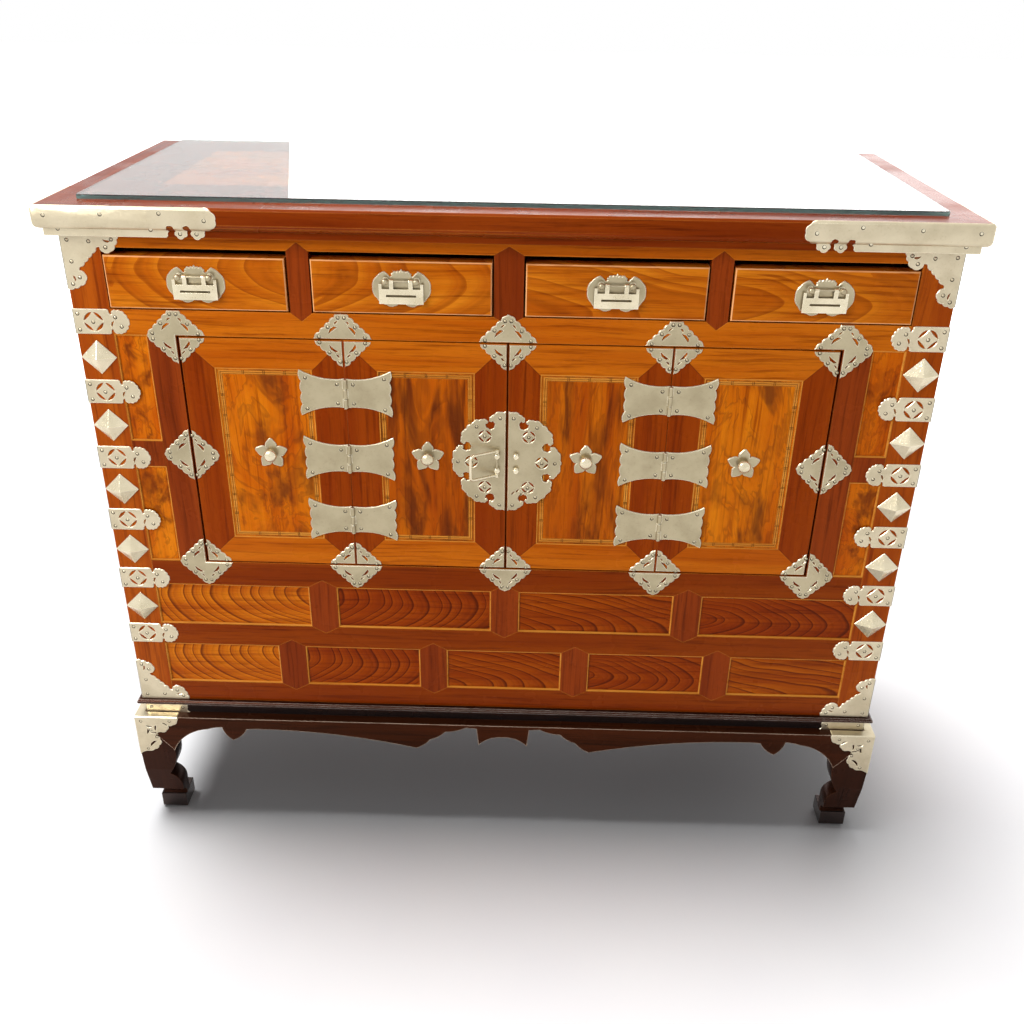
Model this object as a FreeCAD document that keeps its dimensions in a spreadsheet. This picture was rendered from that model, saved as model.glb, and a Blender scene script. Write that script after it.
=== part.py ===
import FreeCAD, Part
import math
import os
from types import SimpleNamespace

import Sketcher

# A low chest on a stand: four drawers over a cupboard with four folding leaves,
# two rows of fixed panels below the leaves, a moulded top under a sheet of glass,
# and pale metal trim on the corners, the hinges and the lock.
#
# Frame: the origin is on the floor, at the middle of the chest's outer box.
# +X runs to the right, +Y to the back and +Z up. All lengths are millimetres.

doc = FreeCAD.newDocument("chest")

# The driving dimensions, each with the cell name that every piece reads it by.
SIZES = [
    # Case
    ("case_width", 1000, "outside of the corner posts"),
    ("case_depth", 422, "front face to back face"),
    ("post_width", 43, "corner post, seen from the front"),
    ("post_depth", 43, "corner post, seen from the side"),
    ("rail_depth", 24, "thickness of the front frame"),
    ("side_rail_depth", 22, "thickness of the side frames"),
    ("back_rail_depth", 18, "thickness of the back frame"),
    ("top_rail_height", 16, "rail above the drawers"),
    ("drawer_opening_height", 70.5, "opening for the drawers"),
    ("drawer_rail_height", 30.5, "rail between drawers and leaves"),
    ("door_opening_height", 302, "opening for the leaves"),
    ("door_rail_height", 35, "rail under the leaves"),
    ("upper_row_height", 61.5, "first row of fixed panels"),
    ("row_rail_height", 32.5, "rail between the two rows"),
    ("lower_row_height", 62, "second row of fixed panels"),
    ("base_rail_height", 31, "lowest rail"),
    ("drawer_divider_width", 25, "upright between two drawers"),
    ("centre_divider_width", 34, "upright in the middle of the drawers"),
    ("row_divider_width", 36, "upright between two fixed panels"),
    ("flank_panel_width", 38, "narrow panel beside the leaves"),
    ("flank_stile_width", 34, "stile beside the leaves"),
    ("flank_rail_height", 34, "rail between two narrow panels"),
    ("tip_length", 10, "pointed end of an upright, let into the rail"),
    ("tip_depth", 6, "thickness of the pointed end"),
    ("panel_thickness", 9, "fixed panels"),
    ("panel_recess", 2.5, "fixed panels lie this far behind the frame's face"),
    ("groove_depth", 5, "how far a panel enters its frame"),
    ("board_thickness", 12, "inner boards"),
    ("guide_height", 20, "strips that guide the drawers"),
    # Top
    ("top_thickness", 34, "moulded frame round the top"),
    ("top_side_overhang", 17, "past the case at each side"),
    ("top_front_overhang", 24, "past the case at the front"),
    ("top_back_overhang", 12, "past the case at the back"),
    ("top_frame_width", 110, "members of the mitred frame"),
    ("top_panel_thickness", 14, "board inside the frame"),
    ("nose_radius", 8, "round under the frame's edge"),
    ("fascia_height", 8, "upright band under the round"),
    ("top_edge_slope", 2.5, "eased upper edge"),
    ("glass_thickness", 5, "loose sheet on the top"),
    ("glass_inset", 36, "from the top's edge, front and sides"),
    ("glass_back_inset", 24, "from the top's back edge"),
    ("glass_bevel", 1, "ground edge of the sheet"),
    # Stand
    ("stand_height", 200, "floor to the underside of the case"),
    ("cap_thickness", 7, "board that the case rests on"),
    ("cap_overhang", 7, "past the case all round"),
    ("cap_slope", 2, "eased edges of that board"),
    ("waist_height", 17, "black band under the board"),
    ("waist_setback", 2, "behind the case's faces"),
    ("waist_thickness", 20, "boards of the band"),
    ("apron_overhang", 12, "past the case all round"),
    ("apron_thickness", 22, "aprons"),
    ("leg_thickness", 28, "the two arms of a leg"),
    ("leg_foot_width", 50, "corner of the leg to the end of its toe"),
    ("toe_height", 50, "floor to the top of the toe"),
    ("mitre_width", 49, "apron mitre, along the front"),
    ("mitre_drop", 58, "apron mitre, down the leg"),
    ("ankle_width", 35, "narrowest part of the leg"),
    ("ankle_height", 73, "floor to the narrowest part"),
    ("leg_sweep", 16, "how far the foot draws in"),
    ("foot_block_size", 36, "side of the black block under a leg"),
    ("foot_block_height", 25, "floor to the wood of the leg"),
    ("foot_block_setback", 13, "block behind the corner of the leg"),
    ("foot_chamfer", 3, "lower edges of the block"),
    # Drawers
    ("drawer_top_gap", 8, "above a drawer front"),
    ("drawer_side_gap", 1.8, "beside a drawer front"),
    ("drawer_bottom_gap", 2, "below a drawer front"),
    ("drawer_proud", 3, "front stands before the frame"),
    ("drawer_front_thickness", 20, "drawer front"),
    ("drawer_edge_round", 2, "rounded edges of a drawer front"),
    ("drawer_wall", 9, "sides and back of a drawer"),
    ("drawer_floor", 5, "bottom of a drawer"),
    ("drawer_box_height", 52, "sides of a drawer"),
    ("drawer_back_gap", 32, "between a drawer and the back frame"),
    ("running_gap", 0.3, "between a drawer and what carries it"),
    # Leaves
    ("leaf_thickness", 22, "folding leaves"),
    ("leaf_outer_gap", 2.5, "between the outer leaf and its stile"),
    ("leaf_end_gap", 1.5, "above and below a leaf"),
    ("leaf_hinge_gap", 0.8, "between two hinged leaves"),
    ("leaf_meeting_gap", 1.5, "between the two inner leaves"),
    ("leaf_frame_width", 38, "stiles of a leaf"),
    ("leaf_frame_height", 36, "rails of a leaf"),
    ("leaf_panel_recess", 0.8, "panel behind the leaf's face"),
    ("leaf_panel_thickness", 12, "leaf panel"),
    ("meeting_bevel", 1.2, "back of the meeting edges"),
    ("border_inset", 3, "border line, from the panel's edge"),
    ("border_width", 5, "width of the inlaid border"),
    ("border_groove", 0.6, "depth of the border"),
    ("pivot_inset", 8, "leaf's edge to its pivot"),
    ("pivot_depth", 6, "leaf's face to its pivot"),
    ("pivot_radius", 2.5, "pivot pin"),
    ("pivot_length", 8, "pin in the rail, and in the leaf"),
    ("pivot_clearance", 0.06, "between a pin and its hole"),
    # Metal trim
    ("plate_thickness", 1.2, "all trim plates"),
    ("plate_setback", 0.8, "plates end this far from an edge that moves"),
    ("cut_overrun", 4, "how far a cut runs past what it cuts"),
    ("diamond_reach", 35, "middle of a diamond plate to its points"),
    ("diamond_tip", 2.5, "cut points of a diamond plate"),
    ("edge_notch", 1.8, "notches in the edges of plates"),
    ("lock_radius", 67, "flower plate of the lock"),
    ("lock_notch_depth", 5, "notches between the petals"),
    ("lock_post_spacing", 19, "between the two posts on a leaf"),
    ("lock_post_inset", 11.5, "posts, from the middle of the lock"),
    ("lock_post_radius", 1.8, "stem of a post"),
    ("lock_head_radius", 3.4, "head of a post"),
    ("lock_head_height", 2.2, "head of a post"),
    ("lock_post_reach", 5, "stem of a post before the plate"),
    ("hasp_arm_length", 36, "pivot to cross bar"),
    ("hasp_spread", 32, "between the two arms"),
    ("hasp_rod_radius", 1.5, "rod of the hasp"),
    ("hasp_bend", 5, "bends of the rod"),
    ("hasp_pin_radius", 1.2, "pin through the posts"),
    ("hasp_pin_reach", 3, "plate's face to the pin"),
    ("hasp_eye_wall", 1.3, "wall of the hasp's eyes"),
    ("hasp_eye_height", 5, "height of the hasp's eyes"),
    ("turning_clearance", 0.1, "round the pins of hasp, bail and hinges"),
    ("hinge_pitch", 84.5, "between two hinges of a pair of leaves"),
    ("hinge_reach", 54, "barrel to the end of a hinge plate"),
    ("hinge_waist", 37, "height of a hinge at its barrel"),
    ("hinge_end_height", 58, "height of a hinge at its ends"),
    ("barrel_radius", 2.5, "knuckles of a hinge"),
    ("barrel_pin_radius", 1.2, "pin of a hinge"),
    ("barrel_stand_off", 0.2, "knuckles before the leaf's face"),
    ("knuckle_gap", 0.3, "between two knuckles"),
    ("knob_petal_reach", 15.5, "middle of a knob's flower to its petals"),
    ("knob_petal_thickness", 1.6, "flower plate of a knob"),
    ("knob_radius", 7.5, "head of a knob"),
    ("knob_reach", 13, "leaf to the top of a knob"),
    ("knob_rise", 4, "above the middle of the leaf"),
    ("pull_plate_width", 66, "plate behind a drawer pull"),
    ("pull_plate_height", 43, "plate behind a drawer pull"),
    ("pull_stud_spacing", 35, "between the studs of a pull"),
    ("pull_stud_rise", 9, "studs above the plate's middle"),
    ("pull_stem_width", 3.2, "square stem of a stud"),
    ("pull_head_radius", 3.8, "faceted head of a stud"),
    ("pull_head_height", 3, "faceted head of a stud"),
    ("pull_stud_reach", 7, "plate to the stud's head"),
    ("bail_width", 50, "hanging plate of a pull"),
    ("bail_height", 26, "pivot to the lower edge of the hanging plate"),
    ("bail_thickness", 1.8, "hanging plate of a pull"),
    ("bail_pin_radius", 1, "rod that the hanging plate turns on"),
    ("bail_pin_reach", 4, "plate to the rod"),
    ("bail_eye_radius", 2.1, "curls round the rod"),
    ("bail_ear_gap", 0.9, "outer ears end this far below the curls"),
    ("bail_notch_width", 17, "notch in the hanging plate"),
    ("bail_notch_depth", 9, "notch in the hanging plate"),
    ("bail_slot_width", 34, "long slot in the hanging plate"),
    ("bail_slot_height", 2.6, "long slot in the hanging plate"),
    ("bail_slot_rise", 8, "slot above the lower edge"),
    ("bail_window_width", 8.6, "windows that the studs pass through"),
    ("bail_window_height", 9, "windows that the studs pass through"),
    ("corner_plate_size", 64, "corner plates of the case"),
    ("strap_length", 42, "straight part of a corner strap"),
    ("strap_height", 30, "corner straps"),
    ("strap_side_length", 30, "straight part round the corner"),
    ("strap_pitch", 85, "least distance between two corner straps"),
    ("stud_reach", 21, "middle of a pyramid stud to its points"),
    ("stud_height", 11, "height of a pyramid stud"),
    ("stud_rim", 1.2, "thickness of a pyramid stud's rim"),
    ("top_strap_length", 200, "strap along the front of the top"),
    ("top_strap_side_length", 120, "strap along the side of the top"),
    ("waist_strap_length", 60, "strap round the corner of the black band"),
    ("leg_plate_width", 59, "plate on the corner of the stand"),
    ("leg_plate_drop", 66, "plate on the corner of the stand"),
    ("leg_plate_flange", 11, "plate on the apron's upper edge"),
]

sheet = doc.addObject("Spreadsheet::Sheet", "Sizes")
for row_number, (alias, number, note) in enumerate(SIZES, start=1):
    sheet.set(f"A{row_number}", alias)
    sheet.set(f"B{row_number}", str(number))
    sheet.set(f"C{row_number}", note)
    sheet.setAlias(f"B{row_number}", alias)
doc.recompute()


# Lengths that stay bound to the sheet

class Size:
    """A length that holds its number and the sheet expression behind it."""

    def __init__(self, number, text):
        self.number = float(number)
        self.text = text

    def __float__(self):
        return self.number

    def __neg__(self):
        return Size(-self.number, f"(-1 * {self.text})")

    def __add__(self, other):
        return Size(self.number + float(other), f"({self.text} + {text_of(other)})")

    def __sub__(self, other):
        return Size(self.number - float(other), f"({self.text} - {text_of(other)})")

    def __mul__(self, factor):
        return Size(self.number * float(factor), f"({self.text} * {text_of(factor)})")

    def __truediv__(self, divisor):
        return Size(self.number / float(divisor), f"({self.text} / {text_of(divisor)})")

    def __radd__(self, other):
        return self + other


def text_of(value):
    """Give the expression text of a size or a plain number."""
    return value.text if isinstance(value, Size) else repr(float(value))


def bind(item, property_name, size):
    """Bind a property of a document object to a size's expression."""
    item.setExpression(property_name, text_of(size))


s = SimpleNamespace(**{
    alias: Size(sheet.get(alias), f"Sizes.{alias}") for alias, number, note in SIZES
})

# Places that many pieces share, worked out from the driving dimensions

case_half = s.case_width / 2
case_front = (s.top_front_overhang + s.plate_thickness - s.case_depth - s.top_back_overhang) / 2
case_back = case_front + s.case_depth
case_base = s.stand_height
base_rail_top = case_base + s.base_rail_height
lower_row_top = base_rail_top + s.lower_row_height
row_rail_top = lower_row_top + s.row_rail_height
upper_row_top = row_rail_top + s.upper_row_height
door_base = upper_row_top + s.door_rail_height
door_top = door_base + s.door_opening_height
drawer_base = door_top + s.drawer_rail_height
drawer_top = drawer_base + s.drawer_opening_height
case_top = drawer_top + s.top_rail_height
wood_top = case_top + s.top_thickness
door_middle = door_base + s.door_opening_height / 2
inner_half = case_half - s.post_width
door_half = inner_half - s.flank_panel_width - s.flank_stile_width
frame_back = case_front + s.rail_depth
top_front = case_front - s.top_front_overhang
top_back = case_back + s.top_back_overhang
top_half = case_half + s.top_side_overhang
cap_base = case_base - s.cap_thickness
apron_top = cap_base - s.waist_height
stand_half = case_half + s.apron_overhang
stand_front = case_front - s.apron_overhang
stand_back = case_back + s.apron_overhang

DRAWER_COUNT = 4
UPPER_ROW_COUNT = 4
LOWER_ROW_COUNT = 5
drawer_opening_width = (
    inner_half * 2 - s.centre_divider_width - s.drawer_divider_width * 2
) / DRAWER_COUNT
upper_panel_width = (
    inner_half * 2 - s.row_divider_width * (UPPER_ROW_COUNT - 1)
) / UPPER_ROW_COUNT
lower_panel_width = (
    inner_half * 2 - s.row_divider_width * (LOWER_ROW_COUNT - 1)
) / LOWER_ROW_COUNT
leaf_width = (
    door_half - s.leaf_outer_gap - s.leaf_hinge_gap - s.leaf_meeting_gap / 2
) / 2
leaf_base = door_base + s.leaf_end_gap
leaf_top = door_top - s.leaf_end_gap
hinge_x = s.leaf_meeting_gap / 2 + leaf_width + s.leaf_hinge_gap / 2
pivot_x = door_half - s.leaf_outer_gap - s.pivot_inset

ORIGIN = FreeCAD.Vector(0, 0, 0)
RIGHT = FreeCAD.Vector(1, 0, 0)
BACKWARD = FreeCAD.Vector(0, 1, 0)
UP = FreeCAD.Vector(0, 0, 1)
FORWARD = FreeCAD.Vector(0, -1, 0)
LEFT_SIDE = -1
RIGHT_SIDE = 1
SIDES = (LEFT_SIDE, RIGHT_SIDE)
FULL_TURN = 360
QUARTER_TURN = 90
HALF = 0.5
FACETS = 8
FACET_INNER_SHARE = math.cos(math.pi / FACETS)
RIGHT_SIDE_CUT = -1

finished = []


# Building blocks

def block(name, x, y, z):
    """Make a board that fills a span along each axis."""
    box = doc.addObject("Part::Box", name)
    for length_name, axis_name, (low, high) in (
        ("Length", "x", x), ("Width", "y", y), ("Height", "z", z)
    ):
        bind(box, length_name, high - low)
        bind(box, f"Placement.Base.{axis_name}", low)
    return box


def group(name, pieces):
    """Gather separate pieces in one object."""
    gathered = doc.addObject("Part::Compound", name)
    gathered.Links = pieces
    return gathered


def less(name, piece, tools):
    """Cut the shapes of other objects out of a piece."""
    cut = doc.addObject("Part::Cut", name)
    cut.Base = piece
    cut.Tool = tools[0] if len(tools) == 1 else group(f"{name}_tools", tools)
    return cut


def held(name, shape):
    """Put a worked-out shape in the document."""
    feature = doc.addObject("Part::Feature", name)
    feature.Shape = shape
    return feature


def hand_in(label, pieces):
    """Name a finished sub-part, which may be several separate solids."""
    node = pieces[0] if len(pieces) == 1 else group(f"{label}_pieces", pieces)
    node.Label = label
    finished.append(node)
    return node


def mirrored(shape):
    """Give the other side's copy of a shape."""
    return shape.mirror(ORIGIN, RIGHT)


# Sketches and bodies

def new_sketch(body, role, name, offset):
    """Attach a sketch to one of a body's own origin planes."""
    sketch = body.newObject("Sketcher::SketchObject", name)
    plane = [feature for feature in body.Origin.OriginFeatures if feature.Role == role][0]
    sketch.AttachmentSupport = (plane, "")
    sketch.MapMode = "FlatFace"
    bind(sketch, "AttachmentOffset.Base.z", offset)
    return sketch


def draw_polygon(sketch, corners):
    """Draw a closed outline whose corners are bound to the sheet."""
    points = [FreeCAD.Vector(float(u), float(v), 0) for u, v in corners]
    first = sketch.GeometryCount
    count = len(points)
    for index, point in enumerate(points):
        sketch.addGeometry(Part.LineSegment(point, points[(index + 1) % count]), False)
    for index, (u, v) in enumerate(corners):
        following = first + (index + 1) % count
        sketch.addConstraint(Sketcher.Constraint("Coincident", first + index, 2, following, 1))
        for kind, place in (("DistanceX", u), ("DistanceY", v)):
            rule = sketch.addConstraint(
                Sketcher.Constraint(kind, -1, 1, first + index, 1, float(place))
            )
            bind(sketch, f"Constraints[{rule}]", place)


def rectangle(low_u, low_v, high_u, high_v):
    """Give the corners of a rectangle."""
    return [(low_u, low_v), (high_u, low_v), (high_u, high_v), (low_u, high_v)]


def add_pad(body, role, name, outlines, offset, length):
    """Pad outlines from a plane of the body, along the plane's normal."""
    sketch = new_sketch(body, role, f"{name}_sketch", offset)
    for corners in outlines:
        draw_polygon(sketch, corners)
    pad = body.newObject("PartDesign::Pad", name)
    pad.Profile = sketch
    bind(pad, "Length", length)
    return pad


def add_pocket(body, role, name, outlines, offset, length):
    """Cut outlines into the body, along the plane's normal turned back."""
    before = body.Shape.Volume
    sketch = new_sketch(body, role, f"{name}_sketch", offset)
    for corners in outlines:
        draw_polygon(sketch, corners)
    pocket = body.newObject("PartDesign::Pocket", name)
    pocket.Profile = sketch
    bind(pocket, "Length", length)
    doc.recompute()
    if body.Shape.Volume >= before:
        raise RuntimeError(f"{name} cuts nothing")
    return pocket


def edges_where(shape, test):
    """Name the edges of a shape that pass a test."""
    return [f"Edge{index}" for index, edge in enumerate(shape.Edges, start=1) if test(edge)]


def dress_edges(body, kind, name, base, size, test):
    """Fillet or chamfer the edges of a feature that pass a test."""
    doc.recompute()
    dressing = body.newObject(f"PartDesign::{kind}", name)
    dressing.Base = (base, edges_where(base.Shape, test))
    bind(dressing, "Radius" if kind == "Fillet" else "Size", size)
    return dressing


# Outlines of carved and pierced pieces

class Outline:
    """A closed outline of lines and arcs in its own u and v."""

    def __init__(self, u, v):
        self.first = (float(u), float(v))
        self.here = self.first
        self.steps = []

    def line(self, u, v):
        """Draw a straight line to a place."""
        there = (float(u), float(v))
        self.steps.append((self.here, None, there))
        self.here = there
        return self

    def arc(self, u, v, bulge_share):
        """Draw an arc that bulges to the left of its way by a share of its chord."""
        there = (float(u), float(v))
        run_u = there[0] - self.here[0]
        run_v = there[1] - self.here[1]
        middle = (
            (self.here[0] + there[0]) / 2 - run_v * bulge_share,
            (self.here[1] + there[1]) / 2 + run_u * bulge_share,
        )
        self.steps.append((self.here, middle, there))
        self.here = there
        return self

    def follow(self, path):
        """Draw a path of places, each with the bulge of the way there."""
        for u, v, bulge_share in path:
            if bulge_share:
                self.arc(u, v, bulge_share)
            else:
                self.line(u, v)
        return self

    def notched(self, u, v, count, depth, side):
        """Draw straight runs to a place, parted by notches cut to the given side (left 1)."""
        start_u, start_v = self.here
        run_u = float(u) - start_u
        run_v = float(v) - start_v
        length = math.hypot(run_u, run_v)
        aside_u = -run_v / length * side
        aside_v = run_u / length * side
        for number in range(1, count + 1):
            for step, drop in ((-1, 0), (0, depth), (1, 0)):
                along = number / (count + 1) + step * depth / length
                self.line(
                    start_u + run_u * along + aside_u * drop,
                    start_v + run_v * along + aside_v * drop,
                )
        return self.line(u, v)

    def face(self, place):
        """Close the outline and give its face, laid out by a function of u and v."""
        if self.here != self.first:
            self.line(*self.first)
        edges = []
        for start, middle, end in self.steps:
            if middle is None:
                edges.append(Part.LineSegment(place(*start), place(*end)).toShape())
            else:
                edges.append(Part.Arc(place(*start), place(*middle), place(*end)).toShape())
        return Part.Face(Part.Wire(edges))


def there_and_back(start, path, flip):
    """Follow a path to the middle line, then its mirror image back."""
    places = [start] + [(u, v) for u, v, bulge_share in path]
    whole = list(path)
    for place, (u, v, bulge_share) in zip(places[-2::-1], path[::-1]):
        whole.append((*flip(*place), bulge_share))
    return whole


def bulge_share_of(turn):
    """Give the bulge of an arc that turns by an angle in degrees."""
    return math.tan(math.radians(turn / 4)) / 2


def before_plane(y):
    """Lay an outline's u and v along X and Z, on a plane across the chest."""
    return lambda u, v: FreeCAD.Vector(u, float(y), v)


def beside_plane(x):
    """Lay an outline's u and v along Y and Z, on a plane along the chest."""
    return lambda u, v: FreeCAD.Vector(float(x), u, v)


def forward_by(thickness):
    """Give the way towards a viewer before the chest."""
    return FreeCAD.Vector(0, -float(thickness), 0)


def solid_box(x, y, z):
    """Give a plain box shape between places along each axis."""
    lows = [float(span[0]) for span in (x, y, z)]
    highs = [float(span[1]) for span in (x, y, z)]
    return Part.makeBox(
        highs[0] - lows[0], highs[1] - lows[1], highs[2] - lows[2], FreeCAD.Vector(*lows)
    )


def placed(outline_shares, start_u, start_v, size_u, size_v):
    """Turn shares of two sizes into places measured from a start."""
    return [
        (
            float(start_u) + share_u * float(size_u),
            float(start_v) + share_v * float(size_v),
            bulge_share,
        )
        for share_u, share_v, bulge_share in outline_shares
    ]


def mirror_across(middle_u):
    """Give a function that flips a place over an upright line."""
    return lambda u, v: (float(middle_u) * 2 - u, v)


def mirror_upwards(middle_v):
    """Give a function that flips a place over a level line."""
    return lambda u, v: (u, float(middle_v) * 2 - v)


def faceted_points(centre, way, radius):
    """Give the corners of a regular outline, square to an axis."""
    across = UP if abs(way.z) < HALF else RIGHT
    aside = way.cross(across)
    points = []
    for facet in range(FACETS):
        turn = math.radians(FULL_TURN * (facet + HALF) / FACETS)
        points.append(
            centre + across * (radius * math.cos(turn)) + aside * (radius * math.sin(turn))
        )
    return points


def faceted_ring(centre, way, radius):
    """Give a regular outline with flats, square to an axis."""
    points = faceted_points(centre, way, radius)
    return Part.makePolygon(points + points[:1])


def faceted_bar(root, way, radius, length):
    """Give a thin bar with flats, from a place along an axis."""
    return Part.Face(faceted_ring(root, way, radius)).extrude(way * length)


def faceted_turning(seat, way, widest, reach, ring_shares):
    """Give a solid with flats whose rings are (radius share, height share) from a seat."""
    rings = [
        faceted_points(
            seat + way * (float(reach) * height_share), way, float(widest) * radius_share
        )
        for radius_share, height_share in ring_shares
    ]
    faces = [Part.Face(Part.makePolygon(ring + ring[:1])) for ring in (rings[0], rings[-1])]
    for lower, upper in zip(rings, rings[1:]):
        for facet in range(FACETS):
            beside = (facet + 1) % FACETS
            corners = [lower[facet], lower[beside], upper[beside], upper[facet]]
            faces.append(Part.Face(Part.makePolygon(corners + corners[:1])))
    solid = Part.Solid(Part.Shell(faces))
    return solid if solid.Volume > 0 else solid.reversed()


def corner_wrap(faces, skin, ridge):
    """Thicken a front and a left face into one plate bent round a corner."""
    front = faces[0].extrude(FreeCAD.Vector(0, -skin, 0))
    side = faces[1].extrude(FreeCAD.Vector(-skin, 0, 0))
    return front.fuse([side, ridge]).removeSplitter()


# Uprights of the front frame, with pointed ends let into the rails

def front_upright(name, x_middle, width, z_low, z_high):
    """Make an upright whose face runs on as a point into the rails above and below."""
    body = doc.addObject("PartDesign::Body", name)
    low_x = x_middle - width / 2
    high_x = x_middle + width / 2
    pointed = [
        (low_x, z_low), (x_middle, z_low - s.tip_length), (high_x, z_low),
        (high_x, z_high), (x_middle, z_high + s.tip_length), (low_x, z_high),
    ]
    add_pad(body, "XZ_Plane", f"{name}_face", [pointed], -(case_front + s.tip_depth), s.tip_depth)
    add_pad(
        body, "XZ_Plane", f"{name}_core", [rectangle(low_x, z_low, high_x, z_high)],
        -frame_back, s.rail_depth - s.tip_depth,
    )
    return body


def row_places(count, panel_width):
    """Give the middles of the uprights between a row's panels."""
    first = panel_width + s.row_divider_width / 2 - inner_half
    return [first + (panel_width + s.row_divider_width) * index for index in range(count - 1)]


side_divider_x = (
    s.centre_divider_width / 2 + drawer_opening_width + s.drawer_divider_width / 2
)
drawer_uprights = [
    front_upright(
        f"drawer_divider_{number}", x_middle, width, drawer_base, drawer_top
    )
    for number, (x_middle, width) in enumerate(
        (
            (-side_divider_x, s.drawer_divider_width),
            (Size(0, "0"), s.centre_divider_width),
            (side_divider_x, s.drawer_divider_width),
        ),
        start=1,
    )
]
upper_uprights = [
    front_upright(f"upper_divider_{number}", x, s.row_divider_width, row_rail_top, upper_row_top)
    for number, x in enumerate(row_places(UPPER_ROW_COUNT, upper_panel_width), start=1)
]
lower_uprights = [
    front_upright(f"lower_divider_{number}", x, s.row_divider_width, base_rail_top, lower_row_top)
    for number, x in enumerate(row_places(LOWER_ROW_COUNT, lower_panel_width), start=1)
]

# Fixed panels, each held in grooves all round

panel_front = case_front + s.panel_recess


def front_panel(name, x, z):
    """Make a panel that fills an opening of the front frame and enters its grooves."""
    return block(
        name,
        (x[0] - s.groove_depth, x[1] + s.groove_depth),
        (panel_front, panel_front + s.panel_thickness),
        (z[0] - s.groove_depth, z[1] + s.groove_depth),
    )


def row_of_panels(name, count, width, z):
    """Make the panels of one row."""
    pitch = width + s.row_divider_width
    return [
        front_panel(
            f"{name}_{index + 1}",
            (pitch * index - inner_half, pitch * index - inner_half + width),
            z,
        )
        for index in range(count)
    ]


upper_panels = row_of_panels(
    "upper_panel", UPPER_ROW_COUNT, upper_panel_width, (row_rail_top, upper_row_top)
)
lower_panels = row_of_panels(
    "lower_panel", LOWER_ROW_COUNT, lower_panel_width, (base_rail_top, lower_row_top)
)
flank_rail_low = door_middle - s.flank_rail_height / 2
flank_rail_high = door_middle + s.flank_rail_height / 2
flank_panels = []
flank_spans = {
    LEFT_SIDE: (-inner_half, -inner_half + s.flank_panel_width),
    RIGHT_SIDE: (inner_half - s.flank_panel_width, inner_half),
}
for side in SIDES:
    for level, span in (("low", (door_base, flank_rail_low)), ("high", (flank_rail_high, door_top))):
        flank_panels.append(front_panel(f"flank_panel_{side + 1}_{level}", flank_spans[side], span))

side_levels = (
    (base_rail_top, upper_row_top),
    (door_base, door_top),
    (drawer_base, drawer_top),
)
side_panels = []
for side in SIDES:
    for number, (low, high) in enumerate(side_levels, start=1):
        outer = case_half - s.panel_recess
        inner = outer - s.panel_thickness
        span = (-outer, -inner) if side == LEFT_SIDE else (inner, outer)
        side_panels.append(
            block(
                f"side_panel_{side + 1}_{number}",
                span,
                (
                    case_front + s.post_depth - s.groove_depth,
                    case_back - s.post_depth + s.groove_depth,
                ),
                (low - s.groove_depth, high + s.groove_depth),
            )
        )

back_panel_back = case_back - s.panel_recess
back_levels = ((base_rail_top, door_top), (drawer_base, drawer_top))
back_panels = [
    block(
        f"back_panel_{number}",
        (-inner_half - s.groove_depth, inner_half + s.groove_depth),
        (back_panel_back - s.panel_thickness, back_panel_back),
        (low - s.groove_depth, high + s.groove_depth),
    )
    for number, (low, high) in enumerate(back_levels, start=1)
]

# Case frame: posts and rails, grooved for the panels and notched for the uprights

front_insets = drawer_uprights + upper_uprights + lower_uprights
front_boards = upper_panels + lower_panels + flank_panels
grooved_uprights = [
    less(f"{upright.Name}_grooved", upright, boards)
    for uprights, boards in ((upper_uprights, upper_panels), (lower_uprights, lower_panels))
    for upright in uprights
]


def make_posts():
    """Make the four corner posts."""
    posts = []
    for side in SIDES:
        outer_x = (-case_half, -inner_half) if side == LEFT_SIDE else (inner_half, case_half)
        for place, span, boards in (
            ("front", (case_front, case_front + s.post_depth), front_boards + side_panels),
            ("back", (case_back - s.post_depth, case_back), back_panels + side_panels),
        ):
            name = f"post_{place}_{side + 1}"
            post = block(f"{name}_blank", outer_x, span, (case_base, case_top))
            posts.append(less(name, post, boards))
    return posts


def pivot_bores():
    """Make the holes that the leaves' pivot pins turn in."""
    bores = []
    for side in SIDES:
        for level, low in (
            ("low", door_base - s.pivot_length - s.running_gap),
            ("high", door_top - s.running_gap),
        ):
            bore = doc.addObject("Part::Prism", f"pivot_bore_{side + 1}_{level}")
            bore.Polygon = FACETS
            bind(bore, "Circumradius", (s.pivot_radius + s.pivot_clearance) / FACET_INNER_SHARE)
            bind(bore, "Height", s.pivot_length + s.running_gap * 2)
            for axis_name, place in (
                ("x", pivot_x * side), ("y", case_front + s.pivot_depth), ("z", low),
            ):
                bind(bore, f"Placement.Base.{axis_name}", place)
            bores.append(bore)
    return bores


def make_front_rails():
    """Make the five rails across the front."""
    bores = pivot_bores()
    levels = (
        ("base", case_base, base_rail_top),
        ("row", lower_row_top, row_rail_top),
        ("door", upper_row_top, door_base),
        ("drawer", door_top, drawer_base),
        ("top", drawer_top, case_top),
    )
    rails = []
    for name, low, high in levels:
        blank = block(
            f"{name}_rail_blank", (-inner_half, inner_half), (case_front, frame_back), (low, high)
        )
        rails.append(less(f"{name}_rail", blank, front_insets + front_boards + bores))
    return rails


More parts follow.
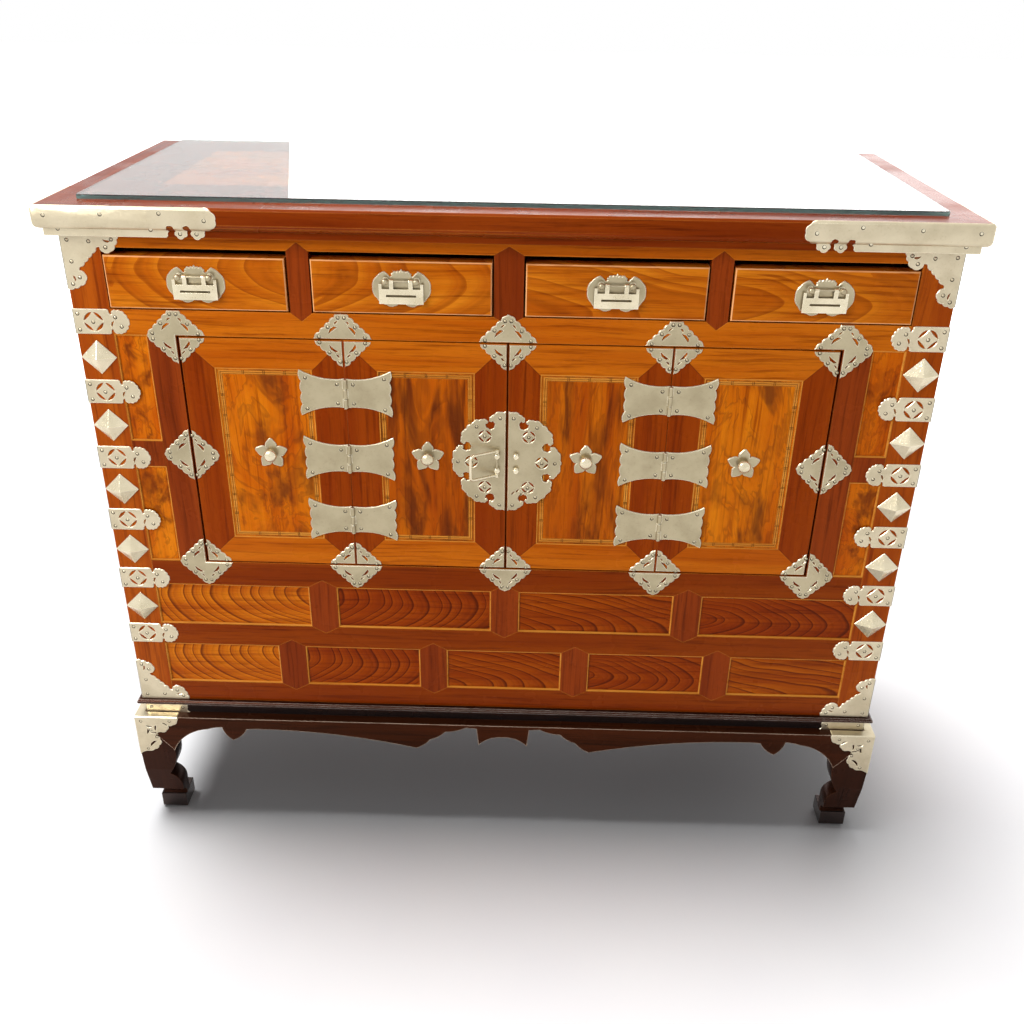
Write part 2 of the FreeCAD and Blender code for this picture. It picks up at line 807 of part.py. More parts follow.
def make_flank_frame():
    """Make the stiles beside the leaves, and the short rails between the narrow panels."""
    pieces = []
    for side in SIDES:
        stile = (-door_half - s.flank_stile_width, -door_half)
        rail = (-inner_half, -inner_half + s.flank_panel_width)
        if side == RIGHT_SIDE:
            stile = (door_half, door_half + s.flank_stile_width)
            rail = (inner_half - s.flank_panel_width, inner_half)
        for name, x, z in (
            ("flank_stile", stile, (door_base, door_top)),
            ("flank_rail", rail, (flank_rail_low, flank_rail_high)),
        ):
            blank = block(f"{name}_{side + 1}_blank", x, (case_front, frame_back), z)
            pieces.append(less(f"{name}_{side + 1}", blank, flank_panels))
    return pieces


def make_side_frames():
    """Make the rails at both ends of the case."""
    rails = []
    for side in SIDES:
        inner = case_half - s.side_rail_depth
        x = (-case_half, -inner) if side == LEFT_SIDE else (inner, case_half)
        for name, low, high in (
            ("base", case_base, base_rail_top),
            ("door", upper_row_top, door_base),
            ("drawer", door_top, drawer_base),
            ("top", drawer_top, case_top),
        ):
            blank = block(
                f"side_rail_{name}_{side + 1}_blank",
                x,
                (case_front + s.post_depth, case_back - s.post_depth),
                (low, high),
            )
            rails.append(less(f"side_rail_{name}_{side + 1}", blank, side_panels))
    return rails


def make_back_frame():
    """Make the three rails across the back."""
    rails = []
    for name, low, high in (
        ("base", case_base, base_rail_top),
        ("drawer", door_top, drawer_base),
        ("top", drawer_top, case_top),
    ):
        blank = block(
            f"back_rail_{name}_blank",
            (-inner_half, inner_half),
            (case_back - s.back_rail_depth, case_back),
            (low, high),
        )
        rails.append(less(f"back_rail_{name}", blank, back_panels))
    return rails


def make_inner_board(name, top):
    """Make a board that lies between the frames, notched round the corner posts."""
    board = block(
        f"{name}_blank",
        (s.side_rail_depth - case_half, case_half - s.side_rail_depth),
        (frame_back, case_back - s.back_rail_depth),
        (top - s.board_thickness, top),
    )
    corners = []
    for side in SIDES:
        x = (-case_half, -inner_half) if side == LEFT_SIDE else (inner_half, case_half)
        for place, span in (
            ("front", (case_front, case_front + s.post_depth)),
            ("back", (case_back - s.post_depth, case_back)),
        ):
            corners.append(
                block(f"{name}_{place}_{side + 1}", x, span, (top - s.board_thickness, top))
            )
    return less(name, board, corners)


def make_drawer_guides():
    """Make the strips on the dust board that keep the drawers straight."""
    end_width = s.post_width - s.side_rail_depth
    strips = [
        (Size(0, "0") - s.centre_divider_width / 2, s.centre_divider_width),
        (-side_divider_x - s.drawer_divider_width / 2, s.drawer_divider_width),
        (side_divider_x - s.drawer_divider_width / 2, s.drawer_divider_width),
    ]
    guides = [
        block(
            f"guide_{number}",
            (low, low + width),
            (frame_back, case_back - s.back_rail_depth),
            (drawer_base, drawer_base + s.guide_height),
        )
        for number, (low, width) in enumerate(strips, start=1)
    ]
    for side in SIDES:
        low = -inner_half - end_width if side == LEFT_SIDE else inner_half
        guides.append(
            block(
                f"end_guide_{side + 1}",
                (low, low + end_width),
                (case_front + s.post_depth, case_back - s.post_depth),
                (drawer_base, drawer_base + s.guide_height),
            )
        )
    return guides


# Top: four mitred, moulded members round a board, with a loose sheet of glass

def nose_outline(outer, inner, skin):
    """Give the moulding's section, thickened by a skin, from its outer face inwards."""
    thick = float(skin)
    radius = float(s.nose_radius) + thick
    face = float(outer) + thick
    fascia = float(outer) - float(s.nose_radius) + thick
    top = float(wood_top)
    ease = float(s.top_edge_slope) + thick * math.tan(math.pi / FACETS)
    round_top = float(case_top) + float(s.fascia_height) + float(s.nose_radius)
    round_drop = math.sqrt(radius ** 2 - thick ** 2)
    turn = math.degrees(math.atan2(round_drop, thick))
    outline = Outline(inner, top)
    outline.line(face - ease, top + thick)
    outline.line(face, top + thick - ease)
    outline.line(face, round_top)
    outline.arc(fascia, round_top - round_drop, bulge_share_of(turn))
    outline.line(fascia, case_top)
    outline.line(inner, case_top)
    return outline


def moulding_solid(skin, inner):
    """Give the whole moulded ring's four prisms, one for each side of the top."""
    prisms = []
    for place, outer, length_low, length_high in (
        ("front", -top_front, -top_half, top_half),
        ("back", top_back, -top_half, top_half),
        ("left", top_half, top_front, top_back),
        ("right", top_half, top_front, top_back),
    ):
        outline = nose_outline(outer, outer - inner, skin)
        low = float(length_low) - float(skin)
        way = float(length_high) + float(skin) - low
        layouts = {
            "front": (lambda u, v: FreeCAD.Vector(low, -u, v), RIGHT),
            "back": (lambda u, v: FreeCAD.Vector(low, u, v), RIGHT),
            "left": (lambda u, v: FreeCAD.Vector(-u, low, v), BACKWARD),
            "right": (lambda u, v: FreeCAD.Vector(u, low, v), BACKWARD),
        }
        layout, direction = layouts[place]
        prisms.append((place, outline.face(layout).extrude(direction * way)))
    return prisms


def mitre_trapezoid(place):
    """Give the space of one member between its two mitres, seen from above."""
    x = float(top_half)
    front_y = float(top_front)
    back_y = float(top_back)
    run = float(s.top_frame_width)
    corners = {
        "front": ((-x, front_y), (x, front_y), (x - run, front_y + run), (run - x, front_y + run)),
        "back": ((-x, back_y), (x, back_y), (x - run, back_y - run), (run - x, back_y - run)),
        "left": ((-x, front_y), (-x, back_y), (run - x, back_y - run), (run - x, front_y + run)),
        "right": ((x, front_y), (x, back_y), (x - run, back_y - run), (x - run, front_y + run)),
    }[place]
    points = [FreeCAD.Vector(u, v, float(case_top)) for u, v in corners]
    wire = Part.makePolygon(points + points[:1])
    return Part.Face(wire).extrude(UP * float(s.top_thickness))


def make_top_frame():
    """Make the four members of the top's frame."""
    members = []
    for place, prism in moulding_solid(0, s.top_frame_width):
        shape = prism.common(mitre_trapezoid(place)).Solids[0]
        members.append(held(f"top_member_{place}", shape))
    return members


def make_top_panel():
    """Make the board inside the top's frame."""
    inner_x = top_half - s.top_frame_width
    return block(
        "top_board",
        (-inner_x, inner_x),
        (top_front + s.top_frame_width, top_back - s.top_frame_width),
        (wood_top - s.top_panel_thickness, wood_top),
    )


def make_glass():
    """Make the loose sheet of glass, with ground edges."""
    body = doc.addObject("PartDesign::Body", "glass")
    half = top_half - s.glass_inset
    corners = rectangle(-half, top_front + s.glass_inset, half, top_back - s.glass_back_inset)
    pad = add_pad(body, "XY_Plane", "glass_sheet", [corners], wood_top, s.glass_thickness)
    dress_edges(
        body, "Chamfer", "glass_edge", pad, s.glass_bevel,
        lambda edge: edge.BoundBox.ZMin > float(wood_top) + float(s.glass_thickness) / 2,
    )
    return body


# Stand: board, black waist band, aprons, legs and foot blocks

def make_cap():
    """Make the board that the case rests on."""
    body = doc.addObject("PartDesign::Body", "cap")
    half = case_half + s.cap_overhang
    corners = rectangle(-half, case_front - s.cap_overhang, half, case_back + s.cap_overhang)
    pad = add_pad(body, "XY_Plane", "cap_board", [corners], cap_base, s.cap_thickness)
    dress_edges(
        body, "Chamfer", "cap_edges", pad, s.cap_slope,
        lambda edge: edge.BoundBox.ZLength < float(s.cap_slope),
    )
    return body


def make_waist():
    """Make the four boards of the black band."""
    outer_x = case_half - s.waist_setback
    inner_x = outer_x - s.waist_thickness
    front = case_front + s.waist_setback
    back = case_back - s.waist_setback
    z = (apron_top, cap_base)
    return [
        block("waist_front", (-outer_x, outer_x), (front, front + s.waist_thickness), z),
        block("waist_back", (-outer_x, outer_x), (back - s.waist_thickness, back), z),
        block("waist_left", (-outer_x, -inner_x),
              (front + s.waist_thickness, back - s.waist_thickness), z),
        block("waist_right", (inner_x, outer_x),
              (front + s.waist_thickness, back - s.waist_thickness), z),
    ]


# Lower edge of half a long apron, from the leg to the middle: in from the mitre as a
# share of the way to the middle, down from the top as a share of the mitre's drop, and
# the bulge of the way there.
APRON_EDGE_SHARES = (
    (0.110, -0.330, 0.14),
    (0.154, -0.260, 0.04),
    (0.184, -0.640, -0.10),
    (0.229, -0.300, -0.10),
    (0.255, -0.290, 0.00),
    (0.739, -0.730, 0.03),
    (0.782, -0.460, -0.08),
    (0.827, -0.220, -0.08),
    (0.890, -0.080, -0.06),
    (0.921, -0.100, 0.00),
    (0.927, -0.590, 0.00),
    (1.000, -0.340, 0.12),
)
# The back has a straight lower edge between its legs.
BACK_APRON_EDGE_SHARES = (
    (0.110, -0.330, 0.14),
    (1.000, -0.330, 0.00),
)
# The short ends have the same scroll at the leg and one plain fall to the middle.
END_APRON_EDGE_SHARES = (
    (0.250, -0.330, 0.14),
    (0.345, -0.260, 0.04),
    (0.420, -0.640, -0.10),
    (0.520, -0.300, -0.10),
    (0.580, -0.290, 0.00),
    (1.000, -0.560, 0.04),
)


def apron_outline(half_length, edge_shares):
    """Give a whole apron's outline, measured from its middle."""
    half = float(half_length)
    top = float(apron_top)
    run = half - float(s.mitre_width)
    steps = [(-run, top - float(s.mitre_drop), 0)]
    steps.extend(placed(edge_shares, -run, top, run, s.mitre_drop))
    return Outline(-half, top).follow(there_and_back((-half, top), steps, mirror_across(0)))


def corner_wedge(half_x, half_low_y, half_high_y, along_front):
    """Give the plan space of a front or side piece between the stand's corner mitres."""
    reach = float(s.case_depth) / 3
    x = float(half_x)
    low = float(half_low_y)
    high = float(half_high_y)
    if along_front:
        corners = ((-x, low), (x, low), (x - reach, low + reach), (reach - x, low + reach))
    else:
        corners = ((-x, low), (-x, high), (reach - x, high - reach), (reach - x, low + reach))
    points = [FreeCAD.Vector(u, v, 0) for u, v in corners]
    return Part.Face(Part.makePolygon(points + points[:1])).extrude(UP * float(s.stand_height))


def make_aprons():
    """Make the four aprons, mitred at the corners of the stand."""
    thickness = float(s.apron_thickness)
    front_wedge = corner_wedge(stand_half, stand_front, stand_back, True)
    side_wedge = corner_wedge(stand_half, stand_front, stand_back, False)
    long_solids = []
    for edge_shares in (APRON_EDGE_SHARES, BACK_APRON_EDGE_SHARES):
        face = apron_outline(stand_half, edge_shares).face(before_plane(stand_front))
        long_solids.append(face.extrude(BACKWARD * thickness).common(front_wedge).Solids[0])
    middle_y = (float(stand_front) + float(stand_back)) / 2
    half_end = (float(stand_back) - float(stand_front)) / 2
    end_face = apron_outline(half_end, END_APRON_EDGE_SHARES).face(
        lambda u, v: FreeCAD.Vector(-float(stand_half), middle_y + u, v)
    )
    end_solid = end_face.extrude(RIGHT * thickness).common(side_wedge).Solids[0]
    middle = FreeCAD.Vector(0, middle_y, 0)
    return [
        held("apron_front", long_solids[0]),
        held("apron_back", long_solids[1].mirror(middle, BACKWARD)),
        held("apron_left", end_solid),
        held("apron_right", mirrored(end_solid)),
    ]


# A leg's outer edge, from the foot up: in from the corner as a share of the sweep, up
# from the foot block as a share of the height to the mitre, and the bulge.
LEG_OUTER_SHARES = (
    (0.32, 0.180, -0.20),
    (0.08, 0.600, 0.00),
    (0.00, 1.000, 0.00),
)


def leg_outline(inner_path):
    """Give a leg's face: u runs in from the stand's corner, v up, from the inner edge down."""
    foot = float(s.foot_block_height)
    rise = float(apron_top) - float(s.mitre_drop) - foot
    outline = Outline(0, apron_top)
    outline.follow(inner_path)
    outline.line(s.leg_sweep, foot)
    outline.follow(placed(LEG_OUTER_SHARES, 0, foot, s.leg_sweep, rise))
    return outline


def leg_arm_outline():
    """Give one face of a leg, hollowed like a C between the apron and the toe."""
    return leg_outline([
        (float(s.mitre_width), float(apron_top) - float(s.mitre_drop), 0),
        (float(s.ankle_width), float(s.ankle_height), 0.10),
        (float(s.leg_foot_width), float(s.toe_height), 0.16),
        (float(s.leg_foot_width), float(s.foot_block_height), 0),
    ])


def leg_block_outline():
    """Give the outer sweep of a leg, filled well inwards."""
    far = float(s.case_depth) / 3
    return leg_outline([
        (far, float(apron_top), 0),
        (far, float(s.foot_block_height), 0),
    ])


def make_legs():
    """Make the four legs, each of two mitred arms in one."""
    corner_x = -float(stand_half)
    corner_y = float(stand_front)
    far = float(s.case_depth) / 3
    thickness = float(s.leg_thickness)
    along_x = lambda u, v: FreeCAD.Vector(corner_x + u, corner_y, v)
    along_y = lambda u, v: FreeCAD.Vector(corner_x, corner_y + u, v)
    swept = leg_block_outline().face(along_x).extrude(BACKWARD * far)
    swept = swept.common(leg_block_outline().face(along_y).extrude(RIGHT * far))
    front_arm = leg_arm_outline().face(along_x).extrude(BACKWARD * thickness)
    side_arm = leg_arm_outline().face(along_y).extrude(RIGHT * thickness)
    front_arm = front_arm.common(corner_wedge(stand_half, stand_front, stand_back, True))
    side_arm = side_arm.common(corner_wedge(stand_half, stand_front, stand_back, False))
    leg = front_arm.fuse(side_arm).common(swept).removeSplitter().Solids[0]
    middle = FreeCAD.Vector(0, (float(stand_front) + float(stand_back)) / 2, 0)
    back_leg = leg.mirror(middle, BACKWARD)
    return [
        held("leg_front_left", leg),
        held("leg_front_right", mirrored(leg)),
        held("leg_back_left", back_leg),
        held("leg_back_right", mirrored(back_leg)),
    ]


def make_foot_blocks():
    """Make the black blocks under the legs."""
    outer_x = stand_half - s.foot_block_setback
    near = stand_front + s.foot_block_setback
    far = stand_back - s.foot_block_setback - s.foot_block_size
    blocks = []
    for name, low_x, low_y in (
        ("front_left", -outer_x, near),
        ("front_right", outer_x - s.foot_block_size, near),
        ("back_left", -outer_x, far),
        ("back_right", outer_x - s.foot_block_size, far),
    ):
        body = doc.addObject("PartDesign::Body", f"foot_{name}")
        corners = rectangle(
            low_x, low_y, low_x + s.foot_block_size, low_y + s.foot_block_size
        )
        pad = add_pad(
            body, "XY_Plane", f"foot_{name}_pad", [corners], Size(0, "0"), s.foot_block_height
        )
        dress_edges(
            body, "Chamfer", f"foot_{name}_edge", pad, s.foot_chamfer,
            lambda edge: edge.BoundBox.ZMax < float(s.foot_chamfer),
        )
        blocks.append(body)
    return blocks


# Drawers

def drawer_span(number):
    """Give the sides of a drawer's opening, counted from the left."""
    half_centre = s.centre_divider_width / 2
    outer = half_centre + drawer_opening_width + s.drawer_divider_width
    lows = (
        -outer - drawer_opening_width, -half_centre - drawer_opening_width, half_centre, outer,
    )
    low = lows[number - 1]
    return low, low + drawer_opening_width


def make_drawer_front(number):
    """Make a drawer's front with rounded outer edges."""
    low, high = drawer_span(number)
    body = doc.addObject("PartDesign::Body", f"drawer_front_{number}")
    corners = rectangle(
        low + s.drawer_side_gap, drawer_base + s.drawer_bottom_gap,
        high - s.drawer_side_gap, drawer_top - s.drawer_top_gap,
    )
    face_y = case_front - s.drawer_proud
    pad = add_pad(
        body, "XZ_Plane", f"drawer_front_{number}_board", [corners],
        -(face_y + s.drawer_front_thickness), s.drawer_front_thickness,
    )
    dress_edges(
        body, "Fillet", f"drawer_front_{number}_edges", pad, s.drawer_edge_round,
        lambda edge: edge.BoundBox.YMax < float(case_front),
    )
    return body


def make_drawer_box(number):
    """Make the sides, back and bottom of a drawer."""
    low, high = drawer_span(number)
    low = low + s.drawer_side_gap
    high = high - s.drawer_side_gap
    front = case_front - s.drawer_proud + s.drawer_front_thickness
    back = case_back - s.back_rail_depth - s.drawer_back_gap
    base = drawer_base + s.running_gap
    top = base + s.drawer_box_height
    name = f"drawer_{number}"
    inner_low = low + s.drawer_wall
    inner_high = high - s.drawer_wall
    return [
        block(f"{name}_left", (low, inner_low), (front, back), (base, top)),
        block(f"{name}_right", (inner_high, high), (front, back), (base, top)),
        block(f"{name}_back", (inner_low, inner_high), (back - s.drawer_wall, back), (base, top)),
        block(
            f"{name}_floor", (inner_low, inner_high), (front, back - s.drawer_wall),
            (base + s.drawer_floor, base + s.drawer_floor * 2),
        ),
    ]


# Half of a pull's plate, as shares of its half width and half height from the middle:
# the crown, the notch beside it, the pointed shoulder, the round end and the lower lobe.
PULL_PLATE_SHARES = (
    (0.10, 0.84, 0.00),
    (0.24, 0.82, 0.00),
    (0.38, 0.62, 0.00),
    (0.50, 0.84, 0.00),
    (0.78, 0.66, 0.00),
    (1.00, -0.08, 0.00),
    (0.90, -0.54, 0.00),
    (0.72, -0.84, 0.00),
    (0.36, -0.96, 0.00),
    (0.12, -0.84, 0.00),
    (0.00, -0.84, 0.00),
)


def make_pull_plate(number):
    """Make the shaped plate of a pull, with its two headed studs and their rod."""
    low, high = drawer_span(number)
    x = float(low + high) / 2
    z = float(drawer_base + s.drawer_bottom_gap + drawer_top - s.drawer_top_gap) / 2
    face_y = float(case_front) - float(s.drawer_proud)
    half_width = float(s.pull_plate_width) / 2
    half_height = float(s.pull_plate_height) / 2
    start = (x, z + half_height)
    steps = placed(PULL_PLATE_SHARES, x, z, half_width, half_height)
    outline = Outline(*start).follow(there_and_back(start, steps, mirror_across(x)))
    plate = outline.face(before_plane(face_y)).extrude(forward_by(s.plate_thickness))
    plate_y = face_y - float(s.plate_thickness)
    stud_z = z + float(s.pull_stud_rise)
    seat_y = plate_y - float(s.pull_stud_reach)
    half_stem = float(s.pull_stem_width) / 2
    spacing = float(s.pull_stud_spacing)
    pieces = []
    for side in SIDES:
        stud_x = x + side * spacing / 2
        stem = solid_box(
            (stud_x - half_stem, stud_x + half_stem),
            (seat_y, plate_y),
            (stud_z - half_stem, stud_z + half_stem),
        )
        seat = FreeCAD.Vector(stud_x, seat_y, stud_z)
        pieces.append(stem.fuse(faceted_head(seat, s.pull_head_radius, s.pull_head_height)))
    rod_start = FreeCAD.Vector(x - spacing / 2, plate_y - float(s.bail_pin_reach), stud_z)
    rod = Part.makeCylinder(float(s.bail_pin_radius), spacing, rod_start, RIGHT)
    return held(f"pull_plate_{number}_piece", plate.fuse(pieces + [rod]).removeSplitter())


# A stud's head from its seat: radius as a share of the head's radius, and height as a
# share of its height.
HEAD_RING_SHARES = ((1, 0), (1, 0.4), (0.45, 1))


def faceted_head(seat, head_radius, head_height):
    """Give a stud's head with flat facets, pointing forward from its seat."""
    return faceted_turning(seat, FORWARD, head_radius, head_height, HEAD_RING_SHARES)


def make_bail(number):
    """Make the hanging plate of a pull, with two curls round the rod between the studs."""
    low, high = drawer_span(number)
    x = (low + high) / 2
    z = (drawer_base + s.drawer_bottom_gap + drawer_top - s.drawer_top_gap) / 2 + s.pull_stud_rise
    pin_y = case_front - s.drawer_proud - s.plate_thickness - s.bail_pin_reach
    name = f"bail_{number}"
    body = doc.addObject("PartDesign::Body", name)
    half = s.bail_width / 2
    foot = z - s.bail_height
    notch_half = s.bail_notch_width / 2
    window_low = s.pull_stud_spacing / 2 - s.bail_window_width / 2
    window_high = window_low + s.bail_window_width
    ear_top = z - s.bail_eye_radius - s.bail_ear_gap
    window_base = z - s.bail_window_height
    notch_base = z - s.bail_notch_depth
    right_half = [
        (half, foot), (half, ear_top), (window_high, ear_top), (window_high, window_base),
        (window_low, window_base), (window_low, z), (notch_half, z), (notch_half, notch_base),
    ]
    outer = [(x + u, v) for u, v in right_half] + [(x - u, v) for u, v in right_half[::-1]]
    slot_half = s.bail_slot_width / 2
    slot_low = foot + s.bail_slot_rise
    slot = rectangle(x - slot_half, slot_low, x + slot_half, slot_low + s.bail_slot_height)
    add_pad(
        body, "XZ_Plane", f"{name}_plate", [outer, slot],
        -(pin_y + s.bail_thickness / 2), s.bail_thickness,
    )
    doc.recompute()
    curl_length = window_low - notch_half
    for side_name, low_x in (("left", x - window_low), ("right", x + notch_half)):
        curl = body.newObject("PartDesign::AdditivePrism", f"{name}_curl_{side_name}")
        curl.Polygon = FACETS
        bind(curl, "Circumradius", s.bail_eye_radius)
        bind(curl, "Height", curl_length)
        place_along_x(curl, low_x, pin_y, z)
        doc.recompute()
    bore = body.newObject("PartDesign::SubtractivePrism", f"{name}_bore")
    bore.Polygon = FACETS
    bind(bore, "Circumradius", (s.bail_pin_radius + s.turning_clearance) / FACET_INNER_SHARE)
    bind(bore, "Height", s.bail_width)
    place_along_x(bore, x - half, pin_y, z)
    doc.recompute()
    return body


def place_along_x(item, x, y, z):
    """Lay a round feature along X and bind where it starts."""
    item.Placement.Rotation = FreeCAD.Rotation(BACKWARD, QUARTER_TURN)
    for axis_name, place in (("x", x), ("y", y), ("z", z)):
        bind(item, f"Placement.Base.{axis_name}", place)


# Folding leaves: frames, panels and fittings

def leaf_span(side, inner):
    """Give a leaf's left and right edge."""
    near = s.leaf_meeting_gap / 2 if inner else s.leaf_meeting_gap / 2 + leaf_width + s.leaf_hinge_gap
    far = near + leaf_width
    return (near, far) if side == RIGHT_SIDE else (-far, -near)


def make_leaf_frame(name, side, inner):
    """Make the four mitred members of a leaf."""
    low, high = (float(edge) for edge in leaf_span(side, inner))
    base = float(leaf_base)
    top = float(leaf_top)
    stile = float(s.leaf_frame_width)
    rail = float(s.leaf_frame_height)
    front = float(case_front)
    depth = float(s.leaf_thickness)
    outer_corners = ((low, base), (high, base), (high, top), (low, top))
    inner_corners = (
        (low + stile, base + rail), (high - stile, base + rail),
        (high - stile, top - rail), (low + stile, top - rail),
    )
    members = []
    for index, part_name in enumerate(("foot", "right", "head", "left")):
        following = (index + 1) % len(outer_corners)
        corners = (
            outer_corners[index], outer_corners[following],
            inner_corners[following], inner_corners[index],
        )
        points = [FreeCAD.Vector(u, front, v) for u, v in corners]
        solid = Part.Face(Part.makePolygon(points + points[:1])).extrude(BACKWARD * depth)
        if inner:
            solid = solid.cut(meeting_wedge(side, front, depth, base, top))
        for level in (leaf_base, leaf_top):
            if not inner:
                solid = solid.cut(pivot_hole(side, level))
        members.append(held(f"{name}_{part_name}", solid.Solids[0]))
    return members


def meeting_wedge(side, front, depth, base, top):
    """Give the sliver that bevels the back of a meeting edge."""
    edge = float(s.leaf_meeting_gap) / 2
    bevel = float(s.meeting_bevel)
    points = [
        FreeCAD.Vector(side * edge, front, base),
        FreeCAD.Vector(side * (edge + bevel), front + depth, base),
        FreeCAD.Vector(0, front + depth, base),
        FreeCAD.Vector(0, front, base),
    ]
    return Part.Face(Part.makePolygon(points + points[:1])).extrude(UP * (top - base))


def pivot_pin(side, level):
    """Give a pivot pin that reaches from a leaf's end into the rail."""
    reach = float(s.pivot_length)
    root = FreeCAD.Vector(
        side * float(pivot_x), float(case_front + s.pivot_depth), float(level) - reach
    )
    return Part.makeCylinder(float(s.pivot_radius), reach * 2, root)


def pivot_hole(side, level):
    """Give the hole in a leaf's end that a pivot pin is driven into."""
    reach = float(s.pivot_length)
    root = FreeCAD.Vector(
        side * float(pivot_x), float(case_front + s.pivot_depth), float(level) - reach
    )
    radius = float(s.pivot_radius + s.pivot_clearance) / FACET_INNER_SHARE
    return faceted_bar(root, UP, radius, reach * 2)


def make_leaf_panel(name, side, inner):
    """Make a leaf's panel, with a sunk border line near its edge."""
    low, high = leaf_span(side, inner)
    low = low + s.leaf_frame_width
    high = high - s.leaf_frame_width
    base = leaf_base + s.leaf_frame_height
    top = leaf_top - s.leaf_frame_height
    face_y = case_front + s.leaf_panel_recess
    body = doc.addObject("PartDesign::Body", f"{name}_board")
    add_pad(
        body, "XZ_Plane", f"{name}_pad", [rectangle(low, base, high, top)],
        -(face_y + s.leaf_panel_thickness), s.leaf_panel_thickness,
    )
    doc.recompute()
    outer = s.border_inset
    inner_inset = s.border_inset + s.border_width
    rings = [
        rectangle(low + inset, base + inset, high - inset, top - inset)
        for inset in (outer, inner_inset)
    ]
    add_pocket(body, "XZ_Plane", f"{name}_border", rings, -face_y, s.border_groove)
    return body


def trim_region(side, inner):
    """Give the space before a leaf that its plates may cover."""
    low, high = leaf_span(side, inner)
    margin = s.plate_setback
    return solid_box(
        (low + margin, high - margin),
        (case_front - s.lock_radius, case_front + s.lock_radius),
        (leaf_base + margin, leaf_top - margin),
    )


def drawer_region():
    """Give the space that the drawers pull out through, which the frame's plates keep out of."""
    return solid_box(
        (-inner_half, inner_half),
        (case_front - s.lock_radius, case_front),
        (drawer_base, drawer_top - s.drawer_top_gap + s.plate_setback),
    )


def door_region():
    """Give the opening of the leaves with a margin, which the frame's plates keep out of."""
    margin = s.plate_setback
    return solid_box(
        (-door_half - margin, door_half + margin),
        (case_front - s.lock_radius, case_front + s.lock_radius),
        (door_base - margin, door_top + margin),
    )


EDGE_NOTCHES = 2


def diamond_plate(x, z):
    """Give a whole diamond plate with cut points and notched edges."""
    reach = float(s.diamond_reach)
    tip = float(s.diamond_tip)
    shoulder = reach - tip
    outline = Outline(x - shoulder, z - tip)
    for start_u, start_v, end_u, end_v in (
        (-shoulder, tip, -tip, shoulder),
        (tip, shoulder, shoulder, tip),
        (shoulder, -tip, tip, -shoulder),
        (-tip, -shoulder, -shoulder, -tip),
    ):
        outline.line(x + start_u, z + start_v)
        outline.notched(x + end_u, z + end_v, EDGE_NOTCHES, float(s.edge_notch), RIGHT_SIDE_CUT)
    return outline.face(before_plane(case_front)).extrude(forward_by(s.plate_thickness))


def diamond_places():
    """Give the middle of every diamond plate, where leaves, stiles and rails meet."""
    across = (-door_half, -hinge_x, Size(0, "0"), hinge_x, door_half)
    places = []
    for z in (door_base, door_top):
        places.extend((float(x), float(z)) for x in across)
    places.extend((float(x), float(door_middle)) for x in (-door_half, door_half))
    return places


LOCK_PETALS = 8
LOCK_WAIST_SHARE = 0.88
LOCK_BULGE_SHARE = 0.19


def lock_plate():
    """Give the whole flower plate of the lock, notched between its petals."""
    radius = float(s.lock_radius) * LOCK_WAIST_SHARE
    depth = float(s.lock_notch_depth)
    centre_z = float(door_middle)
    turn = math.radians(FULL_TURN / LOCK_PETALS)
    half_notch = math.atan2(depth, radius) / 2

    def around(distance, angle):
        return distance * math.cos(angle), centre_z + distance * math.sin(angle)

    outline = Outline(*around(radius, half_notch - turn / 2))
    for index in range(LOCK_PETALS):
        end = turn * (index + HALF)
        outline.arc(*around(radius, end - half_notch), -LOCK_BULGE_SHARE)
        outline.line(*around(radius - depth, end))
        outline.line(*around(radius, end + half_notch))
    return outline.face(before_plane(case_front)).extrude(forward_by(s.plate_thickness))


def lock_post(side, z):
    """Give one headed post of the lock."""
    x = side * float(s.lock_post_inset)
    root_y = float(case_front) - float(s.plate_thickness)
    root = FreeCAD.Vector(x, root_y, z)
    reach = float(s.lock_post_reach)
    stem = faceted_bar(root, FORWARD, float(s.lock_post_radius), reach)
    head = faceted_head(root + FORWARD * reach, s.lock_head_radius, s.lock_head_height)
    return stem.fuse(head)


HINGE_WAIST_BULGE_SHARE = 0.08
KNUCKLE_COUNT = 3
MIDDLE_KNUCKLE = 1


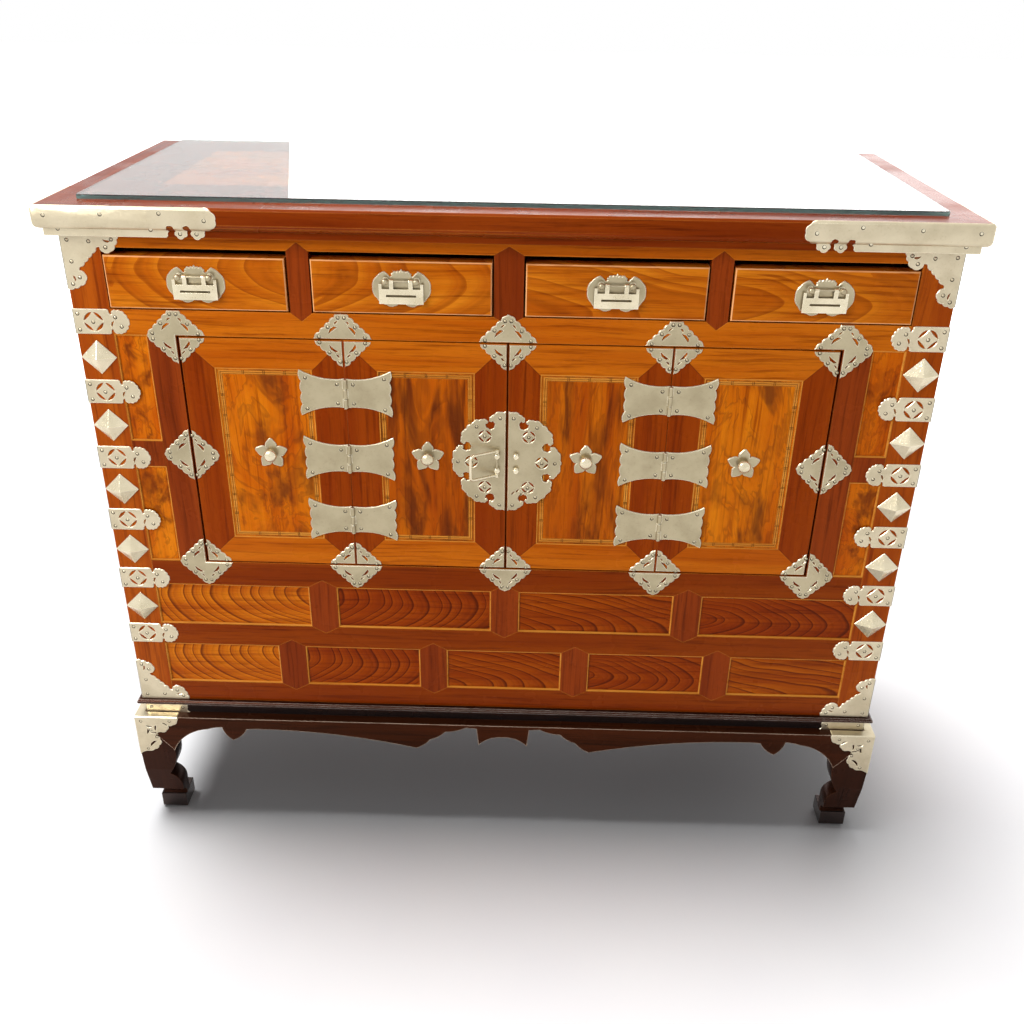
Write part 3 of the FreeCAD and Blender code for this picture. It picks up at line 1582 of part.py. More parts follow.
def hinge_half(side, outer, z_middle):
    """Give a leaf's half of a hinge: plate, knuckles and, on the outer leaf, the pin.

    The middle hinge has a round pin, the others have pins with flats.
    """
    way = side if outer else -side
    axis_x = side * float(hinge_x)
    axis_y = float(case_front) - float(s.barrel_radius) - float(s.barrel_stand_off)
    radius = float(s.barrel_radius)
    gap = float(s.knuckle_gap)
    waist = float(s.hinge_waist) / 2
    height = (waist - gap) * 2
    foot = z_middle - height / 2
    end = float(s.hinge_end_height) / 2
    near = axis_x + way * float(s.leaf_hinge_gap + s.plate_setback) / 2
    far = axis_x + way * float(s.hinge_reach)
    curve = way * HINGE_WAIST_BULGE_SHARE
    outline = Outline(near, z_middle - waist)
    outline.arc(far, z_middle - end, curve)
    outline.notched(far, z_middle + end, EDGE_NOTCHES, float(s.edge_notch), way)
    outline.arc(near, z_middle + waist, curve)
    half = outline.face(before_plane(case_front)).extrude(forward_by(s.plate_thickness))
    notch_far = axis_x + way * (radius + gap)
    for index in range(KNUCKLE_COUNT):
        low = foot + height * index / KNUCKLE_COUNT
        high = foot + height * (index + 1) / KNUCKLE_COUNT
        mine = (index == MIDDLE_KNUCKLE) != outer
        if mine:
            low = low + (gap if index else 0)
            high = high - (gap if index < KNUCKLE_COUNT - 1 else 0)
            half = half.fuse(
                faceted_bar(FreeCAD.Vector(axis_x, axis_y, low), UP, radius, high - low)
            )
        else:
            over = float(s.cut_overrun)
            low = low - (over if index == 0 else 0)
            high = high + (over if index == KNUCKLE_COUNT - 1 else 0)
            half = half.cut(
                solid_box(
                    (min(axis_x, notch_far), max(axis_x, notch_far)),
                    (axis_y, float(case_front)),
                    (low, high),
                )
            )
    pin_root = FreeCAD.Vector(axis_x, axis_y, foot + height / KNUCKLE_COUNT / 2)
    pin_height = height - height / KNUCKLE_COUNT
    if outer:
        pin_radius = float(s.barrel_pin_radius)
        if z_middle == float(door_middle):
            return half.fuse(Part.makeCylinder(pin_radius, pin_height, pin_root))
        return half.fuse(faceted_bar(pin_root, UP, pin_radius, pin_height))
    bore = float(s.barrel_pin_radius + s.turning_clearance) / FACET_INNER_SHARE
    return half.cut(faceted_bar(pin_root, UP, bore, pin_height))


KNOB_PETALS = 5
# A petal from one valley to the next: turn as a share of the petal's, and distance from
# the middle as a share of its reach.
KNOB_PETAL_SHARES = ((0.00, 0.58), (0.28, 0.86), (0.50, 1.00), (0.72, 0.86))
# The turned knob from its plate: radius as a share of the head's, and height as a share
# of the knob's reach.
KNOB_RING_SHARES = ((0.47, 0.12), (0.47, 0.42), (1.00, 0.66), (0.86, 0.86), (0.45, 1.00))


def leaf_knob(side, inner):
    """Give a knob: a five-petalled plate, a neck and a turned head."""
    low, high = leaf_span(side, inner)
    x = float(low + high) / 2
    z = float(door_middle + s.knob_rise)
    seat = FreeCAD.Vector(x, float(case_front + s.leaf_panel_recess), z)
    reach = float(s.knob_petal_reach)
    petal_turn = math.radians(FULL_TURN / KNOB_PETALS)
    start = math.radians(QUARTER_TURN) + petal_turn / 2
    points = []
    for petal in range(KNOB_PETALS):
        for turn_share, reach_share in KNOB_PETAL_SHARES:
            turn = start + petal_turn * (petal + turn_share)
            out = reach * reach_share
            points.append((x + out * math.cos(turn), z + out * math.sin(turn)))
    outline = Outline(*points[0])
    for point in points[1:]:
        outline.line(*point)
    petals = outline.face(before_plane(seat.y)).extrude(forward_by(s.knob_petal_thickness))
    knob = faceted_turning(seat, FORWARD, s.knob_radius, s.knob_reach, KNOB_RING_SHARES)
    return petals.fuse(knob).removeSplitter()


def make_leaf_fittings(name, side, inner):
    """Make a leaf's plates, hinge halves, knob and pins as separate solids."""
    region = trim_region(side, inner)
    solids = []
    for x, z in diamond_places():
        piece = diamond_plate(x, z).common(region)
        solids.extend(piece.Solids)
    for step in (-1, 0, 1):
        solids.extend(hinge_half(side, not inner, float(door_middle + s.hinge_pitch * step)).Solids)
    solids.extend(leaf_knob(side, inner).Solids)
    if inner:
        spacing = float(s.lock_post_spacing) / 2
        lock = lock_plate().common(region)
        posts = [lock_post(side, float(door_middle) + step * spacing) for step in SIDES]
        if side == LEFT_SIDE:
            posts.append(hasp_pin())
        solids.extend(lock.fuse(posts).removeSplitter().Solids)
    else:
        for level in (leaf_base, leaf_top):
            solids.extend(pivot_pin(side, level).Solids)
    return held(f"{name}_set", Part.makeCompound(solids))


# Hasp: a bent rod that turns on a pin through the left leaf's posts

HASP_REST_ANGLE = 30
MITRED = 1


def hasp_axis_y():
    """Give where the hasp's pin stands before the case."""
    return float(case_front) - float(s.plate_thickness) - float(s.hasp_pin_reach)


def hasp_pin():
    """Give the upright pin that the hasp turns on."""
    height = float(s.hasp_spread) + float(s.hasp_eye_height)
    foot = FreeCAD.Vector(
        -float(s.lock_post_inset), hasp_axis_y(), float(door_middle) - height / 2
    )
    return faceted_bar(foot, UP, float(s.hasp_pin_radius), height)


def make_hasp():
    """Make the hasp, laid along X from its axis and then lifted from the plate."""
    arm = float(s.hasp_arm_length)
    half = float(s.hasp_spread) / 2
    bend = float(s.hasp_bend)
    eye_inner = float(s.hasp_pin_radius) + float(s.turning_clearance)
    eye_outer = eye_inner + float(s.hasp_eye_wall)
    start = -eye_inner - float(s.hasp_eye_wall) / 2
    corners = [
        (start, half), (bend - arm, half), (-arm, half - bend),
        (-arm, bend - half), (bend - arm, -half), (start, -half),
    ]
    path = Part.makePolygon([FreeCAD.Vector(u, 0, v) for u, v in corners])
    ring = faceted_ring(FreeCAD.Vector(start, 0, half), RIGHT, float(s.hasp_rod_radius))
    bent_rod = Part.Wire(path.Edges).makePipeShell([ring], True, True, MITRED)
    eye_height = float(s.hasp_eye_height)
    eyes = []
    for side in SIDES:
        low = FreeCAD.Vector(0, 0, side * half - eye_height / 2)
        eyes.append(faceted_bar(low, UP, eye_outer, eye_height))
    bore = Part.makeCylinder(
        eye_inner, float(s.hasp_spread) * 2, FreeCAD.Vector(0, 0, -float(s.hasp_spread))
    )
    hasp = held("hasp_rod", bent_rod.fuse(eyes).cut(bore).removeSplitter())
    hasp.Placement = FreeCAD.Placement(
        FreeCAD.Vector(-float(s.lock_post_inset), hasp_axis_y(), float(door_middle)),
        FreeCAD.Rotation(UP, HASP_REST_ANGLE),
    )
    return hasp


# Trim of the case and the stand

# A corner plate from the end of one arm to the end of the other, as shares of its size:
# in front each arm ends in two lobes, and at the side the hollow has straight edges.
CORNER_PLATE_SHARES = (
    (1.00, 0.00, 0.00),
    (0.96, 0.20, 0.00),
    (0.82, 0.34, 0.00),
    (0.68, 0.32, 0.00),
    (0.42, 0.42, 0.16),
    (0.32, 0.68, 0.16),
    (0.37, 0.82, 0.00),
    (0.22, 0.96, 0.00),
    (0.00, 1.00, 0.00),
)
CORNER_PLATE_SIDE_SHARES = (
    (1.00, 0.00, 0.00),
    (0.95, 0.21, 0.00),
    (0.46, 0.46, 0.00),
    (0.21, 0.95, 0.00),
    (0.00, 1.00, 0.00),
)


def corner_plate(upper):
    """Give a left corner plate, bent round the post: at the top or at the base."""
    size = float(s.corner_plate_size)
    start_z = float(case_top if upper else case_base)
    way = -1 if upper else 1
    skin = float(s.plate_thickness)
    corner_x = -float(case_half)
    front_y = float(case_front)
    faces = []
    for layout, start_u, edge_shares in (
        (before_plane(front_y), corner_x, CORNER_PLATE_SHARES),
        (beside_plane(corner_x), front_y, CORNER_PLATE_SIDE_SHARES),
    ):
        path = [
            (u, v, -way * bulge_share)
            for u, v, bulge_share in placed(edge_shares, start_u, start_z, size, size * way)
        ]
        faces.append(Outline(start_u, start_z).follow(path).face(layout))
    low = start_z - size if upper else start_z
    ridge = solid_box((corner_x - skin, corner_x), (front_y - skin, front_y), (low, low + size))
    return corner_wrap(faces, skin, ridge).cut(drawer_region())


# The end of a corner strap's lower half, from the end of its straight part: along and
# aside as shares of the strap's height. In front it has a neck and a lobed tip, and at
# the side a plain point.
STRAP_END_SHARES = (
    (-0.04, -0.50, 0.00),
    (0.06, -0.30, 0.00),
    (0.18, -0.47, 0.00),
    (0.38, -0.45, 0.00),
    (0.56, -0.22, 0.00),
    (0.70, 0.00, 0.00),
)
STRAP_SIDE_END_SHARES = (
    (0.00, -0.50, 0.00),
    (0.30, 0.00, 0.00),
)


def strap_outline(start, length, z, end_shares):
    """Give a corner strap from the corner to its point and back."""
    height = float(s.strap_height)
    first = (start, z - height / 2)
    steps = placed(end_shares, start + float(length), z, height, height)
    return Outline(*first).follow(there_and_back(first, steps, mirror_upwards(z)))


def strap_levels():
    """Give the middles of the corner straps, even from the drawer rail to the row rail."""
    first = float(door_top + s.drawer_rail_height / 2)
    last = float(lower_row_top + s.row_rail_height / 2)
    gaps = int((first - last) / float(s.strap_pitch))
    return [first - (first - last) * number / gaps for number in range(gaps + 1)]


def corner_strap(z):
    """Give a left corner strap, bent round the post."""
    skin = float(s.plate_thickness)
    corner_x = -float(case_half)
    front_y = float(case_front)
    half = float(s.strap_height) / 2
    faces = [
        strap_outline(corner_x, s.strap_length, z, STRAP_END_SHARES).face(before_plane(front_y)),
        strap_outline(front_y, s.strap_side_length, z, STRAP_SIDE_END_SHARES).face(
            beside_plane(corner_x)
        ),
    ]
    ridge = solid_box((corner_x - skin, corner_x), (front_y - skin, front_y), (z - half, z + half))
    return corner_wrap(faces, skin, ridge).cut(drawer_region())


def pyramid_stud(z):
    """Give a left pyramid stud, set on its point between two straps."""
    reach = float(s.stud_reach)
    x = -float(case_half) + float(s.post_width) / 2
    y = float(case_front)
    rim = float(s.stud_rim)
    corners = [(x - reach, z), (x, z - reach), (x + reach, z), (x, z + reach)]
    outline = Outline(*corners[0])
    for corner in corners[1:]:
        outline.line(*corner)
    base = outline.face(before_plane(y)).extrude(forward_by(rim))
    points = [FreeCAD.Vector(u, y - rim, v) for u, v in corners]
    tip = FreeCAD.Vector(x, y - float(s.stud_height), z)
    faces = [Part.Face(Part.makePolygon(points + points[:1]))]
    for index, point in enumerate(points):
        following = points[(index + 1) % len(points)]
        faces.append(Part.Face(Part.makePolygon([point, following, tip, point])))
    return base.fuse(Part.makeSolid(Part.makeShell(faces))).removeSplitter()


def both_sides(name, shapes):
    """Put left shapes and their right copies in the document."""
    pieces = []
    for number, shape in enumerate(shapes, start=1):
        pieces.append(held(f"{name}_left_{number}", shape))
        pieces.append(held(f"{name}_right_{number}", mirrored(shape)))
    return pieces


def make_diamond_plates():
    """Make the parts of the diamond plates that are fixed to the case."""
    keep_out = door_region()
    keep_in = solid_box(
        (-case_half, case_half),
        (case_front - s.lock_radius, case_front + s.lock_radius),
        (upper_row_top, drawer_base),
    )
    pieces = []
    for number, (x, z) in enumerate(diamond_places(), start=1):
        shape = diamond_plate(x, z).common(keep_in).cut(keep_out)
        for index, solid in enumerate(shape.Solids):
            pieces.append(held(f"frame_diamond_{number}_{index}", solid))
    return pieces


# The loose end of a top strap, from its tip, as shares of the moulding's height: the
# band's end, two hanging curls and the round tip. The side has a plain point.
TOP_STRAP_END_SHARES = (
    (-1.65, 0.00, 0.00),
    (-1.36, 0.44, 0.00),
    (-1.20, 0.40, 0.00),
    (-1.16, 0.14, 0.00),
    (-1.00, 0.00, 0.00),
    (-0.84, 0.12, 0.00),
    (-0.78, 0.44, 0.00),
    (-0.62, 0.40, 0.00),
    (-0.58, 0.14, 0.00),
    (-0.40, 0.00, 0.00),
    (-0.20, 0.12, 0.00),
    (-0.02, 0.50, 0.00),
    (-0.08, 0.84, 0.00),
    (-0.40, 1.00, 0.00),
)
TOP_STRAP_SIDE_END_SHARES = (
    (-0.30, 0.00, 0.00),
    (0.00, 0.50, 0.00),
    (-0.30, 1.00, 0.00),
)


def top_strap_shape():
    """Give a left top strap, wrapped round the front and side of the moulding."""
    skin = float(s.plate_thickness)
    height = float(s.top_thickness)
    depth = float(s.top_frame_width) / 2
    skins = dict(moulding_solid(skin, depth))
    wood = dict(moulding_solid(0, depth * 2))
    shells = []
    for place, corner, length, end_shares in (
        ("front", -float(top_half) - skin, s.top_strap_length, TOP_STRAP_END_SHARES),
        ("left", float(top_front) - skin, s.top_strap_side_length, TOP_STRAP_SIDE_END_SHARES),
    ):
        outline = Outline(corner, case_top)
        outline.follow(placed(end_shares, corner + float(length), case_top, height, height))
        outline.line(corner, wood_top)
        if place == "front":
            layout, way = before_plane(float(top_front) - skin * 2), BACKWARD
        else:
            layout, way = beside_plane(-float(top_half) - skin * 2), RIGHT
        mask = outline.face(layout).extrude(way * depth)
        shells.append(skins[place].common(mask).cut([wood["front"], wood["left"]]))
    return shells[0].fuse(shells[1]).removeSplitter()


WAIST_STRAP_TAIL_SHARE = 0.22


def waist_strap_shape():
    """Give a left strap round the corner of the black band."""
    skin = float(s.plate_thickness)
    corner_x = s.waist_setback - case_half
    front_y = case_front + s.waist_setback
    length = float(s.waist_strap_length)
    tail = float(s.waist_height) * WAIST_STRAP_TAIL_SHARE
    low = float(apron_top)
    high = float(cap_base)
    middle = (low + high) / 2
    faces = []
    for layout, start in (
        (before_plane(front_y), float(corner_x)), (beside_plane(corner_x), float(front_y)),
    ):
        end = start + length
        outline = Outline(start, low)
        outline.line(end, low)
        outline.line(end - tail, middle)
        outline.line(end, high)
        outline.line(start, high)
        faces.append(outline.face(layout))
    ridge = solid_box(
        (corner_x - skin, corner_x), (front_y - skin, front_y), (apron_top, cap_base)
    )
    return corner_wrap(faces, skin, ridge)


# A leg plate's lower edge, as shares of its width and drop from the stand's corner.
LEG_PLATE_SHARES = (
    (1.00, 0.00, 0.00),
    (0.96, 0.12, 0.00),
    (0.78, 0.22, 0.00),
    (0.66, 0.24, 0.00),
    (0.56, 0.38, 0.00),
    (0.44, 0.46, 0.00),
    (0.46, 0.66, 0.00),
    (0.36, 0.84, 0.00),
    (0.22, 0.94, 0.00),
    (0.00, 1.00, 0.00),
)


def leg_plate_shape():
    """Give a left plate on the corner of apron and leg, folded over the apron's ledge."""
    skin = float(s.plate_thickness)
    corner_x = -float(stand_half)
    front_y = float(stand_front)
    top = float(apron_top)
    drop = float(s.leg_plate_drop)
    width = float(s.leg_plate_width)
    faces = []
    for layout, start in ((before_plane(front_y), corner_x), (beside_plane(corner_x), front_y)):
        path = placed(LEG_PLATE_SHARES, start, top, width, -drop)
        faces.append(Outline(start, top).follow(path).face(layout))
    ridge = solid_box((corner_x - skin, corner_x), (front_y - skin, front_y), (top - drop, top))
    plate = corner_wrap(faces, skin, ridge)
    ledge = float(s.leg_plate_flange)
    tops = [
        solid_box(
            (corner_x - skin, corner_x + width), (front_y - skin, front_y + ledge),
            (top, top + skin),
        ),
        solid_box(
            (corner_x - skin, corner_x + ledge), (front_y - skin, front_y + width),
            (top, top + skin),
        ),
    ]
    return plate.fuse(tops).removeSplitter()


# Sub-parts in the order that a maker would set them up

hand_in("corner_posts", make_posts())
hand_in("front_rails", make_front_rails())
hand_in("side_frames", make_side_frames())
hand_in("side_panels", side_panels)
hand_in("back_frame", make_back_frame())
hand_in("back_panels", back_panels)
hand_in("flank_frame", make_flank_frame())
hand_in("flank_panels", flank_panels)
hand_in("upper_row_panels", upper_panels)
hand_in("lower_row_panels", lower_panels)
hand_in("row_dividers", grooved_uprights)
hand_in("drawer_dividers", drawer_uprights)
hand_in("dust_board", [make_inner_board("dust_board_piece", drawer_base)])
hand_in("bottom_board", [make_inner_board("bottom_board_piece", base_rail_top)])
hand_in("drawer_guides", make_drawer_guides())
hand_in("top_frame", make_top_frame())
hand_in("top_panel", [make_top_panel()])
hand_in("glass_top", [make_glass()])
hand_in("stand_cap", [make_cap()])
hand_in("stand_waist", make_waist())
hand_in("stand_aprons", make_aprons())
hand_in("stand_legs", make_legs())
hand_in("foot_blocks", make_foot_blocks())
hand_in("top_straps", both_sides("top_strap", [top_strap_shape()]))
hand_in("corner_plates", both_sides("corner_plate", [corner_plate(True), corner_plate(False)]))
hand_in("corner_straps", both_sides("strap", [corner_strap(z) for z in strap_levels()]))
strap_middles = strap_levels()
stud_middles = [(high + low) / 2 for high, low in zip(strap_middles, strap_middles[1:])]
hand_in("pyramid_studs", both_sides("stud", [pyramid_stud(z) for z in stud_middles]))
hand_in("diamond_plates", make_diamond_plates())
hand_in("waist_straps", both_sides("waist_strap", [waist_strap_shape()]))
hand_in("leg_plates", both_sides("leg_plate", [leg_plate_shape()]))

for drawer_number in range(1, DRAWER_COUNT + 1):
    hand_in(f"drawer_{drawer_number}_box", make_drawer_box(drawer_number))
    hand_in(f"drawer_{drawer_number}_front", [make_drawer_front(drawer_number)])
    hand_in(f"drawer_{drawer_number}_pull_plate", [make_pull_plate(drawer_number)])
    hand_in(f"drawer_{drawer_number}_bail", [make_bail(drawer_number)])

for side_name, side in (("left", LEFT_SIDE), ("right", RIGHT_SIDE)):
    for place_name, inner in (("outer", False), ("inner", True)):
        leaf = f"leaf_{place_name}_{side_name}"
        hand_in(f"{leaf}_frame", make_leaf_frame(leaf, side, inner))
        hand_in(f"{leaf}_panel", [make_leaf_panel(leaf, side, inner)])
        hand_in(f"{leaf}_fittings", [make_leaf_fittings(leaf, side, inner)])

hand_in("hasp", [make_hasp()])

# Check the document, then write one file for each sub-part

doc.recompute()
for item in doc.Objects:
    if {"Invalid", "Error"} & set(item.State):
        raise RuntimeError(f"{item.Name} failed: {item.State}")
for node in finished:
    if node.Shape.isNull() or not node.Shape.isValid():
        raise RuntimeError(f"{node.Label} has no valid shape")

os.makedirs("parts", exist_ok=True)
for node in finished:
    node.Shape.exportStep(f"parts/{node.Label}.step")
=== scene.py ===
"""Dress a low chest on a stand: polished woods, pierced pale metal and a sheet of glass."""

from __future__ import annotations

import logging
import math
from collections.abc import Callable, Iterable, Sequence
from dataclasses import dataclass, field
from enum import Enum

import bmesh
import bpy
from mathutils import Matrix, Vector
from mathutils.geometry import delaunay_2d_cdt

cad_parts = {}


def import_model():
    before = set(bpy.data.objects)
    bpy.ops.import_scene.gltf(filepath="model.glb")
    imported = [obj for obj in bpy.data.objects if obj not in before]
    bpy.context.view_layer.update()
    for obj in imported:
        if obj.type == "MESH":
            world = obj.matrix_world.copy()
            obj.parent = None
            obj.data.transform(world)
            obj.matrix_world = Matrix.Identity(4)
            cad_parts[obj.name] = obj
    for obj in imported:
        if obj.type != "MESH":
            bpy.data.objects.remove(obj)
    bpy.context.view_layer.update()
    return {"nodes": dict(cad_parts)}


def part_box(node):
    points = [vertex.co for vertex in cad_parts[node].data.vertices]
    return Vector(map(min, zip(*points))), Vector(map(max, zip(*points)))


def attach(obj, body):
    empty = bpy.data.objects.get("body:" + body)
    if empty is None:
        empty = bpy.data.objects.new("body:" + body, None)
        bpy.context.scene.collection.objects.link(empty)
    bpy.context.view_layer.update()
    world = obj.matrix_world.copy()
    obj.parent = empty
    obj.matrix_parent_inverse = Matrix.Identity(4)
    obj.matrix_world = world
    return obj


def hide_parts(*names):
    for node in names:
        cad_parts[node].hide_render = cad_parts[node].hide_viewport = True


LOG = logging.getLogger("chest")
MM = 0.001
MERGE = 0.001
WELD = 0.00001
SHARP_ANGLE = math.radians(38)
EASED_ANGLE = math.radians(40)
FULL_TURN = math.tau

Point = tuple[float, float]
Step = tuple[float, float, float]
Lay = Callable[[float, float, float], Vector]
Colour = tuple[float, float, float, float]
Shape = bmesh.types.BMesh
Socket = bpy.types.NodeSocket
Feeds = bpy.types.NodeOutputs
Results = dict[str, Socket]


class Side(Enum):
    """The two sides of the chest, as the sign of X."""

    LEFT = -1
    RIGHT = 1


class GrainWay(Enum):
    """How the grain of a piece lies, as the order of the axes along, across and into it."""

    ALONG = "XZY"
    DEEP = "YZX"
    UPRIGHT = "ZXY"
    FLAT = "XYZ"


class Figure(Enum):
    """What the cut of a board shows."""

    STRAIGHT = "straight"
    RINGED = "ringed"
    CLOUDED = "clouded"


def shade(red: int, green: int, blue: int) -> Colour:
    """Turn a colour as seen on a screen into the renderer's linear colour.

    Args:
        red: Red from 0 to 255.
        green: Green from 0 to 255.
        blue: Blue from 0 to 255.

    Returns:
        The linear colour with full opacity.
    """
    parts = []
    for part in (red, green, blue):
        share = part / 255
        parts.append(share / 12.92 if share <= 0.04045 else ((share + 0.055) / 1.055) ** 2.4)
    return (parts[0], parts[1], parts[2], 1.0)


# Places of the chest


@dataclass(frozen=True)
class Places:
    """Sizes and places that several pieces share, in millimetres."""

    case_half: float = 500.0
    case_front: float = -204.4
    case_back: float = 217.6
    case_base: float = 200.0
    case_top: float = 841.0
    wood_top: float = 875.0
    top_half: float = 517.0
    top_front: float = -228.4
    top_back: float = 229.6
    glass_top: float = 880.0
    apron_top: float = 176.0
    stand_half: float = 512.0
    stand_front: float = -216.4
    post_width: float = 43.0
    inner_half: float = 457.0
    door_half: float = 385.0
    door_base: float = 422.0
    door_top: float = 724.0
    door_middle: float = 573.0
    drawer_base: float = 754.5
    drawer_top: float = 825.0
    upper_row: tuple[float, float] = (325.5, 387.0)
    lower_row: tuple[float, float] = (231.0, 293.0)
    divider_width: float = 36.0
    hinge_x: float = 191.625
    leaf_width: float = 190.475
    leaf_end_gap: float = 1.5
    meeting_gap: float = 1.5
    hinge_gap: float = 0.8
    hasp_x: float = 11.5
    hasp_y: float = -208.6
    plate: float = 1.2
    setback: float = 0.8

    def leaf_span(self, side: Side, inner: bool) -> tuple[float, float]:
        """Give a leaf's left and right edge.

        Args:
            side: Side of the chest that the leaf is on.
            inner: Whether the leaf meets the other side's leaf.

        Returns:
            The lowest and the highest X of the leaf.
        """
        near = self.meeting_gap / 2
        if not inner:
            near += self.leaf_width + self.hinge_gap
        far = near + self.leaf_width
        return (near, far) if side is Side.RIGHT else (-far, -near)


PLACES = Places()


# Outlines


def bend(start: Point, end: Point, bulge: float, steps: int = 7) -> list[Point]:
    """Give points along an arc that bulges to the left of its way.

    Args:
        start: Where the arc starts.
        end: Where it ends.
        bulge: Height of the arc as a share of its chord; zero gives a straight line.
        steps: How many points the arc gets.

    Returns:
        The points after the start, up to and with the end.
    """
    if not bulge:
        return [end]
    turn = 4 * math.atan(2 * bulge)
    origin = complex(*start)
    chord = complex(*end) - origin
    points = []
    for step in range(1, steps + 1):
        share = step / steps
        reach = math.sin(turn * share / 2) / math.sin(turn / 2)
        heading = turn * (1 - share) / 2
        place = origin + chord * reach * complex(math.cos(heading), math.sin(heading))
        points.append((place.real, place.imag))
    return points


def trace(start: Point, steps: Iterable[Step]) -> list[Point]:
    """Follow straight and bent steps from a start.

    Args:
        start: First place.
        steps: Places that follow, each with the bulge of the way there.

    Returns:
        All points of the path, the start among them.
    """
    points = [start]
    for u, v, bulge in steps:
        points.extend(bend(points[-1], (u, v), bulge))
    return points


def scaled(steps: Iterable[Step], start: Point, size: Point) -> list[Step]:
    """Turn shares of two sizes into places measured from a start.

    Args:
        steps: Shares along u and v, each with a bulge.
        start: Where the shares are measured from.
        size: Length that a share of one stands for, along u and v; a minus sign flips it.

    Returns:
        The steps in millimetres, with bulges turned over where one axis is flipped.
    """
    flip = math.copysign(1, size[0] * size[1])
    return [
        (start[0] + u * size[0], start[1] + v * size[1], bulge * flip) for u, v, bulge in steps
    ]


def mirrored(steps: Sequence[Step], start: Point) -> list[Step]:
    """Follow steps, then their mirror image back over the level line through zero.

    Args:
        steps: Steps whose last place lies on the line.
        start: Place that the steps start from.

    Returns:
        The steps there and back.
    """
    places = [start] + [(u, v) for u, v, _ in steps]
    back = [
        (u, -v, bulge) for (u, v), (_, _, bulge) in zip(places[-2::-1], list(steps)[::-1])
    ]
    return list(steps) + back


def beyond(points: Sequence[Point], axis: int, limit: float, sign: int) -> list[Point]:
    """Keep the part of an outline on one side of a line.

    Args:
        points: Closed outline.
        axis: Which coordinate the line fixes, 0 for u and 1 for v.
        limit: Where the line is.
        sign: 1 keeps what lies above the limit, -1 what lies below.

    Returns:
        The outline that is left.
    """
    kept: list[Point] = []
    for index, here in enumerate(points):
        before = points[index - 1]
        in_now = (here[axis] - limit) * sign >= 0
        in_before = (before[axis] - limit) * sign >= 0
        if in_now != in_before:
            share = (limit - before[axis]) / (here[axis] - before[axis])
            kept.append(tuple(a + (b - a) * share for a, b in zip(before, here)))
        if in_now:
            kept.append(here)
    return kept


def less_corner(points: Sequence[Point], corner: Point, toward: Point) -> list[Point]:
    """Cut a quarter plane out of an outline.

    Args:
        points: Closed outline that the quarter plane cuts once.
        corner: Corner of the quarter plane.
        toward: Signs of u and v in which the quarter plane opens.

    Returns:
        The outline with an inner corner.
    """

    def depth(point: Point) -> float:
        """Give how far a place lies inside the quarter plane."""
        return min((point[0] - corner[0]) * toward[0], (point[1] - corner[1]) * toward[1])

    count = len(points)
    first = next(
        index for index in range(count) if depth(points[index - 1]) > 0 >= depth(points[index])
    )
    kept = [points[(first + step) % count] for step in range(count)]
    kept = [point for point in kept if depth(point) <= 0]
    for place, before, after in (
        (len(kept), kept[-1], points[(points.index(kept[-1]) + 1) % count]),
        (0, points[points.index(kept[0]) - 1], kept[0]),
    ):
        low, high = depth(before), depth(after)
        share = low / (low - high)
        crossing = tuple(a + (b - a) * share for a, b in zip(before, after))
        kept.insert(place, crossing)
        if place:
            kept.append(corner)
    return kept


def spaced(points: Sequence[Point], least: float = 0.3) -> list[Point]:
    """Drop the points of a closed outline that nearly meet the point before them.

    Args:
        points: Closed outline.
        least: Least distance between two points.

    Returns:
        The outline without them.
    """
    kept: list[Point] = []
    for point in points:
        if not kept or math.dist(point, kept[-1]) > least:
            kept.append(point)
    while math.dist(kept[0], kept[-1]) <= least:
        kept.pop()
    return kept


def coin_slots(middle: Point, radius: float) -> list[list[Point]]:
    """Give the four lens slots of a pierced coin.

    Args:
        middle: Centre of the coin.
        radius: Outer reach of the slots.

    Returns:
        Four closed outlines.
    """
    slots = []
    for quarter in range(4):
        angle = FULL_TURN * quarter / 4
        first, last = (
            (middle[0] + radius * math.cos(angle + turn), middle[1] + radius * math.sin(angle + turn))
            for turn in (0.10, 1.47)
        )
        slots.append([first] + bend(first, last, -0.17) + bend(last, first, -0.06)[:-1])
    return slots


def comma_slot(middle: Point, length: float, turn: float, hand: int) -> list[Point]:
    """Give a bent, tapering slot.

    Args:
        middle: Centre of the slot.
        length: Its length.
        turn: Angle of its length from u.
        hand: 1 or -1, the way that it bends.

    Returns:
        A closed outline.
    """
    steps = ((-0.5, 0.0), (-0.1, 0.17), (0.32, 0.12), (0.5, -0.10), (0.34, -0.06), (-0.05, 0.0))
    points = []
    for along, aside in steps:
        u = along * length
        v = aside * length * hand
        points.append((
            middle[0] + u * math.cos(turn) - v * math.sin(turn),
            middle[1] + u * math.sin(turn) + v * math.cos(turn),
        ))
    return points


@dataclass
class Pattern:
    """A flat shape with openings and the places of its nails."""

    outline: list[Point]
    openings: list[list[Point]] = field(default_factory=list)
    nails: list[Point] = field(default_factory=list)


# Meshes


def before_case(y: float) -> Lay:
    """Lay u and v along X and Z on a plane that faces a viewer before the chest."""
    return lambda u, v, w: Vector((u, y - w, v)) * MM


def behind_case(y: float) -> Lay:
    """Lay u and v along X and Z on a plane that faces away from that viewer."""
    return lambda u, v, w: Vector((u, y + w, v)) * MM


def beside_case(x: float) -> Lay:
    """Lay u and v along Y and Z on a plane that faces left."""
    return lambda u, v, w: Vector((x - w, u, v)) * MM


def on_level(z: float) -> Lay:
    """Lay u and v along X and Y on a level plane."""
    return lambda u, v, w: Vector((u, v, z + w)) * MM


def on_axes(origin: Vector, along: Vector, across: Vector, away: Vector) -> Lay:
    """Lay u, v and w along three axes from an origin in metres."""
    return lambda u, v, w: origin + (along * u + across * v + away * w) * MM


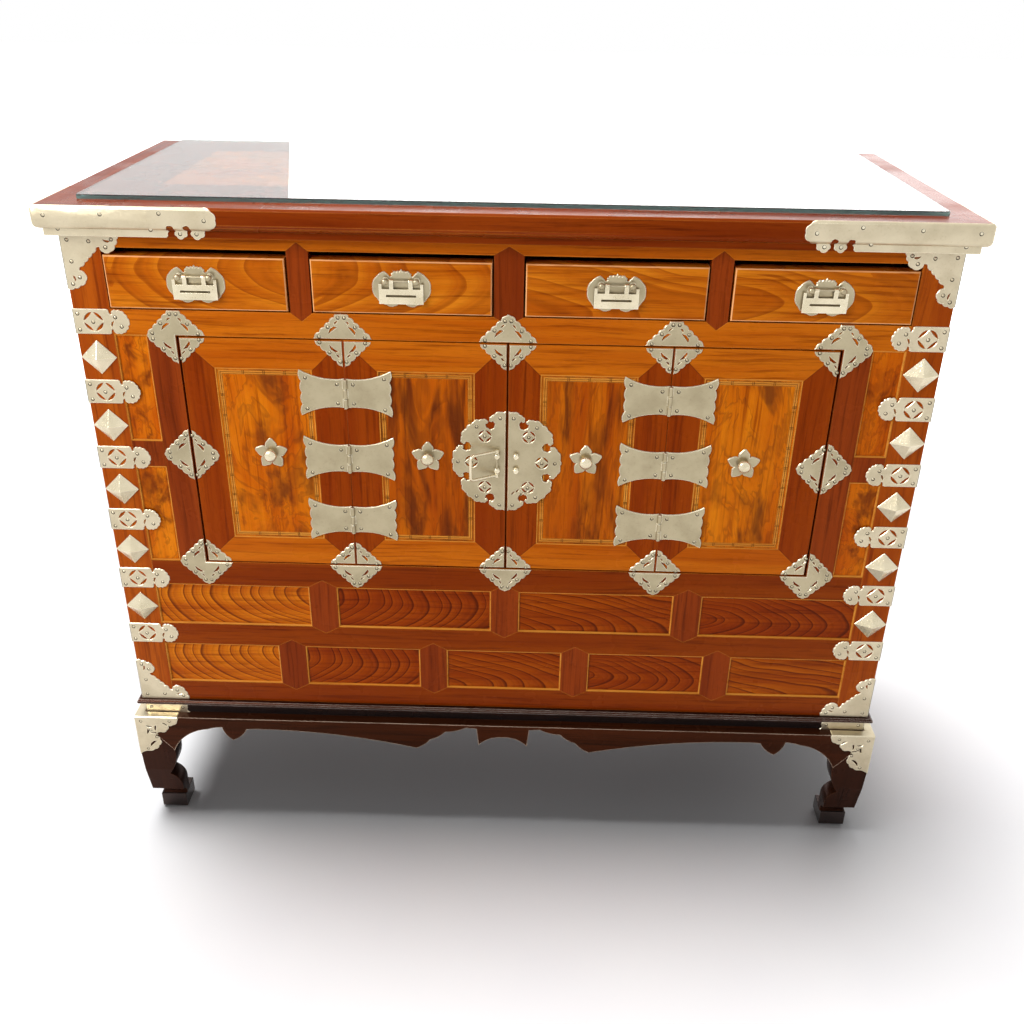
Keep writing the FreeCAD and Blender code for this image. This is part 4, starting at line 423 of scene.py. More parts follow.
def shifted(lay: Lay, u: float, v: float, w: float = 0.0) -> Lay:
    """Give a lay that starts at another place of the given one."""
    return lambda a, b, c: lay(u + a, v + b, w + c)


def on_side(lay: Lay, side: Side) -> Lay:
    """Give a left side's lay as it is, or its mirror image for the right."""
    turn = Matrix.Scale(side.value * -1, 3, Vector((1, 0, 0)))
    return lambda u, v, w: turn @ lay(u, v, w)


def rectangle(low: Sequence[float], high: Sequence[float], inset: float) -> list[Point]:
    """Give the corners of a rectangle, moved in by an inset."""
    left, foot, right, head = low[0] + inset, low[1] + inset, high[0] - inset, high[1] - inset
    return [(left, foot), (right, foot), (right, head), (left, head)]


def ring_at(shape: Shape, points: Iterable[Point], height: float) -> list[bmesh.types.BMVert]:
    """Add the corners of an outline to a shape at a height."""
    return [shape.verts.new((*point, height)) for point in points]


def join_rings(shape: Shape, rings: Sequence[Sequence[bmesh.types.BMVert]]) -> None:
    """Add walls from each ring of corners to the next.

    Args:
        shape: Shape that takes the walls.
        rings: Closed rings of equally many corners, or of one corner for a tip.
    """
    for lower, upper in zip(rings, rings[1:]):
        count = max(len(lower), len(upper))
        for index in range(count):
            beside = (index + 1) % count
            corners = [lower[index % len(lower)], lower[beside % len(lower)],
                       upper[beside % len(upper)], upper[index % len(upper)]]
            corners = list(dict.fromkeys(corners))
            if len(corners) > 2:
                shape.faces.new(corners)


def signed_area(ring: Sequence[Point]) -> float:
    """Give the area of an outline, below zero where it runs clockwise."""
    return sum(a[0] * b[1] - b[0] * a[1] for a, b in zip(ring[-1:] + ring[:-1], ring)) / 2


def moved_in(ring: Sequence[Point], distance: float) -> list[Point]:
    """Move a closed outline to its left.

    Args:
        ring: The outline.
        distance: How far each of its sides moves.

    Returns:
        The moved outline, point by point.
    """
    moved = []
    for index, here in enumerate(ring):
        before = Vector(here) - Vector(ring[index - 1])
        after = Vector(ring[(index + 1) % len(ring)]) - Vector(here)
        first = Vector((-before.y, before.x)).normalized()
        second = Vector((-after.y, after.x)).normalized()
        shift = (first + second) * (distance / max(1 + first.dot(second), 0.5))
        moved.append((here[0] + shift.x, here[1] + shift.y))
    return moved


def holds(ring: Sequence[Point], place: Vector) -> bool:
    """Tell whether a place lies inside a closed outline.

    Args:
        ring: The outline.
        place: The place.

    Returns:
        Whether it lies inside.
    """
    inside = False
    for a, b in zip(ring[-1:] + ring[:-1], ring):
        if (a[1] > place.y) != (b[1] > place.y):
            if place.x < a[0] + (place.y - a[1]) / (b[1] - a[1]) * (b[0] - a[0]):
                inside = not inside
    return inside


def add_filled(shape: Shape, rings: Sequence[Sequence[Point]], height: float) -> None:
    """Fill an outline with openings at a height.

    Args:
        shape: Shape that takes the faces.
        rings: The outer outline and those of the openings.
        height: Third coordinate of the faces.
    """
    places: list[Vector] = []
    edges: list[tuple[int, int]] = []
    for ring in rings:
        first = len(places)
        places.extend(Vector(point) for point in ring)
        edges.extend((first + step, first + (step + 1) % len(ring)) for step in range(len(ring)))
    found, _, faces, *_ = delaunay_2d_cdt(places, edges, [], 1, 0.0001)
    corners = ring_at(shape, found, height)
    for face in faces:
        middle = sum((found[index] for index in face), Vector((0, 0))) / len(face)
        if holds(rings[0], middle) and not any(holds(ring, middle) for ring in rings[1:]):
            shape.faces.new([corners[index] for index in face])


def flat_shape(rings: Sequence[Sequence[Point]], thickness: float, rim: float) -> Shape:
    """Fill outlines into a thin solid that stands on zero.

    Args:
        rings: The outer outline and those of the openings.
        thickness: Thickness of the solid.
        rim: How far its upper edges are cut back.

    Returns:
        The shape, in the outlines' units.
    """
    ordered = []
    for number, ring in enumerate(map(spaced, rings)):
        wanted = 1 if number == 0 else -1
        ordered.append(ring if signed_area(ring) * wanted > 0 else ring[::-1])
    upper = [moved_in(ring, rim) for ring in ordered]
    shape = bmesh.new()
    add_filled(shape, ordered, 0.0)
    add_filled(shape, upper, thickness)
    for lower_ring, upper_ring in zip(ordered, upper):
        levels = ((lower_ring, 0.0), (lower_ring, thickness - rim), (upper_ring, thickness))
        join_rings(shape, [ring_at(shape, ring, height) for ring, height in levels])
    bmesh.ops.remove_doubles(shape, verts=shape.verts, dist=MERGE)
    return shape


class Workpiece:
    """Gathers the shapes of one piece and hands them over as one object."""

    def __init__(self, name: str) -> None:
        """Start an empty piece of a given name."""
        self.name = name
        self.mesh = bmesh.new()

    def take(self, shape: Shape, lay: Lay, tone: int = 0) -> None:
        """Add a shape in millimetres, laid out in the chest's frame, and free it.

        Args:
            shape: Shape whose coordinates are u, v and w.
            lay: Lay that places it in the chest.
            tone: Which of the piece's materials the shape gets.
        """
        bmesh.ops.remove_doubles(shape, verts=shape.verts, dist=MERGE)
        for vertex in shape.verts:
            vertex.co = lay(*vertex.co)
        bmesh.ops.recalc_face_normals(shape, faces=shape.faces)
        for face in shape.faces:
            face.material_index = tone
        moved = bpy.data.meshes.new("moved")
        shape.to_mesh(moved)
        shape.free()
        self.mesh.from_mesh(moved)
        bpy.data.meshes.remove(moved)

    def plate(
        self, pattern: Pattern, lay: Lay, thickness: float = PLACES.plate, rim: float = 0.75,
        rise: float = 1.0,
    ) -> None:
        """Add a pierced plate with a softened rim, and the heads of its nails.

        Args:
            pattern: Shape of the plate.
            lay: Lay that places it in the chest.
            thickness: Thickness of the plate.
            rim: How far the rim is rounded.
            rise: Height of the nail heads against that of a full one.
        """
        self.take(flat_shape([pattern.outline, *pattern.openings], thickness, rim), lay)
        for u, v in pattern.nails:
            self.nail(shifted(lay, u, v, thickness), rise)

    def nail(self, lay: Lay, rise: float = 1.0) -> None:
        """Add a small domed nail head and a dark disc of painted shadow in its lee.

        Args:
            lay: Lay that starts at the foot of the head.
            rise: Height of the head against that of a full one.
        """
        head = ((1.6, -0.2 * rise), (1.6, 0.3 * rise), (1.2, 0.8 * rise), (0.0, 1.1 * rise))
        self.turned(head, lay, 12)
        # A thin dark disc, set a little low under the head, is the nail's painted shadow.
        self.turned(((2.4, -0.2), (2.4, 0.05)), shifted(lay, -0.2, -0.35), 12, 1)

    def turned(
        self, profile: Iterable[Point], lay: Lay, segments: int = 20, tone: int = 0
    ) -> None:
        """Add a turned shape round the third axis of a lay.

        Args:
            profile: Radius and height of each ring from the foot up; a radius of zero closes.
            lay: Lay that places it in the chest.
            segments: How many flats go round.
            tone: Which of the piece's materials the shape gets.
        """
        shape = bmesh.new()
        angles = [FULL_TURN * index / segments for index in range(segments)]
        rings = []
        for radius, height in profile:
            ring = [(radius * math.cos(angle), radius * math.sin(angle)) for angle in angles]
            rings.append(ring_at(shape, ring if radius else ring[:1], height))
        join_rings(shape, rings)
        for ring in (rings[0], rings[-1]):
            if len(ring) > 1:
                shape.faces.new(ring)
        self.take(shape, lay, tone)

    def tube(self, route: Sequence[Sequence[float]], radius: float, lay: Lay) -> None:
        """Add a round rod along a route.

        Args:
            route: Places in u, v and w.
            radius: Radius of the rod.
            lay: Lay that places it in the chest.
        """
        curve = bpy.data.curves.new("rod", "CURVE")
        curve.dimensions = "3D"
        curve.bevel_depth = radius
        curve.bevel_resolution = 3
        curve.use_fill_caps = True
        spline = curve.splines.new("POLY")
        spline.points.add(len(route) - 1)
        for place, point in zip(route, spline.points):
            point.co = (*place, 1.0)
        maker = bpy.data.objects.new("maker", curve)
        mesh = bpy.data.meshes.new_from_object(maker)
        shape = bmesh.new()
        shape.from_mesh(mesh)
        bpy.data.objects.remove(maker)
        bpy.data.curves.remove(curve)
        bpy.data.meshes.remove(mesh)
        self.take(shape, lay)

    def block(self, low: Sequence[float], high: Sequence[float], lay: Lay, ease: float) -> None:
        """Add a strip with eased front edges.

        Args:
            low: Lowest u, v and w.
            high: Highest u, v and w.
            lay: Lay that places it in the chest.
            ease: How far the front edges are cut back.
        """
        shape = bmesh.new()
        levels = ((0.0, low[2]), (0.0, high[2] - ease), (ease, high[2]))
        rings = [ring_at(shape, rectangle(low, high, inset), w) for inset, w in levels]
        join_rings(shape, rings)
        shape.faces.new(rings[0])
        shape.faces.new(rings[-1])
        self.take(shape, lay)

    def framing(self, low: Point, high: Point, section: Sequence[Point], lay: Lay) -> None:
        """Add a mitred moulding round a rectangle.

        Args:
            low: Lowest u and v of the rectangle's outer edge.
            high: Highest u and v of it.
            section: Inset and height of each point of the moulding's section.
            lay: Lay that places it in the chest.
        """
        shape = bmesh.new()
        rings = [ring_at(shape, rectangle(low, high, inset), height) for inset, height in section]
        join_rings(shape, [*rings, rings[0]])
        self.take(shape, lay)

    def hand_over(
        self, body: str, materials: Sequence[bpy.types.Material],
        replaced: Sequence[str] = (),
    ) -> None:
        """Make the object, dress it and fix it to its body.

        Args:
            body: Body that the piece rides on.
            materials: Finish of each of the piece's tones.
            replaced: Nodes that the piece stands for.
        """
        mesh = bpy.data.meshes.new(self.name)
        self.mesh.to_mesh(mesh)
        self.mesh.free()
        for material in materials:
            mesh.materials.append(material)
        mesh.shade_smooth()
        mesh.set_sharp_from_angle(angle=SHARP_ANGLE)
        piece = bpy.data.objects.new(self.name, mesh)
        bpy.context.scene.collection.objects.link(piece)
        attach(piece, body)
        if replaced:
            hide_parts(*replaced)
        LOG.info("%s: %d faces", self.name, len(mesh.polygons))


# Node trees


class Weave:
    """Builds a node tree call by call."""

    def __init__(self, tree: bpy.types.NodeTree) -> None:
        """Work in a given tree."""
        self.tree = tree

    def feed(self, node: bpy.types.Node, feeds: dict) -> bpy.types.Node:
        """Feed a node's inputs and give the node.

        Args:
            node: The node.
            feeds: Input name or number to a value or a socket.

        Returns:
            The node.
        """
        for name, value in feeds.items():
            if isinstance(value, Socket):
                self.tree.links.new(value, node.inputs[name])
            else:
                node.inputs[name].default_value = value
        return node

    def add(self, kind: str, feeds: dict | None = None, **settings: object) -> bpy.types.Node:
        """Add a node, set it up and feed its inputs.

        Args:
            kind: Type of the node, without its prefix.
            feeds: Input name or number to a value or a socket.
            settings: Properties of the node.

        Returns:
            The node.
        """
        node = self.tree.nodes.new("ShaderNode" + kind)
        for name, value in settings.items():
            setattr(node, name, value)
        return self.feed(node, feeds or {})

    def effect(self, effect: Effect, **feeds: object) -> bpy.types.NodeOutputs:
        """Place a shared effect with its own values and give its outputs."""
        return self.feed(self.add("Group", node_tree=effect.group()), feeds).outputs

    def sum(self, operation: str, *values: object) -> Socket:
        """Add a node for a sum of numbers and give its result."""
        return self.add("Math", dict(enumerate(values)), operation=operation).outputs[0]

    def times(self, first: object, second: object) -> Socket:
        """Multiply two numbers and give the result."""
        return self.sum("MULTIPLY", first, second)

    def vector(self, operation: str, *values: object) -> Socket:
        """Add a node for a sum of vectors and give its result."""
        node = self.add("VectorMath", dict(enumerate(values)), operation=operation)
        return node.outputs[1 if operation in ("LENGTH", "DOT_PRODUCT") else 0]

    def parts(self, vector: object) -> bpy.types.NodeOutputs:
        """Give the three parts of a vector."""
        return self.add("SeparateXYZ", {0: vector}).outputs

    def mix(self, share: object, first: object, second: object, way: str = "MIX") -> Socket:
        """Mix two colours, or blend them another way, and give the result."""
        feeds = {0: share, 6: first, 7: second}
        return self.add("Mix", feeds, data_type="RGBA", blend_type=way).outputs[2]

    def tint(self, share: object, first: object, second: object) -> Socket:
        """Multiply a colour by another and give the result."""
        return self.mix(share, first, second, "MULTIPLY")

    def span(
        self, value: object, low: float, high: float, to_low: float = 0.0, to_high: float = 1.0,
        soft: bool = True,
    ) -> Socket:
        """Map a range of a value to another range.

        Args:
            value: Value or socket.
            low: Start of its range.
            high: End of its range.
            to_low: What the start becomes.
            to_high: What the end becomes.
            soft: Whether the ends are eased.

        Returns:
            The mapped value.
        """
        feeds = {0: value, 1: low, 2: high, 3: to_low, 4: to_high}
        way = "SMOOTHSTEP" if soft else "LINEAR"
        return self.add("MapRange", feeds, interpolation_type=way).outputs[0]

    def noise(
        self, vector: object, scale: float, detail: float = 3.0, rough: float = 0.55,
        warp: float = 0.0,
    ) -> bpy.types.NodeOutputs:
        """Add a noise texture.

        Args:
            vector: Place that it is read at.
            scale: How many patches a metre holds.
            detail: How many finer layers it has.
            rough: How much each finer layer counts.
            warp: How far it is distorted.

        Returns:
            Its outputs, the value first.
        """
        feeds = {"Vector": vector, "Scale": scale, "Detail": detail, "Roughness": rough,
                 "Distortion": warp}
        return self.add("TexNoise", feeds).outputs

    def stretched(self, vector: object, factors: Sequence[float]) -> Socket:
        """Scale a vector along each axis."""
        return self.vector("MULTIPLY", vector, tuple(factors))

    def turned_to(self, vector: object, way: GrainWay) -> Socket:
        """Reorder a vector so that its first axis runs along the grain."""
        parts = self.parts(vector)
        return self.joined([parts["XYZ".index(axis)] for axis in way.value])

    def joined(self, parts: Iterable[object]) -> Socket:
        """Give the vector that three parts make up."""
        return self.add("CombineXYZ", dict(enumerate(parts))).outputs[0]


SOCKETS = {"value": "NodeSocketFloat", "vector": "NodeSocketVector", "colour": "NodeSocketColor"}


class Effect:
    """A shared node group with named inputs and outputs, built once."""

    name = ""
    inputs: tuple[tuple[str, str], ...] = ()
    outputs: tuple[tuple[str, str], ...] = ()

    def group(self) -> bpy.types.NodeTree:
        """Give the effect's node group, made on the first call.

        Returns:
            The node group.
        """
        known = bpy.data.node_groups.get(self.name)
        if known:
            return known
        tree = bpy.data.node_groups.new(self.name, "ShaderNodeTree")
        for flow, sockets in (("INPUT", self.inputs), ("OUTPUT", self.outputs)):
            for socket_name, kind in sockets:
                tree.interface.new_socket(socket_name, in_out=flow, socket_type=SOCKETS[kind])
        entry = tree.nodes.new("NodeGroupInput")
        leave = tree.nodes.new("NodeGroupOutput")
        results = self.weave(Weave(tree), entry.outputs)
        for socket_name, socket in results.items():
            tree.links.new(socket, leave.inputs[socket_name])
        return tree

    def weave(self, weave: Weave, feeds: Feeds) -> Results:
        """Build the inside of the group from its inputs and give what feeds its outputs."""
        raise NotImplementedError


class LongGrain(Effect):
    """Fibres and soft bands that run along a board."""

    name = "long_grain"
    inputs = (
        ("Vector", "vector"), ("Light", "colour"), ("Middle", "colour"), ("Dark", "colour"),
    )
    outputs = (("Color", "colour"), ("Fibre", "value"), ("Height", "value"))

    def weave(self, weave: Weave, feeds: Feeds) -> Results:
        """Mix three tones by bands, streaks and pores.

        Args:
            weave: Builder of the group's tree.
            feeds: The group's inputs.

        Returns:
            Output name to the socket that feeds it.
        """
        place = feeds["Vector"]
        drift = weave.noise(weave.stretched(place, (3, 9, 9)), 1, 2)["Color"]
        pushed = weave.vector("ADD", place, weave.stretched(drift, (0.0, 0.018, 0.018)))
        bands = weave.noise(weave.stretched(pushed, (1.6, 34, 34)), 1, 3, 0.6)[0]
        streaks = weave.noise(weave.stretched(pushed, (7, 240, 240)), 1, 4, 0.62)[0]
        pores = weave.noise(weave.stretched(place, (60, 1900, 1900)), 1, 1)[0]
        base = weave.mix(weave.span(bands, 0.34, 0.66), feeds["Light"], feeds["Middle"])
        base = weave.mix(weave.span(streaks, 0.48, 0.74, 0, 0.75), base, feeds["Dark"])
        specks = weave.span(pores, 0.58, 0.72, 0, 0.35)
        fibre = weave.sum("ADD", streaks, specks)
        colour = weave.mix(specks, base, feeds["Dark"])
        return {"Color": colour, "Fibre": fibre, "Height": weave.times(fibre, -0.5)}


class RingFigure(Effect):
    """Growth rings of a log, where a flat board cuts through them at a slant."""

    name = "ring_figure"
    inputs = (
        ("Vector", "vector"), ("Seed", "colour"), ("Spacing", "value"), ("Slant", "value"),
    )
    outputs = (("Line", "value"), ("Glow", "value"))

    def weave(self, weave: Weave, feeds: Feeds) -> Results:
        """Measure the way to the log's heart and darken each ring's late wood.

        Args:
            weave: Builder of the group's tree.
            feeds: The group's inputs.

        Returns:
            Output name to the socket that feeds it.
        """
        seed = weave.parts(feeds["Seed"])
        along, level, _ = weave.parts(feeds["Vector"])
        place = weave.stretched(feeds["Vector"], (5, 13, 13))
        wobble = weave.noise(weave.vector("ADD", place, feeds["Seed"]), 1, 2, 0.45)[0]
        across = weave.sum("SUBTRACT", level, weave.span(seed[0], 0, 1, -0.042, 0.042))
        way = weave.sum("SUBTRACT", weave.sum("GREATER_THAN", seed[1], 0.5), 0.5)
        steep = weave.sum("MULTIPLY_ADD", seed[0], 1.1, 0.5)
        tilt = weave.times(weave.times(weave.times(way, steep), feeds["Slant"]), 2)
        run = weave.times(along, tilt)
        depth = weave.sum("ADD", run, weave.span(seed[2], 0, 1, 0.040, 0.062))
        across = weave.sum("ADD", across, weave.span(wobble, 0.2, 0.8, -0.009, 0.009))
        squares = weave.sum("ADD", weave.sum("POWER", across, 2), weave.sum("POWER", depth, 2))
        reach = weave.sum("SQRT", squares)
        count = weave.sum("DIVIDE", reach, feeds["Spacing"])
        count = weave.sum("ADD", count, weave.times(wobble, 1.3))
        uneven = weave.add(
            "TexNoise", {"W": reach, "Scale": 75.0, "Detail": 1.0}, noise_dimensions="1D"
        ).outputs[0]
        count = weave.sum("ADD", count, weave.times(uneven, 2.2))
        phase = weave.sum("FRACT", count)
        rise = weave.span(phase, 0.72, 0.95)
        fall = weave.span(phase, 0.955, 1.0, 1, 0)
        faint = weave.span(weave.sum("FRACT", weave.times(count, 3)), 0.5, 1.0, 0, 0.22)
        line = weave.sum("MAXIMUM", weave.times(rise, fall), faint)
        return {"Line": line, "Glow": weave.span(phase, 0.0, 0.7)}


class CloudFigure(Effect):
    """Smoky clouds and flowing contour lines of burl."""

    name = "cloud_figure"
    inputs = (("Vector", "vector"), ("Seed", "colour"), ("Stretch", "vector"))
    outputs = (("Cloud", "value"), ("Line", "value"), ("Glow", "value"))

    def weave(self, weave: Weave, feeds: Feeds) -> Results:
        """Warp a slow noise and draw its contours.

        Args:
            weave: Builder of the group's tree.
            feeds: The group's inputs.

        Returns:
            Output name to the socket that feeds it.
        """
        shift = weave.stretched(feeds["Seed"], (9, 9, 9))
        place = weave.vector("MULTIPLY", feeds["Vector"], feeds["Stretch"])
        place = weave.vector("ADD", place, shift)
        swirl = weave.noise(place, 1, 4, 0.6, 0.8)["Color"]
        pushed = weave.vector("ADD", place, weave.stretched(swirl, (1.3, 1.3, 1.3)))
        level = weave.noise(pushed, 0.9, 3, 0.5, 0.5)[0]
        phase = weave.sum("FRACT", weave.times(level, 9))
        line = weave.times(weave.span(phase, 0.55, 0.86), weave.span(phase, 0.90, 1.0, 1, 0))
        patches = weave.noise(pushed, 0.62, 2, 0.5)[0]
        band = weave.sum("ABSOLUTE", weave.sum("SUBTRACT", patches, 0.52))
        cloud = weave.span(band, 0.0, 0.075, 1, 0)
        gaps = weave.span(weave.noise(place, 2.2, 3)[0], 0.38, 0.62)
        cloud = weave.times(cloud, gaps)
        return {"Cloud": cloud, "Line": line, "Glow": weave.span(level, 0.3, 0.7)}


class CellSeed(Effect):
    """A random colour for each cell of a row, so that no two boards look alike."""

    name = "cell_seed"
    inputs = (("Vector", "vector"), ("Start", "vector"), ("Pitch", "vector"))
    outputs = (("Seed", "colour"),)

    def weave(self, weave: Weave, feeds: Feeds) -> Results:
        """Count cells along each axis and look up a random colour.

        Args:
            weave: Builder of the group's tree.
            feeds: The group's inputs.

        Returns:
            Output name to the socket that feeds it.
        """
        moved = weave.vector("SUBTRACT", feeds["Vector"], feeds["Start"])
        cells = weave.vector("FLOOR", weave.vector("DIVIDE", moved, feeds["Pitch"]))
        noise = weave.add("TexWhiteNoise", {"Vector": cells}, noise_dimensions="3D")
        return {"Seed": noise.outputs["Color"]}


class MitreLay(Effect):
    """Turns the grain with each member of a mitred frame and marks the mitres."""

    name = "mitre_lay"
    inputs = (("Vector", "vector"), ("Middle", "vector"), ("Half", "vector"))
    outputs = (("Vector", "vector"), ("Mitre", "value"), ("Stile", "value"))

    def weave(self, weave: Weave, feeds: Feeds) -> Results:
        """Compare how near the two pairs of edges are.

        Args:
            weave: Builder of the group's tree.
            feeds: The group's inputs.

        Returns:
            Output name to the socket that feeds it.
        """
        moved = weave.vector("SUBTRACT", feeds["Vector"], feeds["Middle"])
        left = weave.vector("SUBTRACT", feeds["Half"], weave.vector("ABSOLUTE", moved))
        near = weave.parts(left)
        stile = weave.sum("LESS_THAN", near[0], near[1])
        u, v, w = weave.parts(feeds["Vector"])
        rail, upright = weave.joined((u, v, w)), weave.joined((v, u, w))
        lay = weave.add("Mix", {0: stile, 4: rail, 5: upright}, data_type="VECTOR").outputs[1]
        apart = weave.sum("ABSOLUTE", weave.sum("SUBTRACT", near[0], near[1]))
        mitre = weave.span(apart, 0.0003, 0.0009, 1, 0)
        return {"Vector": lay, "Mitre": mitre, "Stile": stile}


class Handling(Effect):
    """Edges, for rubbed wear and painted highlights, faint scratches and dull patches of an old
    polish.
    """

    name = "handling"
    inputs = (("Vector", "vector"), ("Reach", "value"), ("Square", "value"))
    outputs = (("Edge", "value"), ("Dull", "value"), ("Height", "value"))

    def weave(self, weave: Weave, feeds: Feeds) -> Results:
        """Find edges by a rounded normal and break the mask up with noise.

        Args:
            weave: Builder of the group's tree.
            feeds: The group's inputs.

        Returns:
            Output name to the socket that feeds it.
        """
        soft = weave.add("Bevel", {"Radius": feeds["Reach"]}, samples=4).outputs[0]
        true = weave.add("NewGeometry").outputs["Normal"]
        lean = weave.vector("DOT_PRODUCT", soft, true)
        patch = weave.noise(feeds["Vector"], 31, 3)[0]
        facing = weave.vector("ABSOLUTE", weave.add("TexCoord").outputs["Normal"])
        x, y, z = weave.parts(facing)
        flat = weave.sum("MAXIMUM", weave.sum("MAXIMUM", x, y), z)
        rounded = weave.times(weave.span(flat, 0.90, 0.995, 1, 0), feeds["Square"])
        edge = weave.sum("MAXIMUM", weave.span(lean, 0.90, 0.995, 1, 0), rounded)
        edge = weave.times(edge, weave.span(patch, 0.3, 0.55, 0.6, 1))
        smear = weave.noise(feeds["Vector"], 9, 4, 0.6)[0]
        scratch = weave.noise(weave.stretched(feeds["Vector"], (40, 420, 90)), 1, 2, 0.5)[0]
        dull = weave.span(smear, 0.38, 0.68)
        return {"Edge": edge, "Dull": dull, "Height": weave.span(scratch, 0.30, 0.36, -1, 0)}


class MetalAge(Effect):
    """Tarnish, hammer marks and rubbed highlights of old pale metal."""

    name = "metal_age"
    inputs = (("Vector", "vector"),)
    outputs = (("Tarnish", "value"), ("Dull", "value"), ("Height", "value"))

    def weave(self, weave: Weave, feeds: Feeds) -> Results:
        """Layer slow patches, fine pits and shallow waves.

        Args:
            weave: Builder of the group's tree.
            feeds: The group's inputs.

        Returns:
            Output name to the socket that feeds it.
        """
        slow = weave.noise(feeds["Vector"], 30, 3, 0.55)[0]
        fine = weave.noise(feeds["Vector"], 420, 3, 0.6)[0]
        waves = weave.noise(feeds["Vector"], 70, 2, 0.5, 0.6)[0]
        pits = weave.span(fine, 0.62, 0.74, 0, -0.5)
        patches = weave.times(weave.span(slow, 0.30, 0.75), 0.55)
        tarnish = weave.sum("ADD", patches, weave.span(fine, 0.55, 0.8, 0, 0.35))
        dull = weave.span(weave.sum("ADD", slow, fine), 0.8, 1.25)
        height = weave.sum("ADD", weave.times(waves, 2.4), pits)
        return {"Tarnish": tarnish, "Dull": dull, "Height": height}


# Finishes


@dataclass(frozen=True)
class Finish:
    """What every finish has: a name, and a material made from a look."""

    name: str

    def make(self) -> bpy.types.Material:
        """Build the material round a Principled shader.

        Returns:
            The material.
        """
        material = bpy.data.materials.new(self.name)
        material.use_nodes = True
        tree = material.node_tree
        tree.nodes.clear()
        weave = Weave(tree)
        shader = weave.add("BsdfPrincipled")
        tree.links.new(shader.outputs[0], weave.add("OutputMaterial").inputs[0])
        place = weave.add("TexCoord").outputs["Object"]
        weave.feed(shader, self.look(weave, place))
        return material

    def look(self, weave: Weave, place: Socket) -> dict[str, object]:
        """Build what feeds the shader's inputs, from the place on the object."""
        raise NotImplementedError


